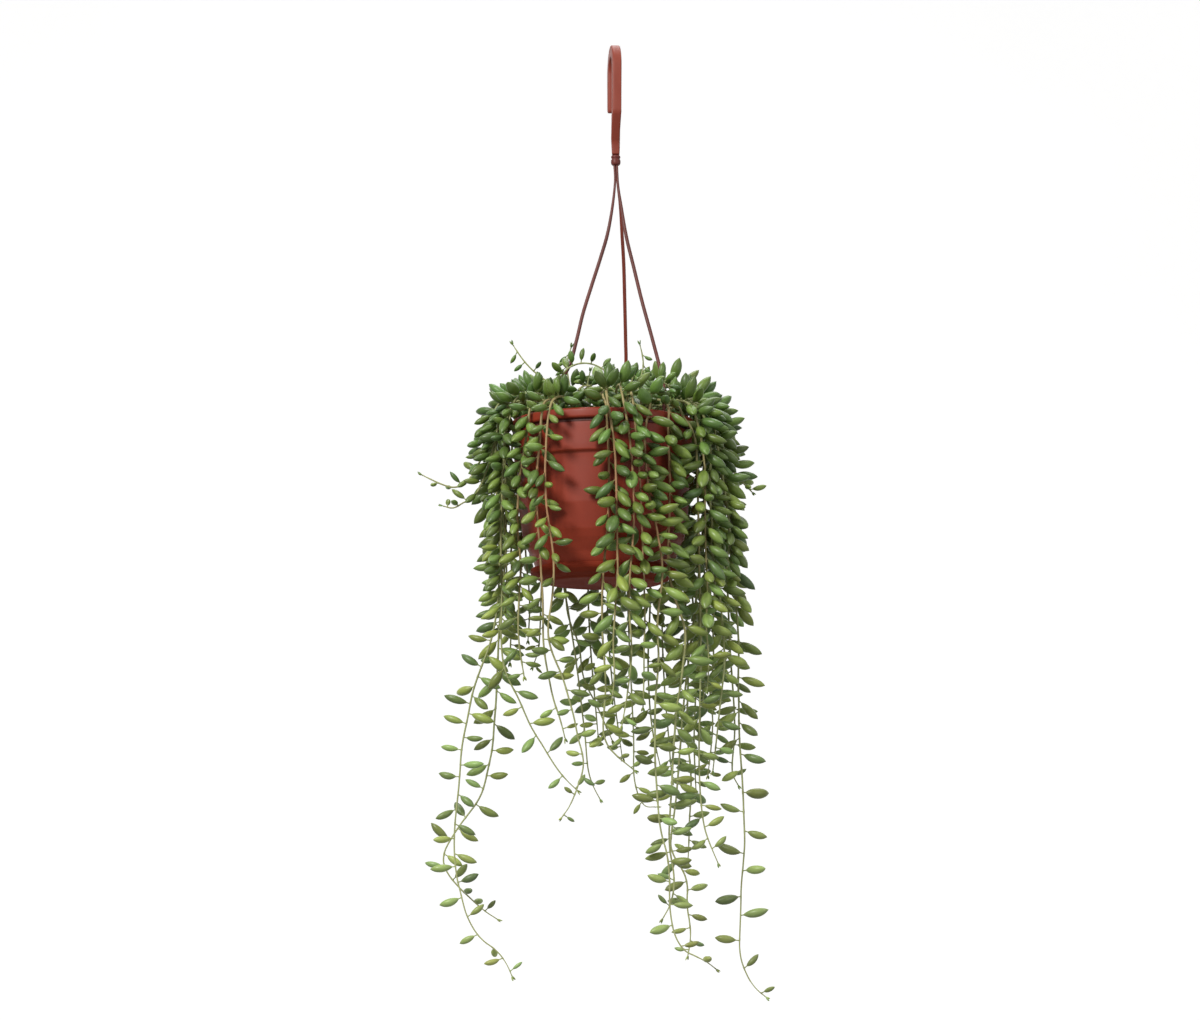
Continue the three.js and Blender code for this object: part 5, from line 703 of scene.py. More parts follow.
SHOOTS = (
    ("trailing_shoot_01", (-43,-3.2,-319.4,-46.1,-4,-311.1,-50.8,-6.8,-304.1,-57.1,-8.6,-298,-64.7,-9.9,-293.7,-73.4,-11.3,-292.2,-82.2,-12.6,-292.6,-89.3,-13.5,-297.2,-93.3,-13.8,-305.2,-95.4,-13.9,-313.8,-96.6,-14,-322.7,-97.2,-14,-331.6,-97.5,-14,-340.5,-97.4,-14,-349.4,-96.9,-14,-358.4,-96.2,-14,-367.3,-95.3,-14,-376.1,-94.6,-14,-385,-94,-14,-394,-93.6,-14,-402.9,-93.4,-14,-411.8,-93.4,-14,-420.7,-93.6,-14,-429.7,-94,-14,-438.6,-94.5,-14,-447.5,-95.2,-14,-456.4,-96.2,-14,-465.3,-97.7,-14,-474.1,-99.6,-14,-482.8,-102,-14,-491.4,-105.1,-14,-499.8,-108.3,-14,-508.1,-111.3,-14,-516.5,-114,-14,-525.1,-116,-14,-533.7,-117.6,-14,-542.5,-119.3,-14,-551.3,-121.1,-14,-560,-122.6,-14,-568.8,-123.6,-14,-577.7,-124.1,-14,-586.6,-124.7,-14,-595.5,-125.4,-14,-604.4,-126.3,-14,-613.3,-127.2,-14,-622.2,-128,-14,-631.1,-128.4,-14,-640,-128.5,-14,-649,-128.1,-14,-657.9,-127.2,-14,-666.8,-125.8,-14,-675.6,-123.6,-14,-684.2,-121.4,-14,-692.9,-118.9,-14,-701.5,-115.2,-14,-709.6,-110.5,-14,-717.2,-104.4,-14,-723.7,-97.2,-14,-728.9,-90.9,-14,-735.1,-86,-14,-742.6,-82.3,-14,-750.7),
     ((4.402,-80,59,2.7,14.4,7),(5.029,108,-2,2.3,15,6.7),(5.75,-129,18,2.4,16.2,7.2),(6.339,-160,21,2.5,18.4,8.3),(6.903,103,0,2.9,18.9,8.9),(7.435,95,-47,2.6,20.3,10),(8.859,86,-47,2.2,17.3,7.5),(9.267,-166,-48,2.5,15.4,7.2),(9.733,-35,-46,2.3,16.4,8.2),(10.13,49,-44,2.7,16.5,6.9),(10.64,122,-44,2.6,16.5,7.9),(11.083,-73,-42,2.9,20,9.5),(11.714,159,-50,2.5,19.1,8.6),(12.331,82,-25,2.8,17.9,7.5),(13.099,113,-38,2.8,20.9,9.9),(13.768,179,-33,2.9,17.6,8.5),(14.683,147,-45,2.9,17.1,8.2),(15.478,-116,-4,2.5,15.8,7),(16.482,-137,-50,2.6,20,9.2),(17.304,141,-40,2.4,17.9,8),(18.04,10,-47,2.7,19.5,9.5),(18.882,136,-32,2.9,20,9.1),(19.555,-150,-41,2.2,19.8,8.4),(20.037,137,-43,3,18.2,8.1),(20.682,19,7,2.6,15.6,7.5),(21.262,178,-16,2.9,18.8,8.4),(21.735,146,-51,2.7,18.2,7.8),(22.403,-132,-42,3.1,17.3,8.3),(22.99,42,-15,2.3,15.7,6.8),(23.65,-172,-32,2.4,16.4,8),(24.395,23,-48,3.1,17.1,8.1),(25.429,-178,-22,2.6,15.5,6.6),(26.71,3,-38,2.3,17.3,7.5),(28.296,166,8,3.2,16.1,7.3),(29.601,13,-41,3,19.5,8.8),(30.809,160,29,3,17.3,8.2),(31.741,-10,-27,2.7,18.2,8.9),(32.645,137,-15,2.9,18,8.4),(33.513,-26,-38,2.6,15.7,7.3),(34.263,178,17,2.8,19.1,8.2),(35.146,-8,-17,2.6,19.1,9.3),(36.079,167,20,3,17,7.6),(37.324,-22,-8,2.4,14.6,6.6),(38.454,168,11,2.7,14.5,6.5),(39.807,-22,1,2.5,18,7.8),(40.85,166,5,3,14.5,7),(42.386,-23,-35,2.6,14.6,7.1),(43.71,-165,-26,2.6,16,6.9),(45.035,0,-26,2.6,15.8,7.1),(46.329,-152,-4,2.5,16,7.1),(47.654,-4,-22,2.4,16.8,7.1),(48.797,-177,-6,2.4,17.6,7.9),(50.217,-5,19,2.7,14.9,7.4),(51.587,175,-22,2.5,16.1,8),(53.361,6,35,2.7,13.6,5.9),(55.165,166,-24,2.6,13.7,6),(56.976,84,-27,2.7,11.9,5.3),(58.238,-169,-20,2.8,12.8,5.9),(59.551,-3,38,2.6,9.6,4.1),)),
    ("trailing_shoot_02", (-49.9,7.6,-319.4,-52.1,8.2,-310.6,-55.5,9,-302.3,-59.7,10,-294.3,-65.3,11.3,-287.4,-73.2,13,-283.7,-81.9,14.7,-285,-87.8,15.6,-291.4,-90.3,15.9,-300.1,-91.6,16,-309,-92.1,16,-318.1,-92.1,16,-327.1,-91.7,16,-336.2,-91,16,-345.2,-90.4,16,-354.3,-89.9,16,-363.3,-89.7,16,-372.4,-89.6,16,-381.4,-89.7,16,-390.5,-89.8,16,-399.6,-90,16,-408.6,-90.3,16,-417.7,-90.8,16,-426.7,-91.4,16,-435.8,-92.2,16,-444.8,-93,16,-453.8,-93.8,16,-462.8,-94.6,16,-471.9,-95.1,16,-480.9,-95.4,16,-490,-95.7,16,-499,-96,16,-508.1,-96.3,16,-517.1,-96.7,16,-526.2,-97.2,16,-535.2,-97.9,16,-544.3,-98.6,16,-553.3,-99.1,16,-562.4,-100.1,16,-571.4,-101.8,16,-580.2,-103.7,16,-589.1,-105.7,16,-598,-108.5,16,-606.6,-112.8,16,-614.5,-118.2,16,-621.8,-123.7,16,-629,-128.8,16,-636.4,-133.6,16,-644.2,-137.5,16,-652.3,-138.4,16,-661.2,-135.1,16,-669.6,-129.7,16,-676.8,-123.5,16,-683.4,-116.8,16,-689.6,-110.1,16,-695.7,-103,16,-701.3,-95.4,16,-706.1),
     ((3.356,150,-34,2.6,17.3,8.6),(3.87,-62,25,2.8,15.9,7.2),(4.796,68,6,3.2,18,8.1),(5.143,-119,-8,2.7,16.8,8.4),(5.514,-124,-64,2.9,18.2,7.7),(5.944,-168,19,2.9,21,9.6),(6.45,159,-4,3.2,17,7.9),(6.855,23,-52,3.2,14.2,6.4),(7.411,-167,-45,2.7,18.2,8.1),(7.959,90,-15,2.5,17,7.7),(8.566,-123,-46,3,21,9.9),(9.895,89,-30,2.7,18.6,8.3),(10.602,-145,-44,2.9,17.8,7.7),(11.432,-68,-27,3.2,16.2,7.7),(12.439,-142,-16,2.4,20.7,8.9),(13.196,-139,-40,2.4,17.7,8.5),(13.976,46,-17,2.2,18.5,9),(14.778,-130,-43,2.5,19,8.9),(15.279,47,-44,3,16.5,7.2),(15.842,167,-48,3.1,16.1,7.8),(16.469,31,-46,2.6,20.1,9.9),(17.101,-157,-27,2.4,18.2,8.8),(17.693,-111,-47,3.2,19.6,9),(18.2,72,-32,2.5,17.3,8.3),(18.851,174,-13,2.2,18.8,8.8),(19.451,-160,-35,2.5,16.5,8.1),(20.284,152,-43,2.6,17.3,7.8),(21.046,-154,-33,2.9,17.5,8.4),(21.93,5,-53,2.9,18.7,7.9),(22.741,-172,-7,2.3,15.9,6.9),(23.554,-150,-38,2.8,17.2,7.4),(24.522,-153,-46,2.9,16.4,7.3),(25.299,-15,-43,2.9,17.5,7.8),(26.442,164,-24,3,18.6,8.6),(27.183,4,-24,2.2,16.1,7.6),(28.06,169,-47,2.8,20.3,9.5),(28.857,-13,-20,2.3,20.1,9.8),(29.799,-139,-10,2.9,15,7.3),(30.798,-4,-38,2.7,20,9.5),(31.656,169,-45,3.2,18.3,8.8),(32.68,-4,-35,2.9,16.2,6.8),(34.26,-165,-40,2.6,19.1,9.5),(35.622,18,-36,2.5,18.7,8.2),(36.954,170,-27,2.5,15.7,7.5),(38.009,5,-1,2.9,14.6,7.3),(39.243,-162,-29,2.4,18.6,8.5),(40.303,-19,-2,2.8,15.6,7.7),(41.482,161,28,2.5,14.7,6.2),(43.022,11,-32,3.2,17.8,8.4),(44.497,129,38,2.6,16.5,7.7),(45.667,-7,-36,2.4,17.1,7.7),(46.901,-173,38,2.6,18,8.1),(48.241,-1,-31,2.9,14.6,7),(49.325,161,7,2.8,14.3,6.3),(50.772,-32,40,3.2,15.6,6.9),(52.257,-69,7,2.6,14.6,6.4),(53.393,65,1,2.2,12.9,5.9),(54.711,-38,35,3.2,10.6,4.7),)),
    ("trailing_shoot_03", (-36.7,-10.7,-319.4,-39.1,-12.4,-310.9,-43.3,-15,-303.2,-48.1,-18.5,-296.4,-53.6,-23.1,-290.9,-61,-27,-287.7,-69.2,-30.9,-287.7,-76.9,-34.8,-290,-82.4,-36.9,-296.7,-85.7,-37.6,-305.1,-87.7,-37.9,-314,-88.8,-38,-323,-89.4,-38,-332.1,-89.9,-38,-341.1,-90.4,-38,-350.2,-90.8,-38,-359.3,-91.1,-38,-368.4,-91.4,-38,-377.4,-91.7,-38,-386.5,-91.8,-38,-395.6,-91.9,-38,-404.7,-91.8,-38,-413.8,-91.7,-38,-422.9,-91.4,-38,-432,-91.1,-38,-441,-90.9,-38,-450.1,-90.9,-38,-459.2,-91.1,-38,-468.3,-91.3,-38,-477.4,-91.2,-38,-486.5,-90.7,-38,-495.5,-89.6,-38,-504.6,-87.3,-38,-513.3,-83.7,-38,-521.7,-79.4,-38,-529.7,-75.5,-38,-537.9,-71.9,-38,-546.2,-68.1,-38,-554.5,-63.6,-38,-562.4,-58.7,-38,-570,-54,-38,-577.8,-49.1,-38,-585.5,-43.8,-38,-592.8,-37.7,-38,-599.6,-31.1,-38,-605.8),
     ((1.21,62,4,2.5,16,7.3),(2.086,-14,27,2.3,18.4,8.4),(3.031,-42,25,3,15.4,7.6),(3.454,-12,54,3,17.1,7.5),(4.114,-57,43,2.8,12.3,6.1),(5.422,-77,52,2.3,17,8.4),(6.316,171,42,2.3,15.1,7.1),(7.031,-117,16,2.9,19.6,9.8),(7.902,-140,14,2.8,16.7,7.7),(8.601,-107,-24,2.9,16.1,7.1),(9.247,-109,-45,2.7,18.9,8.4),(9.94,25,-28,2.3,12.2,6),(10.697,-76,-33,2.9,20.1,9.4),(11.214,-125,-8,3,15.5,6.6),(11.809,-89,-43,3.2,17.4,8.2),(12.411,-8,-21,2.5,18.2,7.9),(12.98,-140,-11,2.5,16.1,7.1),(13.447,-33,-52,2.8,18,7.8),(13.926,-113,-2,2.7,17.6,8.1),(14.565,-147,-44,3.1,15.4,6.8),(15.235,-71,-36,2.3,16.3,7.5),(16.008,-152,-47,3,18.2,7.9),(16.704,-61,-30,2.8,18.9,9.2),(17.508,-129,-42,2.5,17.4,8.2),(18.531,-145,-51,2.3,17.8,7.8),(19.675,-8,-47,2.3,16.6,7.8),(20.86,-149,-10,2.4,15.6,7),(21.793,-110,-14,3.1,20.2,9.8),(22.527,-132,-25,2.2,18.2,7.8),(23.292,-135,-35,2.3,15.9,7.6),(24.217,-60,-33,2.3,15,6.3),(25.075,-30,-47,3.1,15.3,7.1),(26.01,-161,-40,3.1,17.8,7.6),(27.125,-3,-47,2.8,15.1,7.2),(28.218,-156,-22,2.3,14.9,7),(29.957,15,-28,2.5,15.1,7.2),(31.531,171,-54,3.1,18.3,9.1),(33.732,-15,-17,3.1,17.4,7.7),(35.269,164,-27,3.1,14,6.4),(36.881,-2,9,2.8,17.6,8.6),(38.055,-147,-47,2.6,16.6,7.9),(39.874,29,41,2.9,16.2,7.3),(42.239,-163,-45,3.2,12.3,5.5),(43.828,-24,52,3.1,10.7,4.6),)),
    ("trailing_shoot_04", (-39.3,-25,-319.4,-41.4,-27.8,-311.1,-45,-31.8,-304,-50.1,-36.4,-298.3,-56.6,-41.8,-295.7,-63.3,-47.4,-297,-68.3,-51.2,-303.1,-69.8,-52.1,-311.8,-70.7,-52.1,-320.7,-72,-52,-329.6,-73.6,-52,-338.4,-75.1,-52,-347.3,-76.4,-52,-356.2,-77.2,-52,-365.1,-77.8,-52,-374,-78.2,-52,-383,-78.5,-52,-392,-78.3,-52,-400.9,-77.5,-52,-409.9,-76.4,-52,-418.8,-75.7,-52,-427.7,-75.7,-52,-436.7,-76.2,-52,-445.7,-76.7,-52,-454.6,-77.1,-52,-463.6,-77.4,-52,-472.5,-77.3,-52,-481.5,-76.7,-52,-490.5,-75.6,-52,-499.4,-74.2,-52,-508.2,-72.7,-52,-517.1),
     ((3.251,-61,31,2.3,16,7.2),(4.104,-64,57,2.7,18,8.4),(5.104,-115,13,3,14.9,7.1),(6.027,-158,0,3,15.5,7.5),(6.65,-135,-43,3,16.8,7.8),(7.283,-74,-34,2.9,19.3,8.6),(7.891,-131,-38,2.7,19.3,8.7),(8.475,-17,-40,2.3,13.6,6.1),(9.029,-73,-48,2.5,17.6,8.3),(9.482,-152,-33,3.2,15.8,7.2),(10.156,-76,-48,2.9,15.7,7.3),(10.686,-165,-47,2.8,18.2,8.9),(11.381,-46,-38,3.2,17.3,7.6),(11.972,-112,-43,3.2,15.7,7.6),(12.928,-71,-43,2.7,18.3,8.8),(13.993,-142,2,2.6,14.5,6.7),(15.093,-114,-35,2.8,14.4,6.9),(16.182,-108,-47,2.3,14.6,6.7),(17.244,-145,-48,2.8,18,8.1),(18.092,-68,-19,2.7,18.4,9.2),(18.808,-148,-36,2.7,19.2,8.6),(19.546,-111,-47,2.8,14.9,7.4),(20.15,175,-45,2.7,15.7,7.2),(20.702,-22,-42,3,15.5,7.4),(21.23,-137,-35,3.1,15.7,7.5),(21.951,-25,-50,2.5,15.3,7.2),(22.691,-169,-40,3.1,15.1,6.4),(23.698,17,-11,2.9,17.8,8.1),(24.735,160,-29,2.5,16.6,7.3),(25.854,-7,-13,2.2,16.8,7.9),(27.325,178,-50,3.2,14,6.4),(28.722,7,-14,2.9,12.9,5.7),(29.727,160,-21,2.8,11.1,5.3),)),
    ("trailing_shoot_05", (-39.7,18.4,-319.4,-41.5,19.5,-310.8,-44.1,21,-302.4,-47,23,-294.2,-50.5,25.2,-286.4,-55.5,28.1,-279.7,-60.7,34.3,-276.7,-67.2,40.1,-275.8,-74.3,45,-277.3,-78.6,47,-284.8,-81.4,47.7,-293.2,-83.5,47.9,-301.8,-85,48,-310.6,-85.9,48,-319.4,-86.6,48,-328.3,-87.1,48,-337.2,-87.3,48,-346.1,-87.4,48,-355,-87.3,48,-363.8,-87.1,48,-372.7,-86.8,48,-381.6,-86.6,48,-390.5,-86.3,48,-399.4,-86.1,48,-408.3,-85.9,48,-417.2,-85.7,48,-426.1,-85.6,48,-435,-85.5,48,-443.9,-85.5,48,-452.7,-85.7,48,-461.6,-86,48,-470.5,-86.3,48,-479.4,-86.6,48,-488.3,-86.8,48,-497.2),
     ((4.067,54,-46,2.8,14,6),(4.643,-44,50,2.3,18.1,8),(5.202,-125,32,2.4,14.2,6.1),(6.556,103,46,3.2,19.6,8.9),(7.325,174,54,2.8,17.5,8.4),(8.21,135,43,2.8,15,6.4),(9.177,154,13,2.6,16,7.3),(10.107,79,-28,2.6,19.5,9.4),(11.177,157,-7,3.1,19.2,8.7),(12.343,143,-23,2.8,20.2,8.8),(13.345,175,-48,2.5,19.1,8.7),(14.511,33,-51,2.5,15.4,6.5),(15.377,112,-50,2.8,17.5,8.2),(16.063,179,-12,3.1,19,9),(16.6,-157,-46,2.5,19.7,9.1),(17.324,134,-45,2.9,16.7,8),(18.038,-167,-44,2.9,19.5,8.5),(18.705,64,3,3.2,17.3,7.6),(19.458,156,-33,2.4,18.6,8.3),(20.462,77,-21,2.2,19.2,8.5),(21.612,173,-3,3,19.6,9.1),(22.678,164,1,3.1,16.4,8.1),(23.816,178,-14,2.6,20.3,9.4),(25.232,167,-44,2.6,16.3,7.1),(26.208,127,-30,2.9,18,8.4),(27.212,158,-47,3.1,18.1,8.9),(28.128,-32,-50,2.2,18.7,8.6),(29.225,41,-39,3.1,16.6,7.2),(30.165,149,-47,2.4,12,5.8),(31.379,-19,-13,2.9,10.7,5),(32.435,-133,-43,2.8,12.1,5.8),)),
    ("trailing_shoot_06", (-41,-37.5,-319.4,-42.3,-40.3,-311,-44.4,-44.3,-303.3,-47.6,-50.2,-297.5,-52.2,-57.6,-297.6,-56.9,-64.2,-301,-58.8,-66.7,-309.4,-59.6,-67.5,-318.2,-60.1,-67.8,-327.2,-60.8,-68,-336.1,-61.7,-68,-345,-62.4,-68,-354,-62.7,-68,-362.9,-62.8,-68,-371.9,-62.7,-68,-380.8,-62.4,-68,-389.8,-61.9,-68,-398.8,-61.1,-68,-407.7,-60.3,-68,-416.6,-59.7,-68,-425.5,-59.3,-68,-434.5,-58.7,-68,-443.4,-58.1,-68,-452.4,-57.7,-68,-461.3,-57.6,-68,-470.3,-57.5,-68,-479.3,-57.4,-68,-488.2,-56.7,-68,-497.2,-55.5,-68,-506,-53.9,-68,-514.8,-52.1,-68,-523.6,-50.3,-68,-532.4,-47.9,-68,-541,-44.9,-68,-549.5,-42.4,-68,-558.1,-40.2,-68,-566.8),
     ((1.227,-62,-16,2.9,14.3,6.5),(1.735,169,-49,2.3,16.1,7),(2.316,30,48,2.9,16.5,7),(2.953,178,-14,2.8,16.2,6.9),(3.496,-48,71,3,17.7,8.1),(4.208,-98,50,3.2,15.8,7.8),(4.883,-155,20,2.6,15.1,7.1),(5.859,-137,16,2.6,15.2,7.4),(7.065,-23,-45,2.6,14.6,7.3),(8.015,-148,-45,2.5,18.1,9),(9.16,-2,-45,2.7,17.2,8.2),(10.049,-151,-23,2.3,14,6.3),(10.981,-113,-48,2.8,17.7,8.7),(11.798,-178,-48,2.8,13.9,6.1),(12.516,-110,-44,2.6,15.8,7.8),(13.307,106,-45,2.7,17,7.2),(13.884,-3,-11,2.3,15.9,7.8),(14.696,-139,-42,2.9,17,7.9),(15.665,-4,-46,2.7,16.4,7.1),(16.668,-148,-35,2.6,16.4,8.1),(17.811,-58,-45,2.4,15.8,7.9),(19.045,-146,-10,2.6,17.1,7.4),(20.753,-155,-12,2.6,17.5,8.5),(22.359,159,-38,2.5,14,6.7),(23.938,11,-25,2.7,15.7,6.6),(25.108,153,-23,2.8,13.6,6.5),(26.132,4,-6,3,17.6,8.7),(27.467,164,-3,3.2,12.9,5.4),(29.46,-6,1,3.2,16.9,7.2),(32.249,172,-32,3.1,11.8,5.7),(34.172,4,18,3.1,9.6,4.3),)),
    ("trailing_shoot_07", (-35.1,25.8,-319.4,-36.4,27.5,-310.6,-38.3,29.8,-302.1,-40.3,32.5,-293.7,-42.6,35.6,-285.5,-45.5,39.6,-278,-49.9,45.6,-273.2,-55.3,52.8,-273.1,-60.8,59.5,-275.4,-63.3,62.6,-283.1,-64.2,63.6,-292.1,-64.5,63.9,-301.1,-64.6,64,-310.1,-64.5,64,-319.2,-64.2,64,-328.2,-63.9,64,-337.2,-63.5,64,-346.3,-63.1,64,-355.3,-62.7,64,-364.3,-62.4,64,-373.4,-62,64,-382.4,-61.7,64,-391.4,-61.4,64,-400.5,-61.2,64,-409.5,-61.2,64,-418.5,-61.3,64,-427.6,-61.6,64,-436.6,-61.9,64,-445.6,-62.1,64,-454.7,-62.4,64,-463.7,-62.8,64,-472.7,-63.4,64,-481.7,-65.2,64,-490.6,-68.3,64,-499.1),
     ((1.217,2,-41,2.6,13.1,5.9),(2.461,77,-46,2.8,13.6,6.1),(3.332,24,-18,2.4,13.7,6.5),(4.496,67,-34,3.1,13.3,6),(5.605,32,68,2.4,16.1,7.1),(6.667,75,56,3.1,14.5,6.2),(7.352,76,40,2.6,15.3,7.4),(8.095,141,-5,2.9,15.1,7.4),(8.753,147,-28,2.6,13.2,6.4),(9.463,169,-42,2.8,15.1,7.3),(10.019,48,-48,2.9,14.1,6),(10.706,155,-45,2.5,13.8,5.8),(11.346,111,-40,3.1,13.1,6.2),(12.062,-177,-17,2.7,14.6,6.9),(13.265,14,-50,2.6,13.2,6.4),(14.72,-159,-29,2.3,13.3,5.8),(16.209,125,-44,3,14.3,6.5),(17.24,-171,-45,2.9,15.9,7.1),(18.572,59,-36,2.3,14.7,7.1),(19.645,154,-16,2.6,13.5,6.1),(20.702,133,-22,3,13.7,6.8),(21.637,137,-35,2.2,14.6,7),(22.674,20,-23,2.3,15.2,7.2),(23.679,165,-48,2.6,12.6,6.2),(25.017,143,-43,2.2,14.6,6.1),(26.763,147,-44,2.7,14.2,6.4),(28.233,2,-50,3,12.3,5.6),(31.003,-177,-17,2.7,9.6,4.2),(32.804,10,-51,2.6,7.7,3.2),)),
    ("trailing_shoot_08", (-30.9,-37.9,-319.4,-32.2,-41.1,-311,-34.5,-45.6,-303.5,-37.7,-51.6,-297.6,-42,-59.2,-295.7,-46.6,-66.9,-297,-50.8,-72.8,-301.9,-53,-74.9,-310.4,-54.2,-75.6,-319.4,-54.9,-75.9,-328.4,-55.4,-76,-337.5,-55.8,-76,-346.5,-56,-76,-355.6,-56,-76,-364.7,-55.7,-76,-373.8,-55.1,-76,-382.8,-54.1,-76,-391.8,-52.8,-76,-400.8,-51.3,-76,-409.7,-50.1,-76,-418.7,-49.3,-76,-427.8,-49.1,-76,-436.8,-49.4,-76,-445.9,-50.1,-76,-455,-51.2,-76,-464,-52.6,-76,-472.9,-53.4,-76,-482,-52.8,-76,-491,-50.5,-76,-499.7,-47.2,-76,-508.2,-43.5,-76,-516.5,-40.5,-76,-525,-38,-76,-533.7,-35.5,-76,-542.5,-33.2,-76,-551.2,-31.4,-76,-560.1,-29.5,-76,-569,-27.1,-76,-577.7,-25.8,-76,-586.7,-27.1,-76,-595.6,-30,-76,-604.2,-33.2,-76,-612.7,-37.1,-76,-620.9,-42.3,-76,-628.3),
     ((1.213,-79,-35,2.9,12.9,5.8),(1.963,114,-36,2.5,15.9,7),(2.694,-51,17,2.4,17,8.4),(3.289,-175,-49,2.8,13.1,6.5),(3.945,-84,60,2.6,16.9,7.2),(4.409,-28,-25,2.2,16.4,8.2),(4.866,-111,71,2.6,12.7,5.8),(5.356,-121,43,2.8,13.8,6.1),(5.95,-46,-47,3.1,14.9,6.9),(6.491,-147,-12,2.6,15.4,7.6),(7.175,-58,-35,2.3,13.5,6),(8.101,180,-27,2.6,13.2,6.4),(9.022,-37,-20,3.2,13.6,6),(10.081,-150,-7,2.3,16.7,8),(11.259,-26,-29,3,16.6,7.8),(12.307,-129,-50,3.1,13.6,6.4),(13.331,-70,-13,2.5,12.7,5.9),(14.148,164,-47,2.4,13.1,5.8),(15.236,-39,-19,2.7,13.1,5.6),(16.18,-131,-38,3,14.5,6.7),(16.904,-42,-42,2.9,14.7,7.2),(17.563,-165,-49,2.9,16.3,7.6),(18.492,-21,-3,2.5,15,6.8),(19.342,-74,-34,2.8,13.9,6.1),(20.208,-6,-33,2.3,13.2,5.8),(21.481,-132,-38,2.5,13,6.3),(23.088,-41,-6,2.5,14.8,6.8),(25.102,-173,-1,3.1,13.2,5.6),(26.7,-30,-39,2.6,16.1,7.6),(27.901,-144,-7,2.6,16.1,7.8),(28.888,26,9,2.8,13.8,6.8),(29.89,-166,-15,2.6,16,7.9),(31.538,2,-14,3.1,16,7.2),(33.296,-144,-17,2.5,12.2,5.8),(35.622,-27,10,2.8,13.7,6.3),(37.226,144,5,2.6,13.4,6),(39.1,-13,-40,2.3,10.7,5.2),(40.801,-151,30,2.3,8.6,3.9),(42.76,28,-29,3.2,7.6,3.3),)),
    ("trailing_shoot_09", (-30.6,40.8,-319.4,-31.3,42,-310.5,-32,43.2,-301.6,-32.7,44.5,-292.7,-33.5,45.9,-283.8,-34.6,47.9,-275.1,-37.1,51.8,-267.9,-40.7,57.2,-273.4,-42.7,61.1,-281.3,-44.2,64.6,-289.5,-45.5,67.7,-297.8,-46.4,69.2,-306.5,-46.8,68.8,-315.5,-47.2,67.9,-324.5,-47.5,66.6,-333.4,-47.7,65.2,-342.3,-47.8,63.8,-351.2,-47.9,62.6,-360.1,-47.8,61.7,-369.1,-47.8,61,-378.1,-47.5,60.1,-387.1,-47.1,59.2,-396,-46.5,58.6,-405,-45.7,58.2,-414,-44.6,57.9,-422.9,-43.2,57.9,-431.8,-41.6,57.9,-440.7,-40,57.9,-449.6,-38.5,58,-458.5,-37.1,58,-467.4,-35.6,58,-476.3,-34.2,58,-485.2,-32.9,58,-494.1,-31.7,58,-503.1,-30.5,58,-512,-29.5,58,-521,-28.4,58,-529.9,-27.4,58,-538.9,-26.3,58,-547.8,-25.3,58,-556.8,-24.5,58,-565.8,-23.8,58,-574.8,-22.8,58,-583.7,-20.7,58,-592.5,-17.3,58,-600.8,-13,58,-608.7),
     ((1.22,105,-18,2.7,16.7,7.5),(1.983,178,-2,2.4,12.8,5.4),(2.574,121,-18,2.9,16.3,6.9),(3.218,60,-4,2.6,14,6),(4.044,86,-4,2.4,15.9,7.2),(4.99,154,-36,2.9,15.4,7.7),(5.791,-67,51,2.4,16.1,6.9),(6.863,-156,-23,2.9,15.5,7.1),(8.15,23,-49,2.9,15.2,6.8),(9.088,159,20,2.3,13.8,6.6),(10.198,85,-38,2.9,12.9,6.3),(11.049,145,-7,3.1,15.8,7.6),(11.881,50,-50,2.5,13.9,6.3),(12.602,148,0,3,17.1,7.8),(13.386,75,-23,2.4,17.2,7.3),(14.116,165,-31,2.6,13.9,6.7),(14.929,63,-45,3,14.8,6.6),(15.887,155,-51,2.3,13.8,6.2),(17.009,68,-45,2.2,13.9,6.3),(18.296,146,-51,2.4,13.4,6),(19.314,34,-49,2.9,13.4,5.7),(20.744,110,1,3.1,17.1,8.1),(22.016,43,-33,3,16.4,7.3),(23.188,167,-46,3.1,13.6,6.3),(23.874,38,-48,2.3,15.4,7),(24.836,131,-46,2.3,14.4,6.4),(25.464,28,-41,2.5,15.3,7),(26.149,162,-48,2.6,16.6,7.8),(27.141,-16,8,2.9,14.4,6.9),(28.673,-154,-31,2.4,15.1,7.1),(30.106,1,-21,2.7,12.8,5.7),(32.316,148,-38,2.7,13.2,6.3),(34.243,35,-13,2.8,14.5,6.7),(35.907,172,-1,2.9,14.9,7.4),(37.123,-48,-15,2.4,15,6.5),(38.511,162,-44,2.8,14.3,6.4),(39.628,17,-3,2.5,13.2,5.8),(41.535,-153,-2,2.8,11.8,4.9),(43.484,30,15,2.5,10.1,5.1),)),
    ("trailing_shoot_10", (-14.8,34,-319.4,-15.1,36.1,-310.6,-15.8,38.7,-301.9,-16.6,41.5,-293.3,-17.5,44.7,-284.8,-18.6,48.6,-276.6,-20.3,53.6,-269.3,-23.2,61.1,-265.6,-26.5,68.6,-268.9,-28.6,72.9,-276.5,-29.7,74.8,-285.3,-30.4,75.4,-294.4,-31.1,75.4,-303.4,-31.9,75.3,-312.5,-32.7,75.1,-321.5,-33.6,74.9,-330.6,-34.5,74.6,-339.6,-35.3,74.3,-348.7,-36.2,74.1,-357.7,-37.1,74,-366.8,-38.1,74,-375.8,-39,73.9,-384.9,-39.9,74,-393.9,-40.7,74,-403,-41.3,74,-412.1,-41.6,74,-421.2,-41.6,74,-430.3,-41.3,74,-439.3,-40.6,74,-448.4,-39.1,74,-457.4,-36.2,74,-466,-32.6,74,-474.3,-30.1,74,-483.1,-28.9,74,-492.1,-28,74,-501.1,-25.8,74,-509.9,-22.3,74,-518.3,-18,74,-526.3,-14,74,-534.5,-10.4,74,-542.8,-6.7,74,-551.2,-3,74,-559.5),
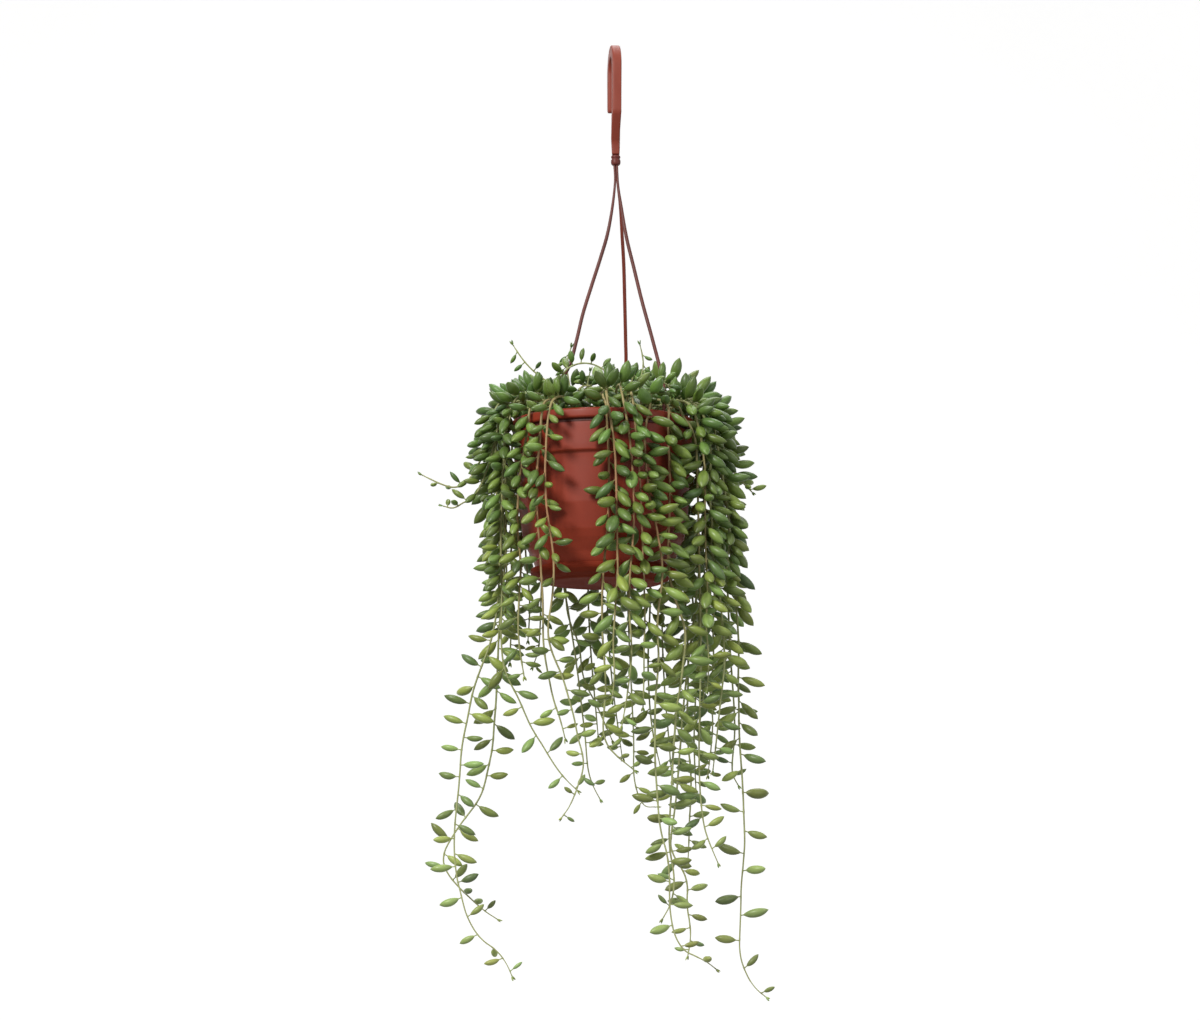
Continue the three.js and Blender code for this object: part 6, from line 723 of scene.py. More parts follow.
     ((1.209,130,-27,2.7,16.9,7.5),(1.97,144,-16,2.3,17.6,8.8),(3.044,86,-43,2.8,16.5,7.3),(3.937,10,-47,2.9,16.8,7.1),(5.055,-28,0,3.2,15.9,7.3),(5.802,138,-64,2.6,15.6,7.6),(6.735,-157,43,2.6,15.7,7.6),(7.304,49,42,2.4,16.7,7.4),(7.922,102,18,2.3,14.9,6.7),(8.579,131,-32,2.6,16.1,6.9),(9.253,52,-31,2.4,19,8),(9.806,-169,-49,2.6,14.4,6.6),(10.283,90,-27,2.5,16.4,7.7),(11.032,137,-29,2.9,19.2,9),(11.724,25,-44,2.4,16.4,7.3),(12.535,157,-46,2.8,15.5,6.6),(13.502,64,-37,2.9,15.9,6.7),(14.743,93,-49,3.1,16.3,7),(15.63,140,-29,3.1,17.6,8.4),(16.774,126,-29,2.5,16.7,7.5),(17.751,49,-33,3,15.6,7.5),(18.818,159,-9,2.9,17.5,8.6),(19.634,20,-54,2.9,18,7.9),(20.49,137,2,3,14.4,6.6),(21.343,29,-44,2.6,19.1,8.5),(22.219,159,-41,2.6,14.5,6.4),(23.165,89,-49,2.4,19,8.2),(24.209,149,-17,2.7,16.5,7.3),(25.206,55,-9,2.2,16.5,7.5),(26.782,136,-36,2.8,18.6,8.6),(28.288,4,15,2.4,17.7,7.9),(30.102,159,-30,2.3,17,7.6),(31.528,3,8,2.4,14.7,6.8),(32.82,177,-36,2.4,13.8,5.8),(34.127,-48,15,2.5,14,6.5),(35.809,144,-37,2.6,17.4,8.4),(37.77,22,27,2.8,14,6.8),(40.154,139,-38,2.6,10.2,4.5),)),
    ("trailing_shoot_11", (-8.5,-30,-319.4,-8.4,-33.5,-311.1,-8.3,-38.5,-303.6,-8.1,-44.7,-297,-7.8,-52.2,-292.2,-7.5,-61,-290.5,-8,-70,-291.6,-7.9,-77.8,-295.7,-6.8,-81,-304,-5.3,-82,-312.8,-3.9,-82,-321.7,-2.6,-82,-330.7,-1.6,-82,-339.7,-0.9,-82,-348.7,-0.5,-82,-357.7,-0.2,-82,-366.7,0,-82,-375.8,0.2,-82,-384.8,0.3,-82,-393.9,0.3,-82,-402.9,0.4,-82,-411.9,0.6,-82,-421,0.8,-82,-430,0.8,-82,-439,0.4,-82,-448.1,-0.3,-82,-457.1,-1,-82,-466.1,-1.6,-82,-475.1,-2.2,-82,-484.1,-2.6,-82,-493.2,-2.4,-82,-502.2,-1.9,-82,-511.2,-1.8,-82,-520.3,-2.6,-82,-529.3,-3.7,-82,-538.2),
     ((1.217,114,-14,2.7,20.5,10.2),(2.219,-78,-62,2.4,15.8,7.2),(3.01,-66,-27,2.7,20.5,9.7),(4.684,-58,75,3.1,19.9,8.9),(5.327,-162,-6,3.1,15.9,7.9),(5.846,-58,40,2.6,19.5,8.5),(6.466,-121,41,2.6,18.2,9),(7.252,-42,-39,2.9,15.7,6.7),(8.225,-113,-32,2.6,16.7,7.9),(8.993,-60,-17,2.8,18.1,8.8),(10.208,-144,-48,2.3,17.3,8.4),(11.316,-35,-48,2.3,19.8,9.5),(12.372,-149,-15,2.9,17.2,8.3),(13.576,-61,-27,3.2,19.6,9.2),(14.761,-179,-46,2.8,19.8,9.4),(15.705,-42,-46,2.6,18.2,8.9),(16.482,-131,-19,2.5,20.9,10.2),(17.223,-55,-35,2.8,19.5,9),(17.851,-110,-41,2.7,21.3,10.5),(18.498,-25,-37,3.1,16.2,8.1),(19.314,-151,-41,2.9,20.6,10.1),(20.409,-49,-27,3,19.9,9.3),(21.745,-155,-34,2.6,18.8,9.2),(22.99,-64,-50,3,19.9,8.5),(24.087,-118,-46,3,17.5,8.7),(25.019,-28,-28,2.9,21,10.2),(26.407,175,-49,2.7,20.5,9.6),(27.735,-32,-44,2.6,16.6,7.3),(28.704,155,-45,2.5,17.8,7.9),(29.69,-41,4,2.7,14.1,6.9),(30.924,164,-19,2.2,15.3,7),(32.315,-43,-5,2.7,13.7,5.9),(33.589,-159,-12,2.9,12.3,5.8),)),
    ("trailing_shoot_12", (-12.4,-43.2,-319.4,-12.4,-45.4,-310.7,-12.3,-48.1,-302.1,-12.2,-51.5,-293.8,-11.9,-57.8,-288.5,-11,-64.6,-294.3,-9.4,-70.8,-300.5,-8.1,-76.3,-305.1,-7.7,-78,-313.8,-7.2,-77.1,-322.8,-6.7,-76.2,-331.7,-6.3,-75.5,-340.7,-6,-74,-349.6,-5.9,-73,-358.5,-5.9,-72.2,-367.5,-6,-71.8,-376.5,-6.3,-70.9,-385.4,-6.7,-69.9,-394.4,-7.3,-69,-403.3,-8.1,-68.2,-412.3,-9,-67.4,-421.2,-9.8,-66.8,-430.2,-10.5,-66.3,-439.1,-11,-66,-448.1,-11.3,-65.9,-457.1,-11.3,-66,-466.1,-11.2,-66,-475.1,-11,-66,-484.2,-10.6,-66,-493.2,-9.9,-66,-502.1,-9.2,-66,-511.1,-8.6,-66,-520.1,-8.6,-66,-529.1,-9.2,-66,-538.1,-9.9,-66,-547.1,-10.5,-66,-556.1,-9.8,-66,-565,-6.3,-66,-573.3,-0.4,-66,-580,6.5,-66,-585.9,13.5,-66,-591.5),
     ((1.221,-77,-18,2.5,17.1,8.1),(2.549,-85,-17,2.4,15.6,7.7),(4.587,0,-25,2.9,14.7,7.3),(5.85,-139,12,2.6,18.6,8.6),(7.398,-157,-50,3,18.9,8.7),(8.852,-163,-46,2.9,16.9,8.1),(9.894,-4,-29,2.8,15.2,7.1),(10.94,-151,-51,2.6,17.3,8.1),(12.046,0,-37,2.9,15.5,7.6),(13.047,-111,-18,3,17.6,8.5),(13.845,-19,-39,3.2,16.7,7.7),(14.525,-169,-3,2.8,17.5,8.7),(15.405,-34,-48,2.6,17.4,7.9),(16.546,-135,-44,2.6,14.9,7.3),(17.671,-23,-16,3,14.3,6.6),(19.108,-134,-37,2.5,17.7,8.5),(20.47,-46,-49,2.4,14.6,6.8),(21.593,-155,-43,2.5,14.6,6.7),(22.476,-47,-43,3.2,15.2,7.4),(23.394,163,-29,3,18,8.8),(24.376,-24,-22,2.5,15.6,6.6),(25.309,158,-2,2.7,16.6,8.2),(26.475,1,-15,2.5,15.8,6.9),(27.475,-144,1,2.5,17.5,8.2),(28.945,-2,-38,2.5,17.2,7.6),(30.143,174,-47,2.6,15.7,6.9),(31.719,-12,-38,3,13.3,6.4),(33.536,-151,17,2.4,13.3,6.1),(34.896,13,-26,2.8,15.3,7.4),(35.955,-136,-35,2.9,15.4,7.1),(37.183,24,34,2.6,10.8,4.8),(38.321,-51,9,2.9,10,4.3),(39.651,-32,24,2.4,8.4,4.2),)),
    ("trailing_shoot_13", (7.1,-44.5,-319.4,7.6,-47,-310.8,8.2,-50.3,-302.4,8.8,-54.6,-294.6,10,-61.5,-289.8,11.5,-69.2,-293.6,12.9,-74.1,-301,13.9,-74.8,-309.7,14.8,-74.5,-318.7,15.6,-74.2,-327.6,16.4,-74,-336.6,17.1,-74,-345.5,17.8,-74,-354.5,18.4,-74,-363.5,18.8,-74,-372.4,19.2,-74,-381.4,19.5,-74,-390.4,19.8,-74,-399.4,20.1,-74,-408.3,20.5,-74,-417.3,20.8,-74,-426.3,21.2,-74,-435.3,21.5,-74,-444.3,21.7,-74,-453.2,22,-74,-462.2,22.1,-74,-471.2,22,-74,-480.2,21.7,-74,-489.2,21.5,-74,-498.2,21.3,-74,-507.1,21.3,-74,-516.1,21.1,-74,-525.1,20.9,-74,-534.1,20.5,-74,-543.1),
     ((1.224,-131,-17,3.2,14.8,6.6),(2.303,-44,-56,3.1,14.8,6.9),(3.349,127,69,2.6,16.9,7.6),(4.141,-6,35,2.7,18.5,8.4),(5.234,172,-16,2.3,14.8,6.7),(6.165,-14,-40,3.1,16.2,7.5),(6.8,-65,-49,3.1,16.7,7.6),(8.001,-49,-43,3.1,19,9),(8.579,-172,-4,3,16.1,7.4),(9.163,-72,-49,3.1,16.1,6.9),(9.916,176,-51,2.6,17.4,8),(10.553,-35,-38,2.8,18.4,8.1),(11.46,-92,-15,2.5,18.9,8.5),(12.559,-77,-14,2.3,15.5,7.7),(13.863,-56,-7,3,19.2,8.9),(15.155,-178,-38,2.3,15,6.6),(16.205,-20,-12,2.8,17.6,7.6),(17.588,-71,-37,3.1,18.7,8.5),(18.778,-56,-40,2.3,15,7.2),(19.93,-78,-51,2.3,17.7,8.6),(20.962,-18,-5,3.1,16.5,7.2),(21.882,-112,-46,2.9,14.4,6.4),(22.647,-30,-27,2.3,15.7,7.7),(23.797,146,-43,3,18.8,8.6),(25.434,-23,-44,2.6,17.6,8),(27.492,171,-23,2.5,18.3,9.1),(29.597,-27,10,3,12.3,5.3),(31.697,-179,-20,2.9,11.5,5.5),)),
    ("trailing_shoot_14", (-2.2,32,-319.4,-1.8,33.8,-310.6,-1.3,35.9,-301.9,-0.8,38.2,-293.2,-0.2,40.7,-284.6,0.7,43.6,-276.1,2.6,47.5,-268.3,3.4,55.7,-264.8,4.9,63,-269.3,5.8,67.8,-276.8,6.4,71.3,-285,6.7,73.8,-293.7,7.1,75.8,-302.4,7.4,76.2,-311.4,7.6,75.6,-320.3,7.9,74.7,-329.3,8.2,73.6,-338.2,8.4,72.3,-347.1,8.6,71.1,-356,8.8,70.1,-365,9,69.5,-373.9,9.2,68.7,-382.9,9.2,67.6,-391.8,9.3,66.9,-400.8,9.5,66.3,-409.7,9.6,66,-418.7,9.7,65.9,-427.7,9.9,65.9,-436.7,10.1,65.9,-445.7,10.3,66,-454.7,10.6,66,-463.7,11,66,-472.7,11.3,66,-481.7,11.7,66,-490.7,12.1,66,-499.6,12.5,66,-508.6,13,66,-517.6,13.4,66,-526.6,13.8,66,-535.6,14.2,66,-544.6,14.6,66,-553.5,14.8,66,-562.5,14.8,66,-571.5,14.6,66,-580.5,15,66,-589.5,16.5,66,-598.4,19.3,66,-606.9,24.4,66,-614.2,33,66,-614.9),
     ((1.223,28,-33,2.9,13.1,6.4),(2.1,-29,-42,2.9,14.9,6.6),(2.829,-177,13,2.5,15.3,7.2),(3.569,-117,-11,2.9,14.3,6.2),(4.293,125,-9,2.3,12.8,6.3),(4.799,-76,-13,3.1,16.8,7.2),(5.376,137,-2,2.8,10.8,4.8),(6.692,110,-40,2.6,14.5,6.2),(7.329,102,51,2.4,13.4,6.1),(8.178,146,5,2.2,15.6,6.6),(8.841,37,14,2.8,16.2,7.8),(9.947,155,-4,2.4,14.7,6.8),(10.881,21,-11,2.6,14.1,6.7),(12.108,116,-47,2.5,16.5,7.3),(13.162,53,-19,2.6,13.8,6.4),(14.176,167,-34,2.5,13.5,6),(14.868,78,-54,2.6,16,7.2),(15.467,152,-45,2.7,16.6,7.2),(16.271,60,-52,2.3,16.5,7.2),(16.905,128,-28,2.4,14.2,6.5),(17.443,31,-36,3.1,15.7,7.1),(18.104,148,-18,2.7,16.3,7.4),(18.791,10,-36,2.2,12.8,6),(19.743,126,-44,2.7,15.5,6.5),(20.76,29,-6,2.7,14.9,6.7),(21.872,142,-19,2.9,13.3,6.6),(23.244,43,-6,2.4,13.5,6.7),(24.353,106,0,3.1,13,6.2),(25.478,33,-6,2.6,15,6.4),(26.694,131,-29,2.8,16.2,7.9),(27.684,36,-13,3.1,13,5.7),(28.539,177,-10,3.1,15.7,6.9),(29.719,40,-50,2.7,16.2,8),(30.743,177,3,2.6,14.8,7.4),(32.176,7,-28,3.2,16.2,7.1),(33.87,-176,-46,2.9,14.4,6.8),(36.094,9,-23,2.3,16.1,8),(38.156,-161,-45,2.4,12.5,5.4),(39.328,-19,-35,3.2,12.3,5.8),(40.427,-174,13,3.1,14.7,6.8),(41.772,34,-3,2.7,12.6,5.9),(43.656,168,-34,3.1,11.5,5.3),(45,1,-22,2.4,11.3,5.6),(46.466,156,-52,2.2,10.1,4.7),)),
    ("trailing_shoot_15", (16.7,-40.7,-319.4,17.7,-43.4,-310.9,19,-47.2,-302.8,20.7,-52.3,-295.7,23.5,-59.9,-293,26.4,-67.3,-296.8,26.2,-70.4,-305.1,24.5,-71.5,-313.9,23.1,-71.8,-322.8,22.5,-72,-331.7,22.5,-72,-340.7,22.9,-72,-349.7,23.6,-72,-358.7,24.6,-72,-367.6,25.9,-72,-376.5,27.5,-72,-385.3,29.5,-72,-394.1,31.5,-72,-402.9,33.2,-72,-411.7,34.6,-72,-420.6,35.6,-72,-429.5,35.9,-72,-438.5,35.3,-72,-447.5,34.1,-72,-456.4,32.9,-72,-465.3,32.1,-72,-474.3,31.9,-72,-483.3,32.3,-72,-492.3,32.7,-72,-501.2,32.5,-72,-510.2,31.8,-72,-519.2,30.9,-72,-528.1,30.2,-72,-537.1,29.9,-72,-546.1,29.8,-72,-555.1,29.8,-72,-564.1,29.7,-72,-573.1,29.8,-72,-582.1,30.1,-72,-591,30.7,-72,-600,31.3,-72,-609,31.9,-72,-618,32.6,-72,-626.9,33.7,-72,-635.9,35.5,-72,-644.7,38,-72,-653.3,39.6,-72,-662.2,40.4,-72,-671.1,40.8,-72,-680.1,40.7,-72,-689.1,41,-72,-698.1,42.1,-72,-707,43.9,-72,-715.8,47.4,-72,-724.1,53,-72,-730.9,61,-72,-734.9,69,-72,-739.1,76.2,-72,-744.4),
     ((1.223,164,-4,2.4,14.9,6.7),(1.886,101,34,3.1,15.5,7.1),(3.132,-84,-17,3,17,7.3),(4.883,-61,27,3,19.2,9.5),(5.931,-109,21,2.5,21.2,10.3),(7.008,-23,-17,3,21,9.8),(8.203,-32,-36,2.2,18.4,9.2),(9.254,23,-22,2.3,18.9,8.7),(10.374,-36,5,2.9,20.2,8.7),(11.284,2,-19,2.5,17.3,8.2),(11.855,-62,-20,2.9,17.4,7.5),(12.558,3,-25,2.9,21.1,9.2),(13.17,-33,-39,3,18.7,8.7),(13.848,32,-45,2.7,18.7,8.2),(14.622,-92,-19,2.3,18.9,9),(15.589,-26,11,2.3,20.7,9.1),(16.475,13,6,2.5,20.6,9.2),(17.499,-38,-12,2.9,16.7,7.1),(18.678,-62,-20,2.2,17.3,8.6),(19.738,5,-16,2.4,20.5,10),(20.813,-13,-17,2.2,18.6,8.2),(22.09,-17,-29,2.6,21.3,9.7),(23.092,133,4,2.8,19.5,9.5),(24.285,13,-1,2.3,17.7,8.2),(25.371,143,-48,2.9,16.5,7.3),(26.224,26,-23,3.1,17.6,8.5),(27.165,-137,-9,2.2,16.8,7.6),(28.505,16,-48,2.5,16.9,7.2),(30.32,-127,14,2.2,18.1,8.5),(32.285,2,-17,3.1,18.4,8.8),(34.398,-169,-12,2.5,17,7.9),(35.92,24,-8,2.5,15.8,7.6),(37.478,-144,9,2.6,17.4,7.9),(39.373,18,-17,2.7,17.9,8.8),(40.775,-172,14,3,17.7,8.2),(42.234,-42,-15,2.4,16.5,7.1),(44.368,149,-28,2.5,15.7,6.8),(45.991,-21,-2,2.3,17,8.2),(47.739,-165,13,2.5,15.8,7.7),(49.68,2,-2,2.9,15,6.9),(51.45,-152,-16,2.4,18.2,8.3),(53.395,20,8,2.5,13,5.7),(55.691,-71,7,2.2,12.6,6.3),)),
    ("trailing_shoot_16", (16.9,-34.5,-319.4,18.7,-36.8,-310.9,22.1,-39.7,-303.2,27.6,-43.1,-297.2,33.5,-49.5,-296.2,38.8,-55.6,-299.5,41.6,-58.8,-306.9,41.3,-58.6,-315.9,41.2,-58.2,-324.9,41.4,-58.1,-333.8,41.7,-58,-342.8,42,-58,-351.7,42.3,-58,-360.7,42.3,-58,-369.6,42.1,-58,-378.6,41.8,-58,-387.5,41.4,-58,-396.5,41,-58,-405.4,40.8,-58,-414.4,40.9,-58,-423.4,41.4,-58,-432.3,42.4,-58,-441.2,44.2,-58,-450,46.8,-58,-458.6,49.7,-58,-467,52.5,-58,-475.5,54.1,-58,-484.3,53.9,-58,-493.3,52.9,-58,-502.2,51.9,-58,-511.1,50.8,-58,-520,49.5,-58,-528.8,47.9,-58,-537.7,46.7,-58,-546.5,46,-58,-555.5,45.3,-58,-564.4,44.6,-58,-573.3,44,-58,-582.3,43.6,-58,-591.2,43.2,-58,-600.2,42.7,-58,-609.1,42,-58,-618,41.5,-58,-627,41,-58,-635.9,40.9,-58,-644.9,41.5,-58,-653.8,43,-58,-662.7,44.3,-58,-671.5,44.5,-58,-680.5,43.2,-58,-689.3,40.3,-58,-697.8,35.9,-58,-705.6),
     ((5.03,-91,1,2.7,16.9,7.7),(6.035,-7,-40,2.2,17.6,8),(6.867,-31,-52,2.4,16.4,7.8),(7.589,48,-22,2.3,16.4,8.1),(8.157,-81,-27,2.8,20.9,10.2),(8.875,-17,-33,2.5,20.2,10.1),(9.477,31,-50,2.8,17,8.3),(10.182,-37,-48,2.9,20.5,9.2),(10.969,27,-47,2.3,21,8.9),(11.65,-158,-22,3.2,19,8.8),(12.402,-58,-17,3,18.3,8.9),(13.399,-39,-32,3.1,16.3,7.3),(14.303,15,-42,2.8,17.9,8.3),(15.404,-12,-46,2.5,18.7,8.7),(16.419,-159,-49,3.2,19.7,9.8),(17.561,-30,-42,3.1,21.1,9.5),(18.27,-164,-34,2.4,17.3,8.1),(18.953,-11,-45,2.3,16.7,7.4),(19.71,-146,-53,2.4,17.5,8.6),(20.396,-21,-35,3,20.5,10),(21.025,145,-50,3.1,19.2,8.8),(21.567,-12,-46,2.5,17.5,7.7),(22.208,-170,-35,2.4,16.2,7.5),(23.109,60,-25,2.7,21.1,9.3),(24.145,-168,-59,2.6,20,9.5),(25.24,9,-20,2.8,17.9,8.8),(26.653,-170,-47,3.1,19.8,9.2),(28.076,-5,-14,3,20.4,9.5),(29.24,178,-37,2.3,19,8.5),(30.749,-36,-45,2.9,15.9,7),(31.666,170,9,2.8,15.6,6.8),(32.594,-2,-48,2.4,16.3,7.7),(33.476,154,-20,2.3,18.7,8.7),(34.231,37,-33,3.1,17.5,8.3),(35.047,-168,-23,3.2,18.5,8),(36.477,-8,5,3,14.6,6.6),(37.557,-167,-24,3,18.3,9),(38.866,22,5,3.2,16.3,7.7),(39.898,177,-8,2.6,17.3,8.1),(41.128,8,13,2.5,16.2,7.6),(42.154,-146,-2,2.8,18.6,8.6),(43.593,6,15,2.5,16.1,7.2),(45.073,178,-19,2.9,17.4,7.9),(46.057,15,-8,2.7,13.4,6.6),(47.543,-153,20,3,12.2,5.2),(48.68,16,-33,2.8,13.9,6),(49.805,-159,38,2.7,10.1,4.5),)),
    ("trailing_shoot_17", (23.8,41.5,-319.4,24.8,42.6,-310.6,26,43.7,-301.8,27.2,44.9,-293.1,28.8,46.3,-284.4,31.6,48.6,-276.3,37.5,52.6,-276.9,40.5,54.9,-284.9,42.2,56.1,-293.6,43.6,56.6,-302.4,44.9,56.5,-311.2,46,56.1,-320.1,47.2,55.6,-328.9,48.3,55,-337.8,49.3,54.5,-346.6,50.2,54.2,-355.5,51,53.9,-364.4,51.8,53.9,-373.3,52.5,53.8,-382.2,53.2,53.9,-391.1,53.9,53.9,-400,54.6,54,-408.9,55.3,54,-417.8,56,54,-426.7,56.6,54,-435.6,57.3,54,-444.5,57.9,54,-453.4,58.4,54,-462.3,58.9,54,-471.2,59.2,54,-480.1,59.4,54,-489,59.5,54,-498,59.5,54,-506.9,59.3,54,-515.8,59.1,54,-524.7,58.7,54,-533.6,58.5,54,-542.6,58.6,54,-551.5,58.9,54,-560.4,59.6,54,-569.3,60.6,54,-578.2,61.3,54,-587.1,61.5,54,-596,61.3,54,-604.9,60.9,54,-613.8,60.3,54,-622.8,59.8,54,-631.7,59.6,54,-640.6,59.3,54,-649.5,58.7,54,-658.4),
     ((1.232,2,-37,2.9,13.7,6.6),(2.211,126,-4,2.5,21.5,10.2),(3.053,-9,-44,3.1,17.1,8.2),(3.827,157,10,2.2,16.7,7.4),(4.343,111,-20,2.9,18.5,8.3),(4.88,136,1,2.6,17.1,8.2),(5.49,109,-8,3.1,20.9,9),(6.05,94,-35,2.3,15.3,7.1),(6.736,-55,-50,3,16.5,7.9),(7.53,119,-50,2.7,18.5,8.6),(8.363,-2,-43,2.4,15.9,7.7),(9.118,73,3,3,16.5,7.9),(10.109,53,-39,2.4,19.1,9.2),(11.389,149,-26,2.3,16,7.3),(12.509,61,3,2.8,20.7,9.4),(13.587,81,-37,2.2,20.8,9.8),(14.634,75,-51,2.6,20.5,9.3),(15.477,-20,-46,2.4,20.2,9.7),(16.037,145,-46,2.2,16,7.4),(16.774,79,-42,2.3,20.2,8.8),(17.345,-72,-35,2.6,18.2,7.7),(18.05,135,-37,2.7,16,7.6),(18.805,-6,-44,2.8,21,9.4),(19.402,103,-42,2.2,18.8,9.2),(20.133,-92,-30,2.2,21.4,10.5),(21.107,115,-52,2.9,16.6,8.2),(21.973,-18,-45,2.8,16.1,7.7),(23.222,-172,-23,2.2,19.8,9.8),(24.374,1,-12,2.5,16.3,7.2),(25.306,140,-41,2.4,17.9,8),(26.155,-88,-20,2.4,19.5,9.3),(27.346,173,-26,3.2,20.3,10),(28.054,-19,-36,2.8,20.3,10.1),(28.849,-170,-5,2.9,15.8,6.9),(29.515,-107,-33,2.7,19.2,9.3),(30.277,-163,-48,2.5,18.1,8.8),(31.329,-6,-34,3,20.4,9.3),(32.351,173,-27,2.4,15.5,7.1),(33.337,-4,-25,2.3,17.2,8.4),(34.679,151,-43,2.7,14.8,7.2),(36.253,-11,-32,2.9,15.6,7.6),(37.742,-179,-6,2.6,16.3,7.1),(38.903,-4,-17,2.7,14.7,6.7),(39.99,155,3,2.8,16,7.2),(40.915,-37,-4,2.4,17.6,8.3),(41.881,142,7,2.3,17.5,7.9),(42.832,45,-26,2.3,17.1,8.3),(44.125,177,1,2.7,15.4,7.2),(45.043,-20,11,2.8,14.6,7),(46.291,-169,-1,2.4,13,6.4),(47.174,4,-23,2.2,13.6,6.1),(48.095,154,20,2.2,11.4,5),)),
    ("trailing_shoot_18", (19,-18.7,-319.4,21.1,-21,-311,24.7,-24.3,-303.5,29.2,-29.8,-298.3,36.4,-34.1,-298.5,43.3,-38.6,-301.1,49.8,-44.6,-301,53.4,-45.9,-309.1,58.7,-44.9,-316.2,62.1,-44.4,-324.5,63.6,-44.2,-333.3,64.1,-44.1,-342.3,64.4,-44,-351.2,64.6,-44,-360.2,64.8,-44,-369.2,65,-44,-378.1,65.2,-44,-387.1,65.3,-44,-396.1,65.4,-44,-405,65.6,-44,-414,65.7,-44,-423,65.8,-44,-431.9,66,-44,-440.9,66.1,-44,-449.9,66.3,-44,-458.8,66.4,-44,-467.8,66.6,-44,-476.8,66.7,-44,-485.7,66.7,-44,-494.7,66.7,-44,-503.7,66.5,-44,-512.6,66.2,-44,-521.6,66,-44,-530.6,65.7,-44,-539.5,65.5,-44,-548.5,65.2,-44,-557.5,65,-44,-566.4,64.9,-44,-575.4,64.9,-44,-584.4,65.1,-44,-593.3,65.4,-44,-602.3,65.9,-44,-611.2,66.7,-44,-620.2,67.8,-44,-629.1,69.6,-44,-637.9,72.4,-44,-646.4,75.8,-44,-654.7,79.3,-44,-662.9),
     ((1.227,-169,-25,2.9,16.5,7.2),(5.774,-101,1,2.2,15.8,7),(7.391,55,-16,3.1,18.6,8.4),(8.248,-112,-39,2.3,15.6,7.4),(9.342,113,-36,2.9,15.8,7.1),(10.068,101,-50,2.4,20.7,9.9),(10.795,179,-24,2.8,15.7,7.4),(11.492,171,-38,2.4,16,7),(12.03,75,-49,2.7,12.8,5.4),(12.541,144,-25,2.9,12.8,6),(13.093,41,-50,3,14.7,7.2),(13.665,165,-49,3,20.3,9.4),(14.884,-83,-29,3.2,20.7,8.8),(15.705,94,8,3.1,17.9,8.5),(16.482,176,-27,2.9,19.5,8.5),(17.535,148,-43,2.3,19.7,9.2),(18.689,-132,-31,3.1,19.9,9.4),(19.597,78,3,2.4,18.2,7.9),(20.435,-164,-26,2.6,17.1,8.2),(21.493,62,-49,3.2,21.5,9.7),(22.29,152,-6,2.5,19.7,8.6),(23.116,23,-23,2.8,15.9,7.8),(23.858,125,-22,2.9,21.3,9.5),(24.468,83,-47,2.4,17.2,7.4),(25.353,144,-51,3.1,20.5,9.6),(26.249,60,-33,2.6,19.7,8.9),(27.094,142,-41,2.6,18.2,8.9),(28.104,62,-19,3,12.9,6.2),(29.161,174,-31,2.9,20.1,9.8),(30.375,19,-27,2.3,15.1,6.5),(31.529,-167,-20,2.3,20.1,8.8),(32.802,-31,12,2.8,16.4,7.3),(34.055,140,-37,2.8,17.8,7.7),(34.913,47,-42,2.2,17.6,8.4),(35.917,158,1,2.9,16.8,7.2),(37.222,18,-11,2.8,14.1,6.5),(38.339,154,-4,2.3,17.7,8.4),(39.634,-10,-21,3.2,14.6,7.2),(40.831,166,-6,2.3,17.6,8.6),(41.727,-2,-11,2.7,13.6,5.8),(42.733,-158,-34,3,15.2,6.9),(43.665,1,25,3.1,14.4,6.7),(44.663,-169,-38,2.3,13.5,6.2),(45.652,2,36,2.7,12.2,6.1),)),
    ("trailing_shoot_19", (22.3,13.9,-319.4,24.1,14.8,-310.6,26.5,15.9,-302,29.1,17.2,-293.5,32.2,18.8,-285.1,36,20.7,-277.2,42.1,23.4,-271.3,50.4,26.8,-270.8,58.1,29.2,-274.5,63.8,30.6,-281.3,67.7,30.3,-289.4,70.1,30.1,-298.1,71.6,30.1,-307,72.8,30,-315.9,73.6,30,-324.9,73.9,30,-333.9,74,30,-342.9,73.7,30,-351.9,73.3,30,-361,72.7,30,-370,72.1,30,-379,71.4,30,-387.9,70.7,30,-396.9,69.9,30,-405.9,69.1,30,-414.9,68.1,30,-423.9,67.2,30,-432.8,66.1,30,-441.8,65.1,30,-450.8,64,30,-459.7,62.9,30,-468.7,61.8,30,-477.6,60.7,30,-486.6,59.5,30,-495.5,58.4,30,-504.4,57.3,30,-513.4,56.2,30,-522.4,55.2,30,-531.3,54.4,30,-540.3,53.6,30,-549.3,52.9,30,-558.3,52.2,30,-567.3,51.4,30,-576.2,50.7,30,-585.2,50,30,-594.2,49.2,30,-603.2,48.3,30,-612.2,47.1,30,-621.1,45.8,30,-630.1,44.6,30,-639,44.3,30,-648,47.1,30,-656.4,51.9,30,-664.1,55.8,30,-672.2,57.5,30,-681,57.2,30,-690,57.6,30,-699,59,30,-707.9,59.8,30,-716.9,59.3,30,-725.9,57.7,30,-734.8),
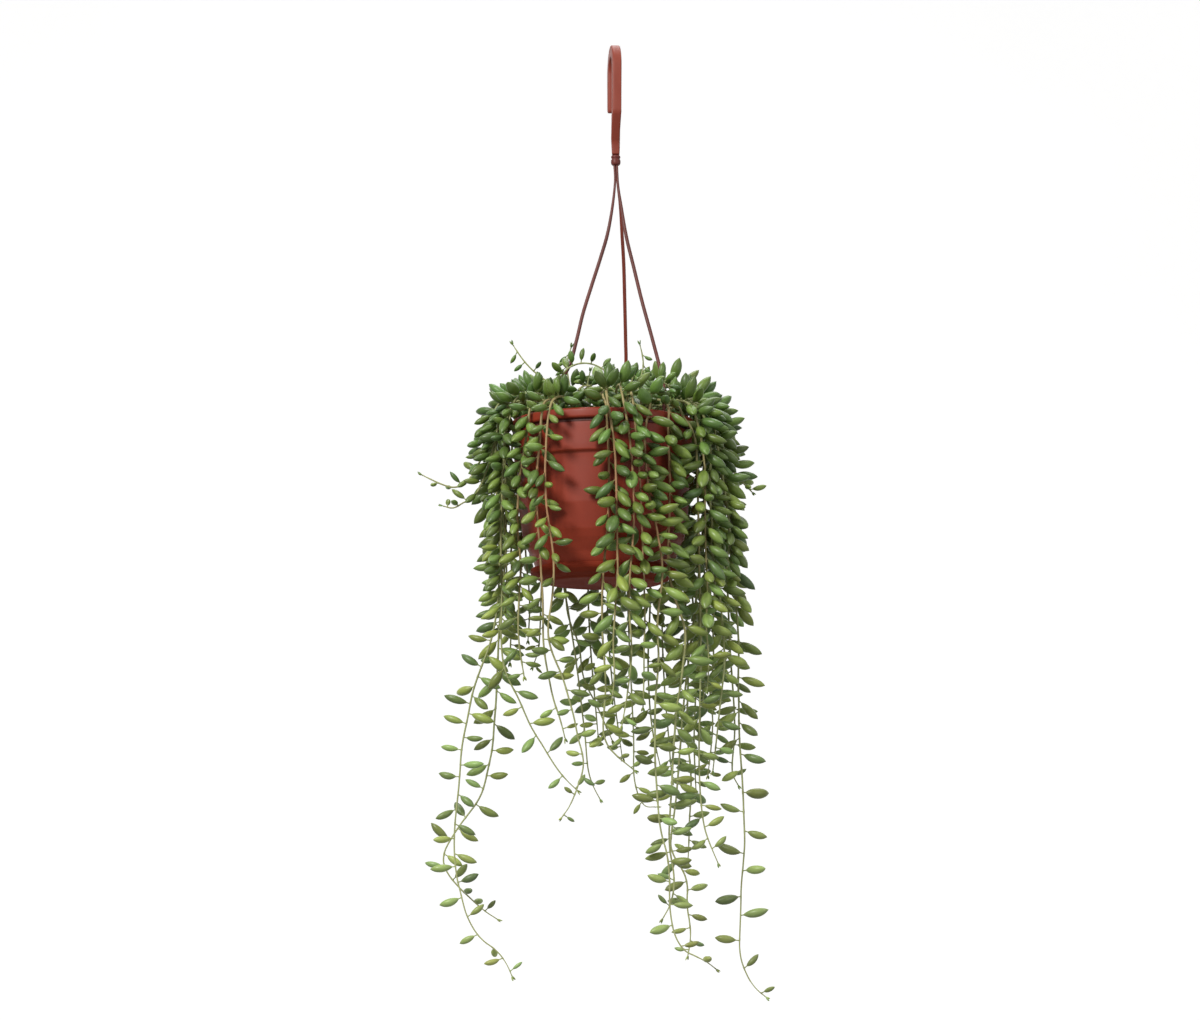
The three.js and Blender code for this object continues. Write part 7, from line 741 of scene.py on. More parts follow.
     ((3.265,-172,27,3,17.6,7.9),(4.033,-99,-10,3.1,13.4,5.8),(4.907,162,19,2.6,20,9.1),(5.796,-124,46,3.1,21.3,10),(6.424,-45,64,2.8,20.7,9.7),(7.093,17,34,3.1,20.2,8.9),(10.069,128,-56,3.1,21,10.3),(11.361,-48,-30,2.7,16.5,7.3),(12.088,-89,-40,2.5,15,7.5),(13.673,155,-20,2.9,21,9.2),(14.685,155,-32,2.8,18.8,8.8),(15.639,129,-40,2.3,17.8,7.7),(16.768,173,-37,2.3,16.9,8.2),(17.531,31,-37,2.9,19.7,9.8),(18.435,138,-33,2.2,16.2,7.4),(19.114,31,-48,2.7,18.6,8.7),(19.851,-83,-19,2.2,18.5,8.1),(20.483,156,-39,2.6,20.4,8.8),(20.961,-69,-29,2.4,16.6,7.6),(21.407,-22,-43,2.2,19.2,8.7),(21.989,-87,-33,2.6,18.1,8.9),(22.588,102,-46,3,15.8,6.7),(23.335,-11,-47,2.7,18.5,7.9),(24.15,-165,-42,2.4,20.4,9.9),(24.872,-93,-6,3,21.3,9.3),(25.605,148,-15,2.3,19.2,8.3),(26.606,32,-40,2.9,17.5,7.6),(27.695,28,-53,3,18.9,8.2),(28.7,-44,-48,3.1,16.3,7),(29.859,-156,-2,2.5,16,6.9),(30.837,-41,-46,2.7,18.6,9.1),(31.497,-152,-43,2.8,20.3,8.6),(32.243,-12,-36,2.5,15.7,6.7),(32.919,155,15,3,19.7,8.5),(33.692,-7,-12,2.3,19.3,8.9),(34.534,-162,-24,3,17,8.4),(35.226,10,-14,3,15.9,7.3),(36.233,156,-20,2.7,18,8.5),(37.518,-29,-7,3,15.1,6.4),(38.592,179,14,2.5,15.1,6.7),(40.009,-26,-39,3,15.6,7.4),(41.3,-165,16,2.9,17.5,8),(42.191,27,-40,3.1,14.6,7.3),(43.245,-164,-11,2.6,16.6,7.2),(44.299,2,-29,2.3,16.1,7.5),(45.081,-168,-20,3.2,15.3,6.6),(46.116,-17,4,2.5,15.8,7.6),(47.196,178,-11,2.2,14,6.6),(48.221,9,-21,2.5,15.5,7.3),(49.248,-173,-18,2.6,15.2,6.6),(50.439,-12,5,2.8,14.5,6.2),(51.439,157,-40,2.4,16.5,7.6),(52.415,30,-6,2.2,14.4,6.5),(53.443,-155,-18,2.6,18.1,8.3),(54.23,30,13,3.2,16.6,7.5),(55.182,145,1,2.4,16.5,7.6),(56.38,1,-15,2.7,13.1,6.5),(57.546,-168,-17,3.1,12.8,5.4),(58.704,33,-19,3.2,11.2,4.7),(59.506,170,2,2.9,9.1,4.4),)),
    ("trailing_shoot_20", (6.9,49.3,-319.4,7.4,50.6,-310.6,8.1,51.8,-301.8,8.9,53.1,-293,9.7,54.4,-284.2,10.6,56,-275.4,11.8,58.3,-266.9,14.4,62.4,-259.6,19.1,69,-261.7,21.7,73.6,-268.6,22.2,75.2,-277.4,22.2,75.9,-286.3,22.2,76,-295.2,22.3,76,-304.1,22.6,76,-313.1,23,76,-322,23.6,76,-330.9,24.2,76,-339.8,24.8,76,-348.7,25.4,76,-357.6,26,76,-366.5,26.7,76,-375.5,27.3,76,-384.4,27.9,76,-393.3,28.4,76,-402.2,28.7,76,-411.1,28.9,76,-420.1,28.9,76,-429,28.9,76,-437.9,28.7,76,-446.9,28.4,76,-455.8,28,76,-464.7,27.6,76,-473.6,27.2,76,-482.6,27,76,-491.5,27,76,-500.4,27.2,76,-509.3,27.6,76,-518.3,28,76,-527.2,28.7,76,-536.1,29.6,76,-545,30.9,76,-553.8,32.5,76,-562.6,34.5,76,-571.3,36.6,76,-580),
     ((1.231,8,-30,3.1,15,7.5),(2.008,169,-48,3,19.6,8.3),(2.947,-171,-39,2.4,16.1,6.9),(3.56,77,-23,3.2,18.1,9),(5.481,75,-51,2.9,18.6,8.7),(6.694,-82,16,3,19.6,9),(7.508,98,48,2.4,19.2,9.6),(8.25,66,34,3.1,17.5,7.9),(9.11,53,-26,2.9,15.8,7.1),(9.884,167,-38,2.4,19.3,9.1),(11.08,42,-3,2.6,17.5,7.7),(12.211,54,-6,2.5,15.2,7.2),(13.155,35,-47,3,19.9,9.5),(14.148,111,-41,2.8,17.4,7.3),(15.049,5,-31,3,16.2,7.4),(15.843,58,-6,3.1,16,7.8),(16.441,52,-43,2.6,16.7,7.4),(16.99,-37,-7,2.6,20.2,10),(17.731,44,-36,2.5,18.4,8.4),(18.357,123,-2,2.3,15.1,7.3),(18.983,53,-32,3.2,15.9,6.8),(19.792,136,-24,2.5,17.4,7.6),(20.871,28,-31,2.5,16.8,7.3),(22.099,128,-33,2.5,15.5,6.6),(23.046,49,-35,2.3,16.5,7.5),(23.981,125,-5,2.6,20,8.7),(25.009,18,2,2.6,17.6,7.4),(25.857,135,-41,2.5,15.7,7.4),(26.761,44,3,3,16,7.3),(27.427,24,-30,2.4,17.6,7.5),(28.272,23,-44,2.8,18.9,8.9),(29.051,159,-43,2.7,16.5,7.7),(29.622,-7,-45,3,15.7,6.8),(30.622,144,-28,2.5,19.9,8.5),(31.512,9,-48,2.6,17.1,7.9),(32.65,-174,-33,2.5,18.9,9),(34.33,27,7,3,14.6,7),(36.038,136,-1,3,15.7,6.8),(37.446,40,-13,2.5,18.3,8),(38.649,168,-45,2.6,15.8,7.2),(39.608,-55,-23,2.6,16,7.2),(40.668,148,-32,2.8,15.1,6.4),(41.574,-2,-15,3.1,14.3,6.1),(42.781,169,-37,2.4,10.2,4.9),)),
    ("trailing_shoot_21", (-2.5,-35.2,-319.4,-2,-38.1,-310.8,-1.4,-41.9,-302.6,-0.7,-46.7,-294.9,0.3,-52.9,-288.4,1.6,-61.4,-286.4,3,-69.9,-289.2,4.3,-76.2,-295.4,5.8,-78.7,-304,7.4,-79.6,-312.9,8.9,-79.9,-321.8,10.2,-80,-330.9,11.2,-80,-339.9,12,-80,-349,12.7,-80,-358,13.2,-80,-367.1,13.5,-80,-376.2,13.6,-80,-385.3,13.5,-80,-394.4,13.2,-80,-403.5,12.7,-80,-412.6,12.1,-80,-421.7,11.3,-80,-430.7,10.6,-80,-439.8,10.1,-80,-448.9,9.8,-80,-458,9.8,-80,-467.1,10.3,-80,-476.2,11,-80,-485.2,11.5,-80,-494.3,11.5,-80,-503.4,10.9,-80,-512.5,9.9,-80,-521.5,8.6,-80,-530.6,7.3,-80,-539.5,5.7,-80,-548.5,4.1,-80,-557.5),
     ((2.11,-75,-61,2.2,14.7,6.8),(3.217,30,19,2.5,17.4,8.3),(3.759,73,63,2.8,16.5,8.1),(5.088,-16,41,3.1,17.2,8.4),(5.934,-54,56,3.2,18.9,9.2),(6.929,-45,16,3,17.6,8.7),(7.738,-49,-40,2.6,18,8.3),(8.682,167,-47,2.7,14.6,6.7),(9.393,-105,-47,3.1,18.9,8.9),(10.83,-56,-15,2.5,19.4,9),(12.02,-69,-21,2.8,21.5,9.1),(13.84,-94,-49,3,21.1,10),(15.874,-49,-25,2.3,16.6,8.3),(16.607,-70,-39,2.3,18.5,8.9),(17.377,-2,-51,3.1,16.7,8),(18.477,93,-47,3.1,20.7,9.7),(19.688,156,-24,3,21.8,10.6),(20.463,-56,-45,2.4,16.6,7),(21.529,135,-44,2.8,20.4,8.7),(22.131,-67,-30,2.7,16.8,7.3),(22.747,119,-49,2.5,17.8,8.8),(23.404,-54,-21,2.3,20.8,9.5),(24.059,60,-38,2.7,16.7,8),(24.747,-9,-31,2.5,17.6,7.8),(25.378,105,-12,3.1,17.1,7.7),(26.172,1,-45,2.7,16.3,7.1),(26.896,159,-45,2.7,16.1,7.5),(28.051,67,2,3.1,20.6,9),(29.268,167,-10,2.2,16,6.9),(30.608,80,-43,2.8,17.3,7.6),(31.684,133,-21,3.1,17,7.4),(33.071,-30,-40,2.7,16.6,8.2),(34.14,161,-25,2.3,15,7.1),(35.265,-4,-37,2.4,9.9,4.6),)),
    ("trailing_shoot_22", (40.5,-6.5,-319.4,42.5,-6.7,-310.7,45.4,-6.9,-302.2,49.4,-7.1,-294.2,56,-7.4,-288.7,64.8,-7.7,-288.9,72.3,-7.9,-293.4,76.7,-8,-301.2,79.3,-8,-309.8,81,-8,-318.5,82.3,-8,-327.4,83.4,-8,-336.3,84.4,-8,-345.2,85.6,-8,-354.1,87.1,-8,-362.9,88.7,-8,-371.7,90.1,-8,-380.5,90.9,-8,-389.5,91.5,-8,-398.4,92,-8,-407.3,92.7,-8,-416.3,93.5,-8,-425.2,94.5,-8,-434.1,95.4,-8,-443,96,-8,-451.9,96.7,-8,-460.9,97.4,-8,-469.8,97.9,-8,-478.7,98.3,-8,-487.7,98.3,-8,-496.6,98,-8,-505.6,97.8,-8,-514.5,97.8,-8,-523.5,98.1,-8,-532.4,98.1,-8,-541.4,98.1,-8,-550.3,98.3,-8,-559.3,98.7,-8,-568.2,99.2,-8,-577.2,99.8,-8,-586.1,100.4,-8,-595,100.8,-8,-604,101.2,-8,-612.9,101.4,-8,-621.9,101.7,-8,-630.8,102,-8,-639.8,101.9,-8,-648.7,101.2,-8,-657.7,100.4,-8,-666.6,99.5,-8,-675.5,98.9,-8,-684.4,98.7,-8,-693.4,98.4,-8,-702.3,98,-8,-711.3,97.6,-8,-720.2,97.5,-8,-729.2,98.7,-8,-738,101.6,-8,-746.5,105.6,-8,-754.5,111.1,-8,-761.5,118,-8,-767.2),
     ((1.228,56,-15,2.6,19.1,8.6),(3.348,71,-17,2.5,18.8,8.6),(4.073,-91,66,3.1,18.9,9),(4.969,25,17,2.5,21.1,9.7),(5.682,76,-45,2.4,19.3,9.5),(6.369,-32,-26,3.2,23.1,10.6),(6.912,-117,-53,2.4,22.5,10),(7.473,5,-29,3,20.4,8.7),(8.002,139,-32,2.3,20,9.5),(8.458,-33,-44,2.9,23.8,11.5),(9.093,-154,-34,2.3,20.5,9.7),(9.571,137,-42,3,23.2,11.4),(10.086,21,-25,2.6,18.8,8.7),(10.704,-22,-48,2.9,18.5,8.4),(11.422,170,-41,2.4,21.8,10.2),(12.184,47,-34,2.5,23,11.1),(13.101,-6,-36,2.9,21.4,10.3),(13.99,65,-33,2.8,22.8,10.6),(15.262,55,-43,2.7,18.6,9.2),(16.185,-48,-33,2.7,23.4,11.7),(17.279,-28,-47,3.1,20.2,8.5),(18.363,52,-19,2.3,22,10.5),(19.118,-30,-50,2.4,21.9,10.2),(19.813,55,-19,3.1,19.9,8.6),(20.494,-168,-14,2.3,18.6,8.3),(21.212,8,-44,2.5,22,9.3),(21.753,-100,-40,2.6,19.9,8.6),(22.554,50,-50,3.1,18.2,8.3),(23.474,-41,-43,2.6,20.4,8.8),(24.507,31,-43,2.4,20.5,8.9),(26.074,166,-7,2.3,23.2,10.5),(27.733,-7,-32,2.3,19.2,9.1),(29.499,-175,-18,2.7,17.3,8.6),(30.975,-16,-17,2.7,20.2,9),(32.193,-171,-13,3.1,22.7,10.2),(33.066,-13,-44,2.7,18.8,8.4),(34.04,-167,-35,2.6,20.8,10),(35.013,-32,-34,2.9,17.4,8.3),(36.41,169,-36,2.8,16.8,8.3),(37.825,-20,-19,2.9,19.1,8.4),(39.253,-162,-26,2.8,16.3,7.2),(41.251,27,-2,2.7,21.1,10.3),(42.988,177,15,3,16.6,7.1),(44.667,-4,-17,2.6,16,7.8),(46.666,163,14,3,20.5,9.2),(48.189,-36,5,3.2,18.4,9),(50.436,-161,-11,2.4,19.9,9),(52.117,-8,10,2.3,20.2,8.7),(54.329,-176,8,3,16.7,7.8),(56.793,13,39,2.6,13.5,5.7),(59.441,-32,21,2.8,10.6,4.6),)),
    ("trailing_shoot_23", (18.1,-11.4,-319.4,20.8,-13.1,-311.1,26,-15.3,-304.1,32.3,-18,-298.3,39.7,-21.3,-294.6,47.9,-24.5,-293.2,56.5,-27.1,-293.8,64.4,-29.1,-297.3,69.6,-29.8,-304.4,72.6,-29.9,-312.9,74.4,-30,-321.7,75.4,-30,-330.6,75.8,-30,-339.6,75.5,-30,-348.6,75,-30,-357.5,74.7,-30,-366.5,75,-30,-375.5,75.9,-30,-384.4,76.7,-30,-393.3,76.7,-30,-402.3,76.2,-30,-411.3,76.8,-30,-420.2,78.2,-30,-429.1,80,-30,-437.9,81.7,-30,-446.7,83,-30,-455.6,83.7,-30,-464.6,84.3,-30,-473.5,85,-30,-482.5,85.6,-30,-491.4,86,-30,-500.4,85.7,-30,-509.4,84.7,-30,-518.3,83.6,-30,-527.2,82.5,-30,-536.1,81.5,-30,-545,80.5,-30,-554,79.5,-30,-562.9,78.5,-30,-571.8,77.4,-30,-580.7,76.3,-30,-589.6),
     ((1.225,-169,12,2.9,19.9,8.6),(3.078,64,38,2.4,15.4,6.5),(3.556,-121,20,3,19,8.3),(4.124,-106,-44,2.9,14.1,6.5),(4.517,-17,75,3,18.2,7.8),(4.883,-78,45,3.1,16.5,7.7),(5.308,-93,-33,2.8,15.7,7.7),(5.673,-81,26,2.7,16.5,7.1),(6.099,-87,-28,2.6,13.7,6.4),(6.576,-63,25,2.3,18,7.6),(7.04,-5,16,2.8,18.3,7.9),(7.48,-32,-14,3,19,9.1),(8.203,-78,-48,3.1,18.7,8.5),(8.816,-21,-21,3.1,17.1,8.1),(9.563,-27,-46,2.9,17.3,7.8),(10.397,-117,-46,2.3,19.1,8.3),(11.201,-16,-35,2.2,15.1,6.5),(12.15,-5,-48,3,16.5,7.2),(12.816,-71,-47,3.1,16.8,7.6),(13.421,5,-47,2.9,17.6,7.8),(14.263,-67,-38,3.1,20,9.8),(14.862,-167,-13,3.2,19.9,8.6),(15.426,3,-9,2.3,15.2,6.8),(15.893,50,-17,3.1,18.2,8),(16.311,-19,-27,2.9,16.8,8.3),(16.931,-176,-47,2.8,20.1,9.5),(17.417,-20,-26,2.7,17.3,8.2),(18.043,-46,-47,2.9,17.3,7.5),(18.562,49,-19,2.7,17.1,8),(19.114,-63,-49,2.5,15.7,6.9),(19.683,79,-17,2.7,18.9,9.4),(20.38,-29,-44,3.1,17.1,7.7),(21.055,58,-27,3.2,17.9,7.6),(21.879,-14,-28,2.7,17.5,7.8),(22.644,-74,-30,3.2,17.8,8.3),(23.749,-2,-13,3.1,19.3,8.6),(24.469,-13,-29,2.3,17,7.9),(25.653,163,-8,2.7,15.1,6.8),(26.698,-36,-43,2.8,15.8,6.9),(27.648,135,-45,2.4,19,8.4),(28.274,-6,-38,3.1,17.3,8.4),(29.136,-173,-50,2.8,14.8,7.1),(29.796,17,-21,2.2,18.8,9.1),(30.497,-172,-45,2.2,16.7,7.1),(31.389,41,-27,2.2,15.6,7.2),(32.192,164,-25,2.4,16.5,7.1),(33.196,4,-2,2.7,14.5,6.6),(34.256,156,-1,2.4,14.7,6.6),(35.594,-13,-27,2.5,16.5,7.9),(36.892,175,14,2.4,15.2,6.7),(38.016,22,-12,3.1,13.3,6.3),(39.154,-171,18,2.9,11,5),)),
    ("trailing_shoot_24", (28.4,10.5,-319.4,30.7,11.1,-310.7,34.3,11.7,-302.4,38.8,12.1,-294.6,44.8,12.5,-287.9,52.9,12.9,-284.3,61.9,13.3,-284.3,70.2,13.7,-287.6,76.1,13.9,-294.4,79.6,14,-302.7,81.6,14,-311.5,82.7,14,-320.5,83.3,14,-329.5,83.4,14,-338.6,83.2,14,-347.6,82.8,14,-356.7,82.5,14,-365.7,82.3,14,-374.8,82.1,14,-383.8,81.9,14,-392.9,81.7,14,-401.9,81.5,14,-411,81.2,14,-420,80.7,14,-429,80.2,14,-438.1,79.7,14,-447.1,79.3,14,-456.2,79,14,-465.2,78.7,14,-474.2,78.7,14,-483.3,78.9,14,-492.3,78.8,14,-501.4,77.5,14,-510.3,76.1,14,-519.3,76.1,14,-528.3,77.1,14,-537.3,77.9,14,-546.3,77.7,14,-555.4,77,14,-564.4,76.1,14,-573.4,75,14,-582.4,73.9,14,-591.4),
     ((1.63,-44,-35,2.5,16.9,7.7),(2.017,64,-11,2.9,16.2,7.9),(2.522,18,-36,2.8,17,8.1),(2.966,-164,8,3.1,18.1,7.7),(3.501,-45,-43,2.3,15.4,7.3),(3.966,-98,20,2.5,15.8,7.1),(4.591,131,72,2.6,15.5,7.1),(5.304,-75,25,2.3,18.3,7.8),(5.978,46,35,2.5,19,8.1),(6.598,-5,46,3,19,9.4),(7.346,28,-2,2.5,18.9,8),(7.991,-10,-11,2.7,17.4,7.4),(8.68,25,-13,2.4,18,8.5),(9.439,-12,-7,2.6,20.3,8.5),(10.089,-6,-28,2.5,19.8,8.6),(10.606,138,-31,2.4,15.1,7.3),(11.296,-2,-24,2.9,18,8.1),(11.839,46,-37,2.6,17.4,8.1),(12.335,-29,-41,3,16.4,6.9),(12.859,43,-51,2.6,18.5,9.2),(13.374,140,-12,2.8,17.8,8.5),(13.778,131,-50,2.9,18.7,8.9),(14.26,24,-48,2.2,19.2,8.4),(14.863,-101,-44,3.1,19.1,9.4),(15.603,74,-47,3.1,19,9),(16.198,-75,-50,2.7,19.3,8.8),(16.795,92,-47,3,16.8,8.3),(17.522,19,-33,3,18.8,9.1),(18.475,-32,-38,2.6,15,7.2),(19.229,27,-49,3,18.2,8.7),(19.943,-70,-30,2.4,16.3,7.8),(20.946,13,-52,3.1,16.6,7.4),(21.582,-67,-29,2.2,19.4,8.7),(22.243,140,-40,2.7,17.1,7.7),(22.866,-13,-19,2.2,16.4,6.9),(23.56,34,-10,2.9,17.3,7.3),(24.133,5,-49,2.7,16.5,7.1),(24.665,68,-27,2.9,19.2,8.2),(25.142,-29,-40,2.8,18,8),(25.802,161,-16,2.9,15.9,7.6),(26.606,5,-37,2.6,15.3,6.9),(27.46,171,-46,2.4,17.4,7.5),(28.568,-26,-32,2.9,18.1,8.1),(29.891,-171,-5,2.6,16.2,7.9),(31.089,-22,-49,2.5,17.6,8.2),(32.339,165,5,3.1,17.8,7.7),(33.492,-23,-27,3.1,17,8.3),(34.599,-178,-42,2.8,15.5,7.7),(35.478,4,9,3,17.2,7.7),(36.376,149,-40,2.4,14.2,6.8),(37.222,13,-30,2.8,13.5,5.8),(37.915,-178,11,2.6,13,5.8),(38.984,8,1,2.3,10.9,5.4),(39.88,165,-31,2.4,10.9,4.6),(40.786,-34,-14,2.7,9.7,4.4),)),
    ("trailing_shoot_25", (28,15.6,-319.4,29.9,16.3,-310.6,32.7,17.1,-302,36,18.2,-293.6,40.2,19.7,-285.7,46.6,21.7,-279.8,55.2,24,-279.2,63.8,26,-281.3,71.4,28.1,-285.5,77.1,29.3,-292.5,80.9,29.8,-300.7,83.3,29.9,-309.5,85,30,-318.4,86.3,30,-327.4,87.2,30,-336.4,87.8,30,-345.5,88.3,30,-354.6,88.7,30,-363.6,89.1,30,-372.7,89.4,30,-381.8,89.7,30,-390.9,90,30,-400,90.3,30,-409.1,90.6,30,-418.1,90.9,30,-427.2,91.2,30,-436.3,91.5,30,-445.4,91.8,30,-454.5,92.1,30,-463.6,92.4,30,-472.6,92.7,30,-481.7,93.1,30,-490.8,93.7,30,-499.9,94.3,30,-508.9,94.9,30,-518,95.5,30,-527.1,96,30,-536.2,96.3,30,-545.2,96.4,30,-554.3,95.9,30,-563.4,95,30,-572.4,94.2,30,-581.5,94.7,30,-590.5,98.8,30,-598.6),
     ((1.21,133,-14,2.8,14.6,6.1),(1.838,149,14,2.7,15.6,7.6),(3.522,135,12,2.9,15.5,7.5),(4.154,-102,23,3.2,15.9,7.1),(5.02,89,-10,2.9,13.4,6.6),(5.767,-29,55,2.7,16.1,7.7),(6.264,84,-51,3.2,17.4,7.9),(6.779,-65,-47,2.5,17.1,7.6),(7.931,-25,15,3,16.1,7.4),(8.453,17,-25,2.2,18.5,8.9),(8.811,-124,-44,2.8,17.4,7.4),(9.246,90,-25,2.2,18.2,8),(9.646,138,-47,3.1,15.2,7.1),(10.032,4,-37,3.1,19.8,9),(10.512,142,-50,3.1,17.6,7.5),(11.024,-52,-36,2.5,16.4,8.1),(11.532,117,-49,2.8,17.1,7.6),(12.344,15,-12,2.9,19.9,9.5),(12.962,78,-37,2.3,18.9,9),(13.772,44,-50,2.8,20.2,9.6),(14.529,156,-51,2.6,16.2,7.5),(15.559,-7,-3,3.1,15.8,7.5),(16.242,53,-2,3.2,15,7.1),(17.179,6,-15,2.8,16.2,7.4),(18.006,64,-3,2.4,18.8,8.5),(18.592,-11,-47,2.8,17.9,8.1),(19.303,73,-29,3.1,16.4,6.9),(19.818,-26,-45,2.3,18.2,8.1),(20.422,57,-51,2.5,15.9,7.8),(20.994,132,5,2.5,18.5,8.1),(21.498,-18,-43,2.9,16.5,7.6),(22.073,40,-50,2.8,19.7,8.4),(22.816,151,-49,3,16.1,7),(23.625,18,-41,2.5,19.3,9.2),(24.296,-176,-25,2.5,18.9,9.4),(25.094,4,-45,3,19.4,8.3),(26.044,65,-34,2.8,18.6,9.1),(27.205,-27,-46,2.8,16.8,8.3),(28.439,162,-4,2.5,15.7,7.3),(29.778,-13,-34,2.4,19.5,8.7),(30.773,169,-50,2.2,14.6,6.9),(31.6,-28,-29,2.5,16.7,8),(32.666,173,-34,2.8,17.6,8.4),(33.57,14,-32,2.3,15.9,6.9),(34.602,-170,-35,2.7,18,8.7),(36.071,-5,-12,2.3,17,7.2),(37.488,-138,-13,3.2,17,8.3),(39.28,-10,-7,2.8,15.2,7.5),(40.93,177,17,2.7,12.4,5.6),(42.161,-21,28,2.5,10,4.3),)),
    ("trailing_shoot_26", (24.5,-12.1,-319.4,27.5,-13.4,-310.9,32.7,-13.7,-303.3,39.3,-14.2,-297,47.4,-15.8,-293.6,55.4,-20.2,-293.2,64,-23,-294.2,71.4,-23.7,-299,76.2,-24,-306.8,78.9,-24,-315.6,80.5,-24,-324.6,82.2,-24,-333.6,83.8,-24,-342.7,85.3,-24,-351.7,86.4,-24,-360.8,87.7,-24,-369.9,89.2,-24,-379,90.2,-24,-388.1,90.5,-24,-397.3,90.3,-24,-406.4,89.7,-24,-415.6,88.8,-24,-424.7,87.8,-24,-433.8),
     ((1.199,-92,-28,2.9,14.3,6.6),(2.218,57,-21,2.5,14.5,6.1),(3.822,44,-41,2.8,17,7.9),(4.615,38,-16,3,16.3,8.1),(6.288,-148,-86,2.7,16.8,7.2),(7.31,-31,-28,3,16.4,7.4),(8.397,15,-35,2.3,16.3,7.1),(9.828,-34,6,2.9,17.4,8.2),(10.588,8,-39,2.3,20.3,8.6),(11.241,86,-49,2.6,18,8.2),(11.957,40,-48,2.9,18,7.8),(12.665,178,-15,2.8,19.1,9.6),(13.423,-20,-1,2.7,20.1,8.8),(14.108,122,-32,2.5,18,8),(14.578,21,-43,2.7,19.9,8.9),(15.484,-40,-21,2.7,17.4,8.3),(15.933,-27,-47,2.4,14.4,6.3),(16.33,152,-45,2.4,20.1,9.1),(17.426,-12,-44,2.6,17.4,7.4),(17.965,-90,-49,3,18,8.6),(18.586,23,-36,2.5,18.1,9),(19.217,-38,-41,2.5,16,7),(19.941,37,-45,2.7,12.8,5.7),(20.736,13,-50,2.7,13.9,6.2),(21.765,-22,-32,2.9,11.4,5.7),)),
    ("trailing_shoot_27", (29.4,26.2,-319.4,30.8,25.7,-310.7,33.1,26.1,-302.1,35.6,27.4,-293.6,38.8,29.4,-285.6,43.1,33.3,-279,49.8,37.8,-276.1,58,41.1,-277.2,63.7,43,-283.5,67.1,43.7,-291.7,69.3,43.9,-300.3,70.7,44,-309.1,71.6,44,-317.9,72.2,44,-326.8,72.6,44,-335.7,72.8,44,-344.5,72.9,44,-353.4,72.8,44,-362.3,72.5,44,-371.2,72.2,44,-380.1,72,44,-389,72,44,-397.9,72.2,44,-406.8,72.6,44,-415.6,73,44,-424.5,73.5,44,-433.4,73.9,44,-442.3,74.4,44,-451.2,74.8,44,-460,75.2,44,-468.9,75.5,44,-477.8,75.4,44,-486.7,74.9,44,-495.6,74.2,44,-504.4,73.2,44,-513.3,72.1,44,-522.1,70.9,44,-530.9,69.7,44,-539.7,68.4,44,-548.5,67,44,-557.3),
     ((2.607,157,8,2.6,19.1,9.1),(5.674,97,-13,2.3,17,7.8),(6.391,95,-42,3,14.6,6.7),(7.295,49,10,3.1,16.4,7.2),(8.059,78,-41,2.9,20,9.7),(8.943,-19,18,2.8,16.3,7.2),(9.744,57,-21,2.7,18.5,9.2),(10.48,26,-36,2.6,19.9,9.4),(11.062,98,-44,3,19.1,9.1),(11.475,-118,-9,2.5,20.2,9.3),(11.891,168,-52,3.1,17.2,8),(12.321,21,-9,3,18.8,8),(12.792,24,-37,2.4,15.6,7.1),(13.247,-55,-48,2.2,17.4,7.5),(13.77,15,-48,2.7,15.2,6.6),(14.265,81,-40,2.6,15.5,7.2),(14.748,145,-42,2.4,17.7,8.4),(15.368,26,-20,2.3,16.5,7.5),(16.151,73,-8,2.3,16.6,8.1),(16.974,12,-37,2.4,18.9,8),(17.909,52,-46,2.4,15.4,7.6),(18.754,11,-49,2.6,18.6,8.4),(19.727,140,-7,3.1,16.4,7.4),(20.47,58,-26,2.3,18.4,8.5),(21.307,-12,-45,2.7,17.5,8.4),(22.257,47,-30,3,16,7.7),(22.866,165,1,2.7,16.7,8.2),(23.54,10,-43,3.2,15.5,6.9),(24.209,75,-27,2.6,18.7,9),(24.849,-20,-35,2.3,16.9,8.4),(25.308,174,-18,2.5,16.9,7.7),(25.959,-11,-33,3.2,16.3,7),(26.651,150,-50,2.3,18.5,8.5),(27.419,5,-23,2.5,17,7.3),(28.271,-154,-52,2.9,16.7,7.3),(29.248,16,-13,3.2,19.1,9.4),(30.55,-135,-16,2.4,16.5,7),(31.978,-6,-34,3.2,18.5,8.6),(33.461,171,-31,3,14.6,6.5),(34.522,25,-12,2.5,14.9,7.4),(35.477,177,19,2.6,12.6,6.1),(36.266,21,-29,2.2,11.9,5.2),(37.239,-166,-16,2.2,12.4,5.3),(38.139,17,-37,2.6,9.9,4.4),)),
    ("trailing_shoot_28", (20.6,-23.8,-319.4,23.2,-25.7,-311.1,28.5,-27.6,-304.1,34.8,-29,-297.9,41.6,-33.8,-295,49,-38.8,-295,56.5,-42.9,-297.3,61.3,-45,-304.4,64.5,-45.7,-312.8,66.7,-45.9,-321.5,68.3,-46,-330.3,69.4,-46,-339.2,70.2,-46,-348.2,70.6,-46,-357.1,70.7,-46,-366.1,70.6,-46,-375.1,70.5,-46,-384.1,70.5,-46,-393.1,70.5,-46,-402,70.7,-46,-411,71,-46,-420,71.4,-46,-429,71.9,-46,-437.9,72.2,-46,-446.9,72,-46,-455.9,71.4,-46,-464.9,71.1,-46,-473.8,71.3,-46,-482.8,72,-46,-491.8,72.6,-46,-500.7,72.6,-46,-509.7,72.1,-46,-518.7,71.3,-46,-527.6),
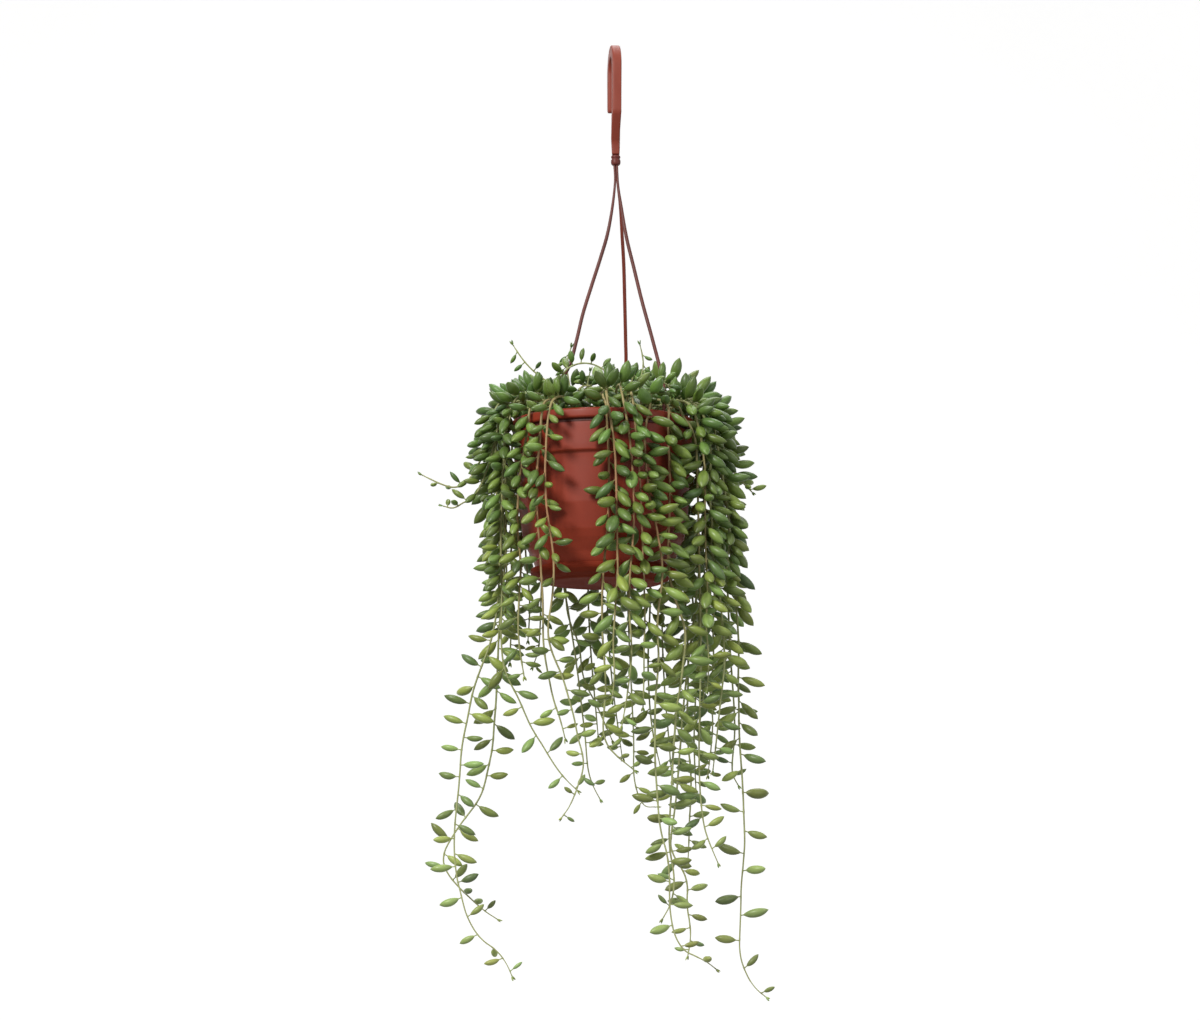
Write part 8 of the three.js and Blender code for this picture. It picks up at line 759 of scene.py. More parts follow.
     ((1.225,159,40,2.6,18.6,8.7),(5.766,-58,46,3,20.4,8.9),(6.283,-79,-31,2.4,17.9,8.9),(6.911,3,24,3,17.6,8.2),(7.324,-43,9,2.4,17.8,8),(7.848,-24,-15,2.9,21.2,10),(8.294,-76,-44,3,16.3,7.9),(8.822,102,-30,2.9,15.8,7.8),(9.259,-17,-17,2.3,20.5,9.2),(9.686,-74,-48,2.7,18,8.2),(10.282,-163,-11,2.8,20.6,9.5),(10.918,-20,-33,2.3,20.1,9.4),(11.569,-141,-27,2.9,20.6,9.4),(12.268,-100,-48,3,20.9,9.6),(13.172,-47,-47,2.7,16.6,7),(14.065,-148,-27,2.5,19.9,9.2),(15.074,-76,0,3.1,15.8,7.2),(15.914,-26,-31,3,20.1,8.6),(16.739,-122,-42,2.4,17.8,8.7),(17.452,-26,-42,3.1,18.4,9),(18.335,-121,-25,2.5,18.9,9.3),(19.109,-23,-31,2.9,19.6,8.9),(19.642,74,-49,2.2,17.2,8.6),(20.259,-16,-49,2.8,21,9.7),(20.73,-124,6,2.9,20.8,9.7),(21.316,-78,-43,3.1,16.3,7.8),(21.892,-148,-38,2.9,19.3,8.8),(22.441,-28,-40,2.5,16.3,8.1),(23.135,-99,-44,3.2,19.9,9.2),(23.859,-36,-36,2.5,20.1,8.8),(25.101,-86,-38,2.8,20.8,10.1),(26.283,7,-19,2.4,19.6,8.7),(27.755,-152,-47,2.8,17.7,7.5),(29.074,-9,8,3,15.4,7.4),(30.277,-138,-28,2.3,13.6,6.2),(31.222,-2,-26,2.6,10.8,5),)),
    ("trailing_shoot_29", (35,0,-319.4,37.2,0.1,-310.9,40.6,0.3,-302.7,45.1,0.6,-295.1,51.3,0.9,-289.1,59.9,1.4,-287.3,68.5,1.7,-288.8,75.8,1.9,-293.7,81,2,-300.8,84.2,2,-309,86.1,2,-317.6,87.5,2,-326.3,89.7,2,-334.8,93.2,2,-342.9,98.3,2,-350.1,104.2,2,-356.6,110.4,2,-363),
     ((1.899,156,22,2.4,13.5,6.6),(4.174,-110,29,3.1,16.8,7.5),(4.481,72,-3,3,13.9,6),(4.843,-60,34,2.8,13.5,6.6),(5.159,1,53,3,22.3,10.4),(5.912,104,-57,2.3,17.3,7.3),(6.681,-37,-7,3,20,8.8),(7.051,26,25,2.3,21.1,10.2),(7.599,-2,3,2.9,17.6,7.6),(8.456,134,-51,3.1,19.9,9.7),(9.07,-2,21,2.5,19.2,9),(9.843,154,-53,2.9,15.9,7.9),(11.606,3,17,3.1,17.2,8.1),(12.61,13,-1,2.7,19,8.8),(13.562,-11,-14,2.8,16.9,8.1),(14.416,49,-2,2.2,15.5,6.7),(15.134,-77,-18,2.7,11.4,4.9),(15.691,9,12,2.3,12.1,5.6),)),
    ("trailing_shoot_30", (-49.3,-4,-319.4,-51.6,-3.7,-310.7,-55,-3.6,-302.4,-59,-4.2,-294.4,-64.4,-4.7,-287.3,-72.2,-5.1,-283.2,-81.1,-5.5,-283.8,-89.2,-5.8,-287.4,-96,-5.9,-293.2,-99.8,-6,-301.3,-102.4,-6,-309.9,-104.4,-6,-318.7,-106.4,-6,-327.5,-109,-6,-336.1,-112.7,-6,-344.3,-117.4,-6,-351.9,-123.7,-6,-358.2,-132.1,-6,-360.3,-140.8,-6,-357.9,-149,-6,-354.2,-157,-6,-350.2),
     ((1.223,-147,-18,2.2,17.5,8.5),(1.615,48,-39,3.2,14.6,7),(2.169,164,-37,2.7,15.7,6.9),(2.602,101,-29,2.6,13.4,5.7),(3.161,64,-14,3.2,14,6.7),(3.671,150,-39,2.3,18.7,8.5),(4.307,110,-19,2.6,17.2,8.1),(4.959,-110,-14,2.6,18.6,8.1),(5.708,111,54,3.2,14.9,6.9),(6.57,159,26,2.9,19,8.8),(7.491,120,-2,2.5,19.1,8.3),(8.374,142,-1,2.7,18.4,8.6),(8.948,-163,-27,2.6,15.3,7.6),(9.765,-147,-41,3.2,16.3,7.8),(10.512,130,-20,2.6,17,8.1),(11.281,-149,-22,3.2,15.9,7.8),(11.977,144,-15,2.9,14.6,7.1),(12.715,-170,-11,2.6,11.4,4.9),(13.392,-129,-40,2.8,12.3,5.4),(14.167,134,25,2.5,14,6.6),(15.076,-144,-37,2.9,12.6,5.6),(16.077,-175,45,2.8,12,5.3),(17.177,108,6,2.7,10.3,4.4),(18.37,-119,-19,2.8,8.7,4.2),)),
    ("trailing_shoot_31", (-41.9,-11.8,-319.4,-44.9,-12.8,-311.1,-49.9,-12.7,-303.6,-56,-13.5,-297.2,-63.5,-15.6,-293,-71.5,-19.2,-291.8,-79.7,-22.6,-292.6,-87,-24.7,-296.9,-91.9,-25.6,-304.3,-94.8,-25.8,-312.7,-96.6,-26,-321.5,-98.5,-26,-330.3,-100.7,-26,-338.9,-103.2,-26,-347.5,-106.2,-26,-356,-109.8,-26,-364.2,-114.9,-26,-371.5,-122.6,-26,-375.8,-130.6,-26,-380,-138.8,-26,-378.4),
     ((1.228,-40,-26,3,13.6,6.7),(2.742,170,-23,2.3,18.2,8),(3.448,-112,-49,2.4,12.7,6),(4.829,-77,48,2.3,16.1,6.9),(5.519,120,-31,2.8,14.4,6.4),(6.284,-130,10,2.6,17.7,8.4),(6.901,-132,-20,2.7,13.7,6.5),(7.37,166,-13,3.2,13.8,6.3),(7.755,-138,-31,2.7,14.9,7.2),(8.268,150,-25,3,18,8.5),(8.808,-159,-27,2.8,14.9,6.7),(9.228,-8,-52,2.3,16.3,7.3),(9.694,163,-26,2.8,15.3,6.5),(10.256,-143,-36,3.1,14,6.1),(10.89,159,-24,3,17.8,8.2),(11.53,-145,-26,2.5,16.8,7.8),(12.344,-153,-37,3.1,17.4,8.4),(13.349,147,-24,3.1,14.8,7.3),(14.335,-158,1,2.2,13.9,6.4),(15.331,-138,-42,2.8,13.1,6.2),(16.587,162,38,3.1,13.5,6.2),(17.49,-109,11,3,10.6,5.1),(18.577,87,41,2.9,9.2,4.1),)),
    ("trailing_shoot_32", (-42,13.9,-319.4,-44,15,-310.7,-46.9,16.4,-302.2,-50.3,17.7,-294,-54.5,19,-286.1,-60.3,20.6,-279.5,-68.7,22.5,-277.3,-77.3,24.1,-279.3,-85.6,25.3,-282.8,-91.6,25.8,-289.4,-95,25.9,-297.7,-97.2,26,-306.5,-98.9,26,-315.4,-100.1,26,-324.3,-101.1,26,-333.3,-101.7,26,-342.3,-102.1,26,-351.3,-101.8,26,-360.4,-100.9,26,-369.4,-99.6,26,-378.3,-98.1,26,-387.2,-96.6,26,-396.1,-95.1,26,-405,-93.9,26,-414,-92.9,26,-423,-92.4,26,-432,-92.3,26,-441,-92.6,26,-450.1,-93,26,-459.1,-93.7,26,-468.1,-94.4,26,-477.1),
     ((1.217,-168,-16,2.6,20.8,9.1),(2.872,167,-33,2.3,16.7,8.2),(3.266,25,10,2.3,13.5,6.1),(4.317,167,-39,2.7,18.6,8.1),(4.732,-66,-8,2.7,19,9.4),(5.028,-108,24,2.3,20.2,10),(5.797,-180,64,2.9,17.8,8.4),(6.116,-142,6,3,19.5,9.6),(6.544,153,30,2.7,17.2,7.6),(7.581,-151,35,2.2,15.8,7.7),(8.179,144,19,2.3,16,7.7),(8.725,163,-22,2.7,21.1,9.1),(9.442,-139,-21,2.9,17.8,7.5),(10.113,151,-44,2.7,21,9.9),(10.801,15,-50,2.5,18.2,8),(11.487,-127,-35,3.1,17.3,8.5),(12.078,124,-44,3.2,19.4,9.6),(12.739,-134,-48,2.4,16.4,7.2),(13.473,7,-47,2.7,18.7,9.3),(14.155,168,-26,2.4,19.9,9.4),(14.696,-118,-46,2.3,19.8,9.4),(15.315,129,-40,2.4,19.9,8.8),(15.759,-33,-48,2.3,19.2,8.5),(16.282,177,-49,2.5,20,9.4),(16.664,36,1,2.7,16.4,7.3),(17.202,-118,-22,2.3,15.7,7.2),(17.731,-173,-52,2.7,21.2,10.6),(18.225,109,-15,2.8,19.4,9.6),(18.832,24,-20,3,18.3,8.4),(19.567,-179,-51,3.1,15.8,7.8),(20.389,69,-28,2.6,17.1,7.6),(21.083,159,-21,2.8,16.2,7.5),(21.827,-172,-40,2.5,20.4,8.9),(22.63,150,-40,3,18.5,7.8),(23.493,135,-49,2.6,16.2,7.9),(24.534,-163,-40,2.9,18.6,9),(25.404,120,-46,3.1,16.1,7.7),(26.329,-161,-28,2.6,18.4,8),(27.088,6,-43,2.3,16.2,7.9),(27.735,-152,-26,3.1,14.8,7.3),(28.441,20,-42,3,15.1,6.4),(29.108,-158,-48,2.8,11.9,6),)),
    ("trailing_shoot_33", (-48.4,-14.7,-319.4,-50.6,-16.1,-310.6,-54.2,-19.2,-302.9,-59.2,-23.6,-296.9,-65.1,-28.9,-293.6,-73.9,-30,-294.3,-80.8,-31.3,-300,-85.3,-31.8,-307.9,-87.8,-31.9,-316.7,-89.1,-32,-325.7,-89.5,-32,-334.9,-89.2,-32,-344,-88.7,-32,-353.1,-88.7,-32,-362.3,-89.4,-32,-371.4,-90,-32,-380.6,-90,-32,-389.7,-89.4,-32,-398.8,-88.7,-32,-408,-88,-32,-417.1,-87.5,-32,-426.2,-87.3,-32,-435.4,-87.5,-32,-444.5,-87.9,-32,-453.7,-88.5,-32,-462.8),
     ((1.202,-149,-37,2.8,13.2,5.8),(2.266,-17,-17,2.3,15.2,6.4),(3.227,-68,-43,3.2,15.1,6.6),(4.477,-81,-41,2.2,14.9,7.2),(5.12,-91,12,2.5,15.7,6.7),(5.959,-97,-37,2.9,15.2,6.5),(6.652,112,-38,3.2,18.2,8.9),(7.513,-137,7,2.4,13.1,6.5),(8.501,-165,-12,2.9,19.8,9.6),(9.101,-43,-19,3.1,16.1,7),(9.665,-155,-50,2.5,17.5,8.6),(10.429,-9,-48,2.5,17.3,7.7),(11.061,-156,-50,2.9,18.1,7.9),(11.662,131,-40,2.7,16.4,7.5),(12.07,69,-26,3,18.6,9),(12.505,-164,-42,2.5,15.8,7.3),(13.09,102,-46,2.4,18.2,8),(13.704,-4,-40,3.1,18.9,9.1),(14.388,162,-47,2.5,19.7,9.7),(15.151,-37,-41,2.4,19.1,8.7),(15.938,-174,-40,3,15.6,6.9),(16.859,-177,-52,2.4,16.9,7.5),(17.919,-166,-51,3.1,16,7.1),(19.106,-15,-43,2.5,16.6,7.4),(19.91,173,-37,2.6,15.8,7.2),(20.849,-160,-37,3,12.8,5.4),(21.626,-162,-49,3,13.8,6.5),(22.287,-29,-34,2.4,15.1,7.1),(23.046,158,-41,3.2,12.3,5.4),(23.802,-44,-43,2.5,10.3,5),)),
    ("trailing_shoot_34", (-10.8,47.2,-319.4,-10.9,48.8,-310.5,-11,50.4,-301.7,-11.1,52.1,-292.8,-11.2,54,-284,-11.3,56.2,-275.3,-11.5,59.1,-266.8,-11.8,63.8,-259.2,-12.5,71.7,-260.6,-13,77.1,-267.6,-13.6,79,-276.4,-14.2,79.8,-285.3,-14.8,80,-294.3,-15.5,80.1,-303.3,-16.1,80,-312.3,-16.6,80,-321.3,-17.2,80,-330.3,-17.7,80,-339.3,-18.1,80,-348.2,-18.6,80,-357.2,-19.2,80,-366.2,-19.7,80,-375.2,-20.3,80,-384.2,-21,80,-393.2,-21.7,80,-402.2,-22.3,80,-411.2,-22.7,80,-420.2,-22.9,80,-429.2,-22.8,80,-438.2,-22.6,80,-447.2,-22.3,80,-456.2,-21.8,80,-465.2,-21.4,80,-474.2,-20.8,80,-483.2,-20.1,80,-492.2,-19.4,80,-501.1,-18.6,80,-510.1,-17.8,80,-519.1,-17,80,-528.1,-16.2,80,-537,-15.4,80,-546,-14.6,80,-555),
     ((1.221,111,-20,2.8,15.5,6.9),(1.935,-79,-10,2.5,17.9,8),(2.982,131,-6,3,17.5,8.2),(3.826,91,-9,2.7,20.9,9.1),(4.593,144,-30,3.1,14.8,6.3),(5.39,140,-17,2.7,17.5,8.2),(6.044,-65,13,2.2,18.1,8.1),(6.695,-127,-3,3,21.7,9.9),(7.301,23,46,2.6,16.2,7.4),(7.753,45,28,3.1,18.1,8.5),(8.228,103,48,2.9,21.8,10.1),(8.683,47,-4,3,20,9.4),(9.154,52,-44,3.1,17.1,8.1),(9.715,161,4,3,17.6,8.4),(10.167,112,-11,3.1,21.7,10.1),(10.68,77,-39,2.9,16.4,7),(11.722,120,-47,2.2,19.9,8.5),(12.342,26,-48,2.4,15.7,6.6),(13.022,110,-47,3,17,7.6),(13.819,-21,-32,3.2,13.2,6.3),(14.659,83,-48,2.8,17.9,8.2),(16.304,139,-48,2.5,18.7,8.8),(17.152,51,-44,3.1,21.3,10.6),(17.789,165,-31,3.1,16.9,7.4),(18.433,111,-49,2.6,16.8,7.9),(19.094,11,-50,2.4,17.4,8.5),(19.673,124,-49,2.3,21.5,10.5),(20.352,-141,3,2.7,17.3,8.4),(21.008,29,-50,2.2,16.9,8.3),(21.634,133,-27,2.9,18,8.8),(22.191,41,-48,2.3,18.7,8.6),(22.758,-95,-45,2.8,18.1,8.7),(23.396,3,-52,2.7,16.9,8.3),(24.16,160,-45,2.6,17.9,8.2),(25.079,37,-20,3.1,17,8.2),(25.836,86,-20,2.3,17.4,8.6),(26.608,64,-29,3.1,17.7,7.6),(27.584,124,-48,2.7,20.8,8.8),(28.638,48,1,2.5,20.3,8.6),(29.333,179,-51,2.8,18.8,8.6),(30.156,46,-42,3.2,18.4,8.4),(30.9,134,-16,3.2,18.4,8.4),(31.551,42,-50,3,20.9,9.9),(32.214,163,-39,2.5,18.1,8.3),(32.808,-30,-39,2.8,15.9,6.9),(33.63,-178,-51,2.7,16.3,7.6),(34.553,29,-41,2.3,20.8,10.1),(35.522,139,-28,2.5,16.8,7.2),(36.759,-7,1,2.2,15.4,7.3),(37.786,170,-34,3.1,16.6,8.2),(38.892,0,-10,2.4,14.7,7.3),(39.964,-160,-6,2.8,12.6,6),)),
    ("trailing_shoot_35", (4.4,23.5,-319.4,5.6,25.4,-310.7,7.2,27.9,-302.3,9.1,30.6,-294,11.1,33.6,-285.8,13.4,37.2,-277.9,16.5,41.7,-270.8,21.1,47.7,-266.4,26.6,54.7,-266,32.1,61.5,-267.5,36.8,67.2,-271.6,38.8,69.2,-280.1,40.1,69.9,-288.9,41.2,70,-297.8,42,70,-306.7,42.6,70,-315.6,43.1,70,-324.6,43.5,70,-333.5,43.7,70,-342.4,43.7,70,-351.4,43.6,70,-360.3,43.3,70,-369.3,42.7,70,-378.2,42,70,-387.1,41.3,70,-396.1,40.7,70,-405,40.1,70,-413.9,39.7,70,-422.9,39.2,70,-431.8,38.9,70,-440.8,38.7,70,-449.7,38.6,70,-458.6,38.6,70,-467.6,38.7,70,-476.5,39,70,-485.5,39.3,70,-494.4,39.7,70,-503.4,40.2,70,-512.3,40.7,70,-521.3,41.4,70,-530.2,42.1,70,-539.1,42.9,70,-548,43.6,70,-556.9,44.3,70,-565.9,44.9,70,-574.8,45.6,70,-583.7,46.3,70,-592.6),
     ((1.229,-144,25,3.1,12.4,5.5),(2.807,16,-57,3.1,13.7,6.2),(3.391,-147,16,3,16.8,7.4),(4.735,25,-60,2.9,13.3,6.2),(5.412,12,-47,2.8,15.6,7.8),(6.011,-63,54,2.3,16,7),(6.667,-34,54,2.4,16,7.9),(7.208,-31,0,2.2,12.7,6.2),(7.953,23,63,2.3,16.3,8),(8.82,-1,51,2.9,15,6.3),(9.854,-3,-25,3.2,17.5,7.4),(10.901,132,-49,3,16.3,7.9),(11.906,32,10,2.7,16.7,7.7),(12.701,32,7,2.8,16.1,7.5),(13.756,50,-39,2.7,19,9.5),(14.636,108,-31,2.7,16,6.9),(15.46,66,-49,2.5,16.2,7.1),(16.677,38,-35,3.1,18.7,8.6),(17.367,113,-49,2.8,18,8.5),(18.066,25,-32,2.3,13.7,5.8),(18.875,-176,-17,2.5,19.3,9.1),(19.588,38,-32,3.1,15.8,7.7),(20.311,118,-33,2.4,15.5,7.3),(21.328,14,-20,2.9,16,8),(22.555,92,-46,2.5,19.6,9.5),(23.633,19,-14,2.8,16.1,7.3),(24.834,30,-25,3,18,8.8),(25.949,55,-44,2.6,15.2,7.2),(26.808,-166,0,3,19.9,8.6),(27.444,45,-28,2.2,19.4,8.7),(28.13,-168,-46,2.4,20,9),(28.843,2,-21,2.9,20.1,9.7),(29.617,23,-42,3.1,15.8,7.8),(30.446,-101,-42,2.3,15.8,7.2),(31.564,-9,-15,2.4,16.8,8),(32.911,-5,-47,2.6,17.9,8.9),(34.532,-116,-44,2.4,19.3,9),(35.806,-13,-47,2.9,17.4,8.3),(37.09,-150,-20,2.9,15.9,7.1),(38.378,-5,-33,2.3,17.1,7.8),(39.311,-156,-19,2.9,14.9,6.9),(40.458,3,-15,2.2,17.2,8.5),(41.352,-158,-40,2.8,16.7,7.3),(42.468,35,15,3.1,14.3,6.1),(44.092,-176,-41,2.3,11.4,5),(45.702,-5,-28,2.8,11.2,5.1),)),
    ("trailing_shoot_36", (9.4,22.1,-319.4,10.9,23.9,-310.8,13.1,26.2,-302.4,15.7,28.7,-294.2,18.6,31.6,-286.2,22.1,35,-278.8,27.2,39.5,-273,33.9,44.9,-270.9,40.8,50.5,-271.4,47.7,56,-272.4,51.6,58.8,-279.8,53.6,59.7,-288.5,55.1,60,-297.3,56.4,60,-306.2,57.4,60,-315.1,58.1,60,-324,58.7,60,-332.9,59.2,60,-341.9,59.7,60,-350.8,60.1,60,-359.8,60.4,60,-368.7,60.7,60,-377.7,60.9,60,-386.6,61.1,60,-395.6,61.4,60,-404.5,61.8,60,-413.4,62.2,60,-422.4,62.8,60,-431.3,63.4,60,-440.3,64,60,-449.2,64.5,60,-458.1,64.9,60,-467.1,65.3,60,-476,65.6,60,-485,65.9,60,-493.9,66,60,-502.9,66,60,-511.8,65.8,60,-520.8,65.5,60,-529.7,65.1,60,-538.7,64.7,60,-547.6,64.4,60,-556.6,64.4,60,-565.5,64.6,60,-574.5,64.9,60,-583.4,65.3,60,-592.4,65.7,60,-601.3),
     ((1.9,-111,-22,2.3,14.5,6.9),(3.454,-92,-5,2.4,12.2,6.1),(4.39,-63,-3,3.1,14.2,6.3),(6.58,-38,20,3.1,18,9),(7.744,-9,46,2.5,15,6.4),(8.88,65,30,3,19.5,9.5),(9.661,36,-39,3,16,7.7),(10.465,-54,2,2.5,15.4,6.5),(11.086,46,-34,3.1,17,7.2),(11.612,-42,-44,2.8,18.6,9),(12.11,72,-42,2.9,18.9,8),(12.804,15,-4,2.9,19.6,9.2),(13.37,50,-46,2.6,17.1,8.5),(14.041,-109,-38,3,15.9,7.6),(14.792,22,-36,2.9,15.9,7.1),(15.563,-33,-42,3,15.7,7.4),(16.493,58,-37,3.2,15,6.8),(17.357,3,-49,2.3,19.6,9.2),(18.302,93,-46,2.9,15.1,7.2),(19.61,11,-22,2.7,16.6,7.6),(20.539,66,-34,2.7,15.1,7.3),(21.703,12,-46,2.9,16.8,8.1),(22.518,106,5,2.7,15.8,7.1),(23.357,32,-32,2.7,20.3,8.8),(24.12,8,-43,2.8,15.1,7.1),(24.826,-42,-42,2.4,16,6.9),(25.612,140,-43,3.1,15.4,6.7),(26.243,33,-40,2.4,20.2,8.9),(26.977,93,-30,3,19.6,9.4),(27.785,13,-32,2.9,19,8.2),(28.681,3,-44,2.7,17,8.4),(29.866,40,-45,2.5,18.7,9.2),(31.468,122,-14,2.3,18.7,9.2),(33.242,-15,-27,2.3,18.7,8),(34.789,146,-23,2.2,16.2,7.4),(35.703,17,-36,2.8,18.3,7.7),(36.636,138,-24,2.2,15.6,7),(37.572,-15,-34,2.9,17.7,7.5),(38.707,114,-8,3,16.1,7.6),(39.891,-2,-1,2.5,14.4,6.5),(41.588,-176,11,2.6,13.2,5.6),(42.683,-5,-33,3.1,12.5,6),(43.856,147,8,2.8,10.4,4.5),(45.254,30,-12,2.2,11.1,5),)),
    ("trailing_shoot_37", (-34.5,20.7,-319.4,-36.1,22.4,-310.7,-38.3,24.7,-302.3,-40.9,27.3,-294.1,-43.8,30.5,-286.2,-47.4,34.4,-279,-52.7,39.5,-274,-59.3,45.5,-273.2,-66,51.2,-274.6,-70.1,54.5,-281.2,-71.9,55.6,-289.9,-73.2,55.9,-298.8,-74.1,56,-307.8,-74.8,56,-316.7,-75.3,56,-325.7,-75.6,56,-334.7,-75.8,56,-343.7,-75.9,56,-352.7,-75.9,56,-361.7,-75.8,56,-370.7,-75.6,56,-379.6,-75.3,56,-388.6,-74.9,56,-397.6,-74.4,56,-406.6,-73.8,56,-415.5,-72.9,56,-424.5,-71.9,56,-433.4,-71.2,56,-442.4,-71,56,-451.4,-71.2,56,-460.4,-71.7,56,-469.3,-72.3,56,-478.3),
     ((1.224,-62,-36,2.4,13.7,6.5),(2.243,35,1,3.1,15.6,6.6),(4.457,22,10,2.9,19.9,8.6),(5.265,30,39,2.4,14.4,7.2),(6.99,-158,-51,2.3,19.7,9.3),(7.658,96,27,3.2,16.8,7.4),(8.235,150,9,2.2,17.7,7.5),(8.79,-36,-59,2.3,19.8,8.8),(9.269,142,-24,2.6,16.1,7.9),(9.834,-94,-38,2.7,15.1,7.5),(10.498,19,-47,2.6,14.1,7),(11.124,-112,-45,2.8,18.8,9.4),(12.035,6,-38,2.5,16.1,7.7),(13.076,-105,-24,2.5,19.5,9.5),(14.221,112,3,2.5,19,8.3),(15.49,-22,-43,3.1,19.7,8.8),(16.732,102,-27,2.9,16.2,7.4),(17.718,-109,-13,2.7,20.2,9.8),(18.569,-33,-36,2.6,17,8.1),(19.475,148,-17,2.3,16.3,7.8),(20.066,-14,-47,2.8,15.7,7.3),(20.801,-119,-41,2.4,18.5,8.4),(21.597,96,-18,3,18.7,8.6),(22.231,136,-29,2.6,17.9,8),(23.144,80,-35,3.2,19.8,8.4),(23.919,134,-4,2.3,15.4,6.6),(25.2,154,-8,2.3,15.5,7.2),(26.559,161,-18,2.6,15.7,7.4),(27.793,133,-20,2.2,15.2,6.7),(29.017,176,-17,3,12.7,6.1),(30.3,10,-44,2.5,10,4.2),)),
    ("trailing_shoot_38", (-9.4,52.2,-319.4,-9.3,53.7,-310.5,-8.8,55.1,-301.7,-8.3,56.5,-292.8,-7.8,58,-283.9,-7.2,59.7,-275.1,-6.3,62.3,-266.6,-4.4,67,-259.3,-1.2,74.7,-261.5,0.1,80.8,-267.5,-0.2,83.1,-276.2,-0.8,83.9,-285.1,-1.4,84.1,-294,-2.1,84.1,-303,-2.6,84.1,-312,-3.1,84,-321,-3.5,84,-330,-3.8,84,-339,-4,84,-347.9,-4.3,84,-356.9,-4.6,84,-365.9,-4.9,84,-374.9,-5.2,84,-383.9,-5.6,84,-392.9,-5.9,84,-401.9,-6.1,84,-410.9,-6.3,84,-419.9,-6.4,84,-428.9,-6.5,84,-437.9,-6.6,84,-446.9,-6.5,84,-455.9,-6.3,84,-464.8,-5.9,84,-473.8,-5.3,84,-482.8,-4.6,84,-491.8,-3.8,84,-500.7,-2.9,84,-509.7,-1.9,84,-518.6,-0.8,84,-527.6,0.4,84,-536.5,1.6,84,-545.4,2.8,84,-554.3,4,84,-563.2,5.3,84,-572.1),
     ((1.223,-62,-27,2.4,16,6.9),(2.573,109,-44,2.8,14.2,6.1),(3.3,73,-32,2.8,15.3,6.4),(4.734,36,-48,2.2,17.9,8.3),(5.239,93,-24,2.9,18.1,8.2),(6.331,156,-19,2.9,17,8.4),(6.917,-105,51,2.5,15.9,7.7),(7.601,-3,-15,3,18.7,9.3),(8.445,42,22,2.3,16.7,7.9),(9.264,24,-43,2.4,16.9,7.3),(10.166,65,-49,2.9,16.8,7.6),(11.935,136,-46,2.7,18.1,7.8),(12.941,32,-17,2.6,20.6,9.2),(13.776,82,-37,2.7,20.8,9.8),(14.371,150,-14,2.8,14.2,6.9),(15.174,47,-50,2.9,16.4,7.6),(15.732,136,-45,2.4,19.3,8.4),(16.232,-140,-39,2.9,16.9,8.2),(16.898,58,-44,2.4,21.3,10.2),(17.946,-126,-30,2.9,15.1,7.4),(18.654,23,-46,2.9,20.2,9.3),(19.445,99,-12,2.9,19,8.8),(20.159,84,-51,2.7,17.7,8.1),(21.098,13,-40,2.2,17.1,7.6),(22.087,117,-8,2.8,20,9.1),(22.853,24,-47,3,18.5,8.6),(23.797,65,-52,2.6,19.9,8.8),(24.877,-56,-47,2.8,19.7,9.6),(25.768,38,-25,2.8,18.8,8.8),(26.566,0,-42,2.9,19,8.6),(27.322,62,-3,2.5,16.8,8.4),(27.778,36,-27,3.1,19.2,8.8),(28.299,-149,7,3.1,17.3,8.6),(28.763,20,-39,2.3,16.7,7.7),(29.335,128,-46,2.6,17.1,7.2),(30.017,6,-50,2.9,21.6,10.6),(30.699,95,-21,2.3,17.9,8.2),(31.42,-67,-39,2.4,18.2,8.6),(32.554,68,-12,2.3,17.9,8),(33.589,21,-36,2.6,20.4,10.1),(35.115,7,-46,3.1,17.2,7.7),(36.109,82,-21,3.1,19.9,8.4),(37.237,133,-17,2.5,19,8.5),(38.4,7,12,3,16.5,8.1),(39.112,130,-40,2.6,14.8,6.9),(39.925,9,10,3.2,15.4,6.9),(40.503,165,-18,2.3,15,6.5),(41.263,-39,-31,3.1,12.8,6.4),(42.13,-145,-8,2.3,11.6,5.6),)),
    ("crown_shoot_01", (-44.8,-7.8,-319.4,-44.5,-8.3,-310.5,-45.3,-8.7,-301.6,-46.7,-9.2,-292.7,-48.9,-9.6,-284.1,-53.5,-9.9,-276.4,-60.4,-10,-270.8,-67.3,-10,-265.1,-73.5,-10,-258.6,-78.8,-10,-251.5,-83.7,-10,-243.9),
     ((1.005,-160,-34,3.2,12.6,5.6),(1.596,78,8,2.9,11.8,5.2),(2.031,133,-2,2.6,10.2,4.4),(2.477,-6,-39,2.4,11.3,5.2),(2.964,133,-23,2.4,10.7,4.8),(3.549,119,-2,2.8,12.8,6.1),(4.184,171,-47,2.5,13.6,5.8),(4.889,22,38,2.8,12.5,5.6),(5.687,136,-55,2.4,11.7,5.7),(6.931,-52,31,3.2,8.5,3.6),(8.076,164,-38,2.9,8.8,4.2),(9.281,157,-61,2.5,8.6,3.9),)),
    ("crown_shoot_02", (-34,6,-319.4,-34.3,6.2,-310.8,-34.8,6.6,-302.2,-35.5,7,-293.7,-36.3,7.4,-285.1,-37.4,7.7,-276.6,-38.8,7.9,-268.1,-40.1,8,-259.6,-39.3,8,-251.1,-36.7,8,-242.9),
     ((1.046,179,5,2.3,9.5,4.2),(1.928,120,-47,2.9,10.4,5.2),(2.742,158,-2,2.6,11.2,4.8),(3.426,179,-7,2.2,10.1,4.8),(4.053,162,-14,2.4,9.8,4.2),(5.01,-168,-28,2.4,8.7,3.8),(5.607,154,-2,2.5,10,4.5),(6.413,-144,-28,3,9.4,4.3),(7.167,-176,-44,3.2,8.9,4.1),(7.765,-170,-31,2.5,8.6,3.6),(8.378,151,-35,2.7,8.2,3.5),)),
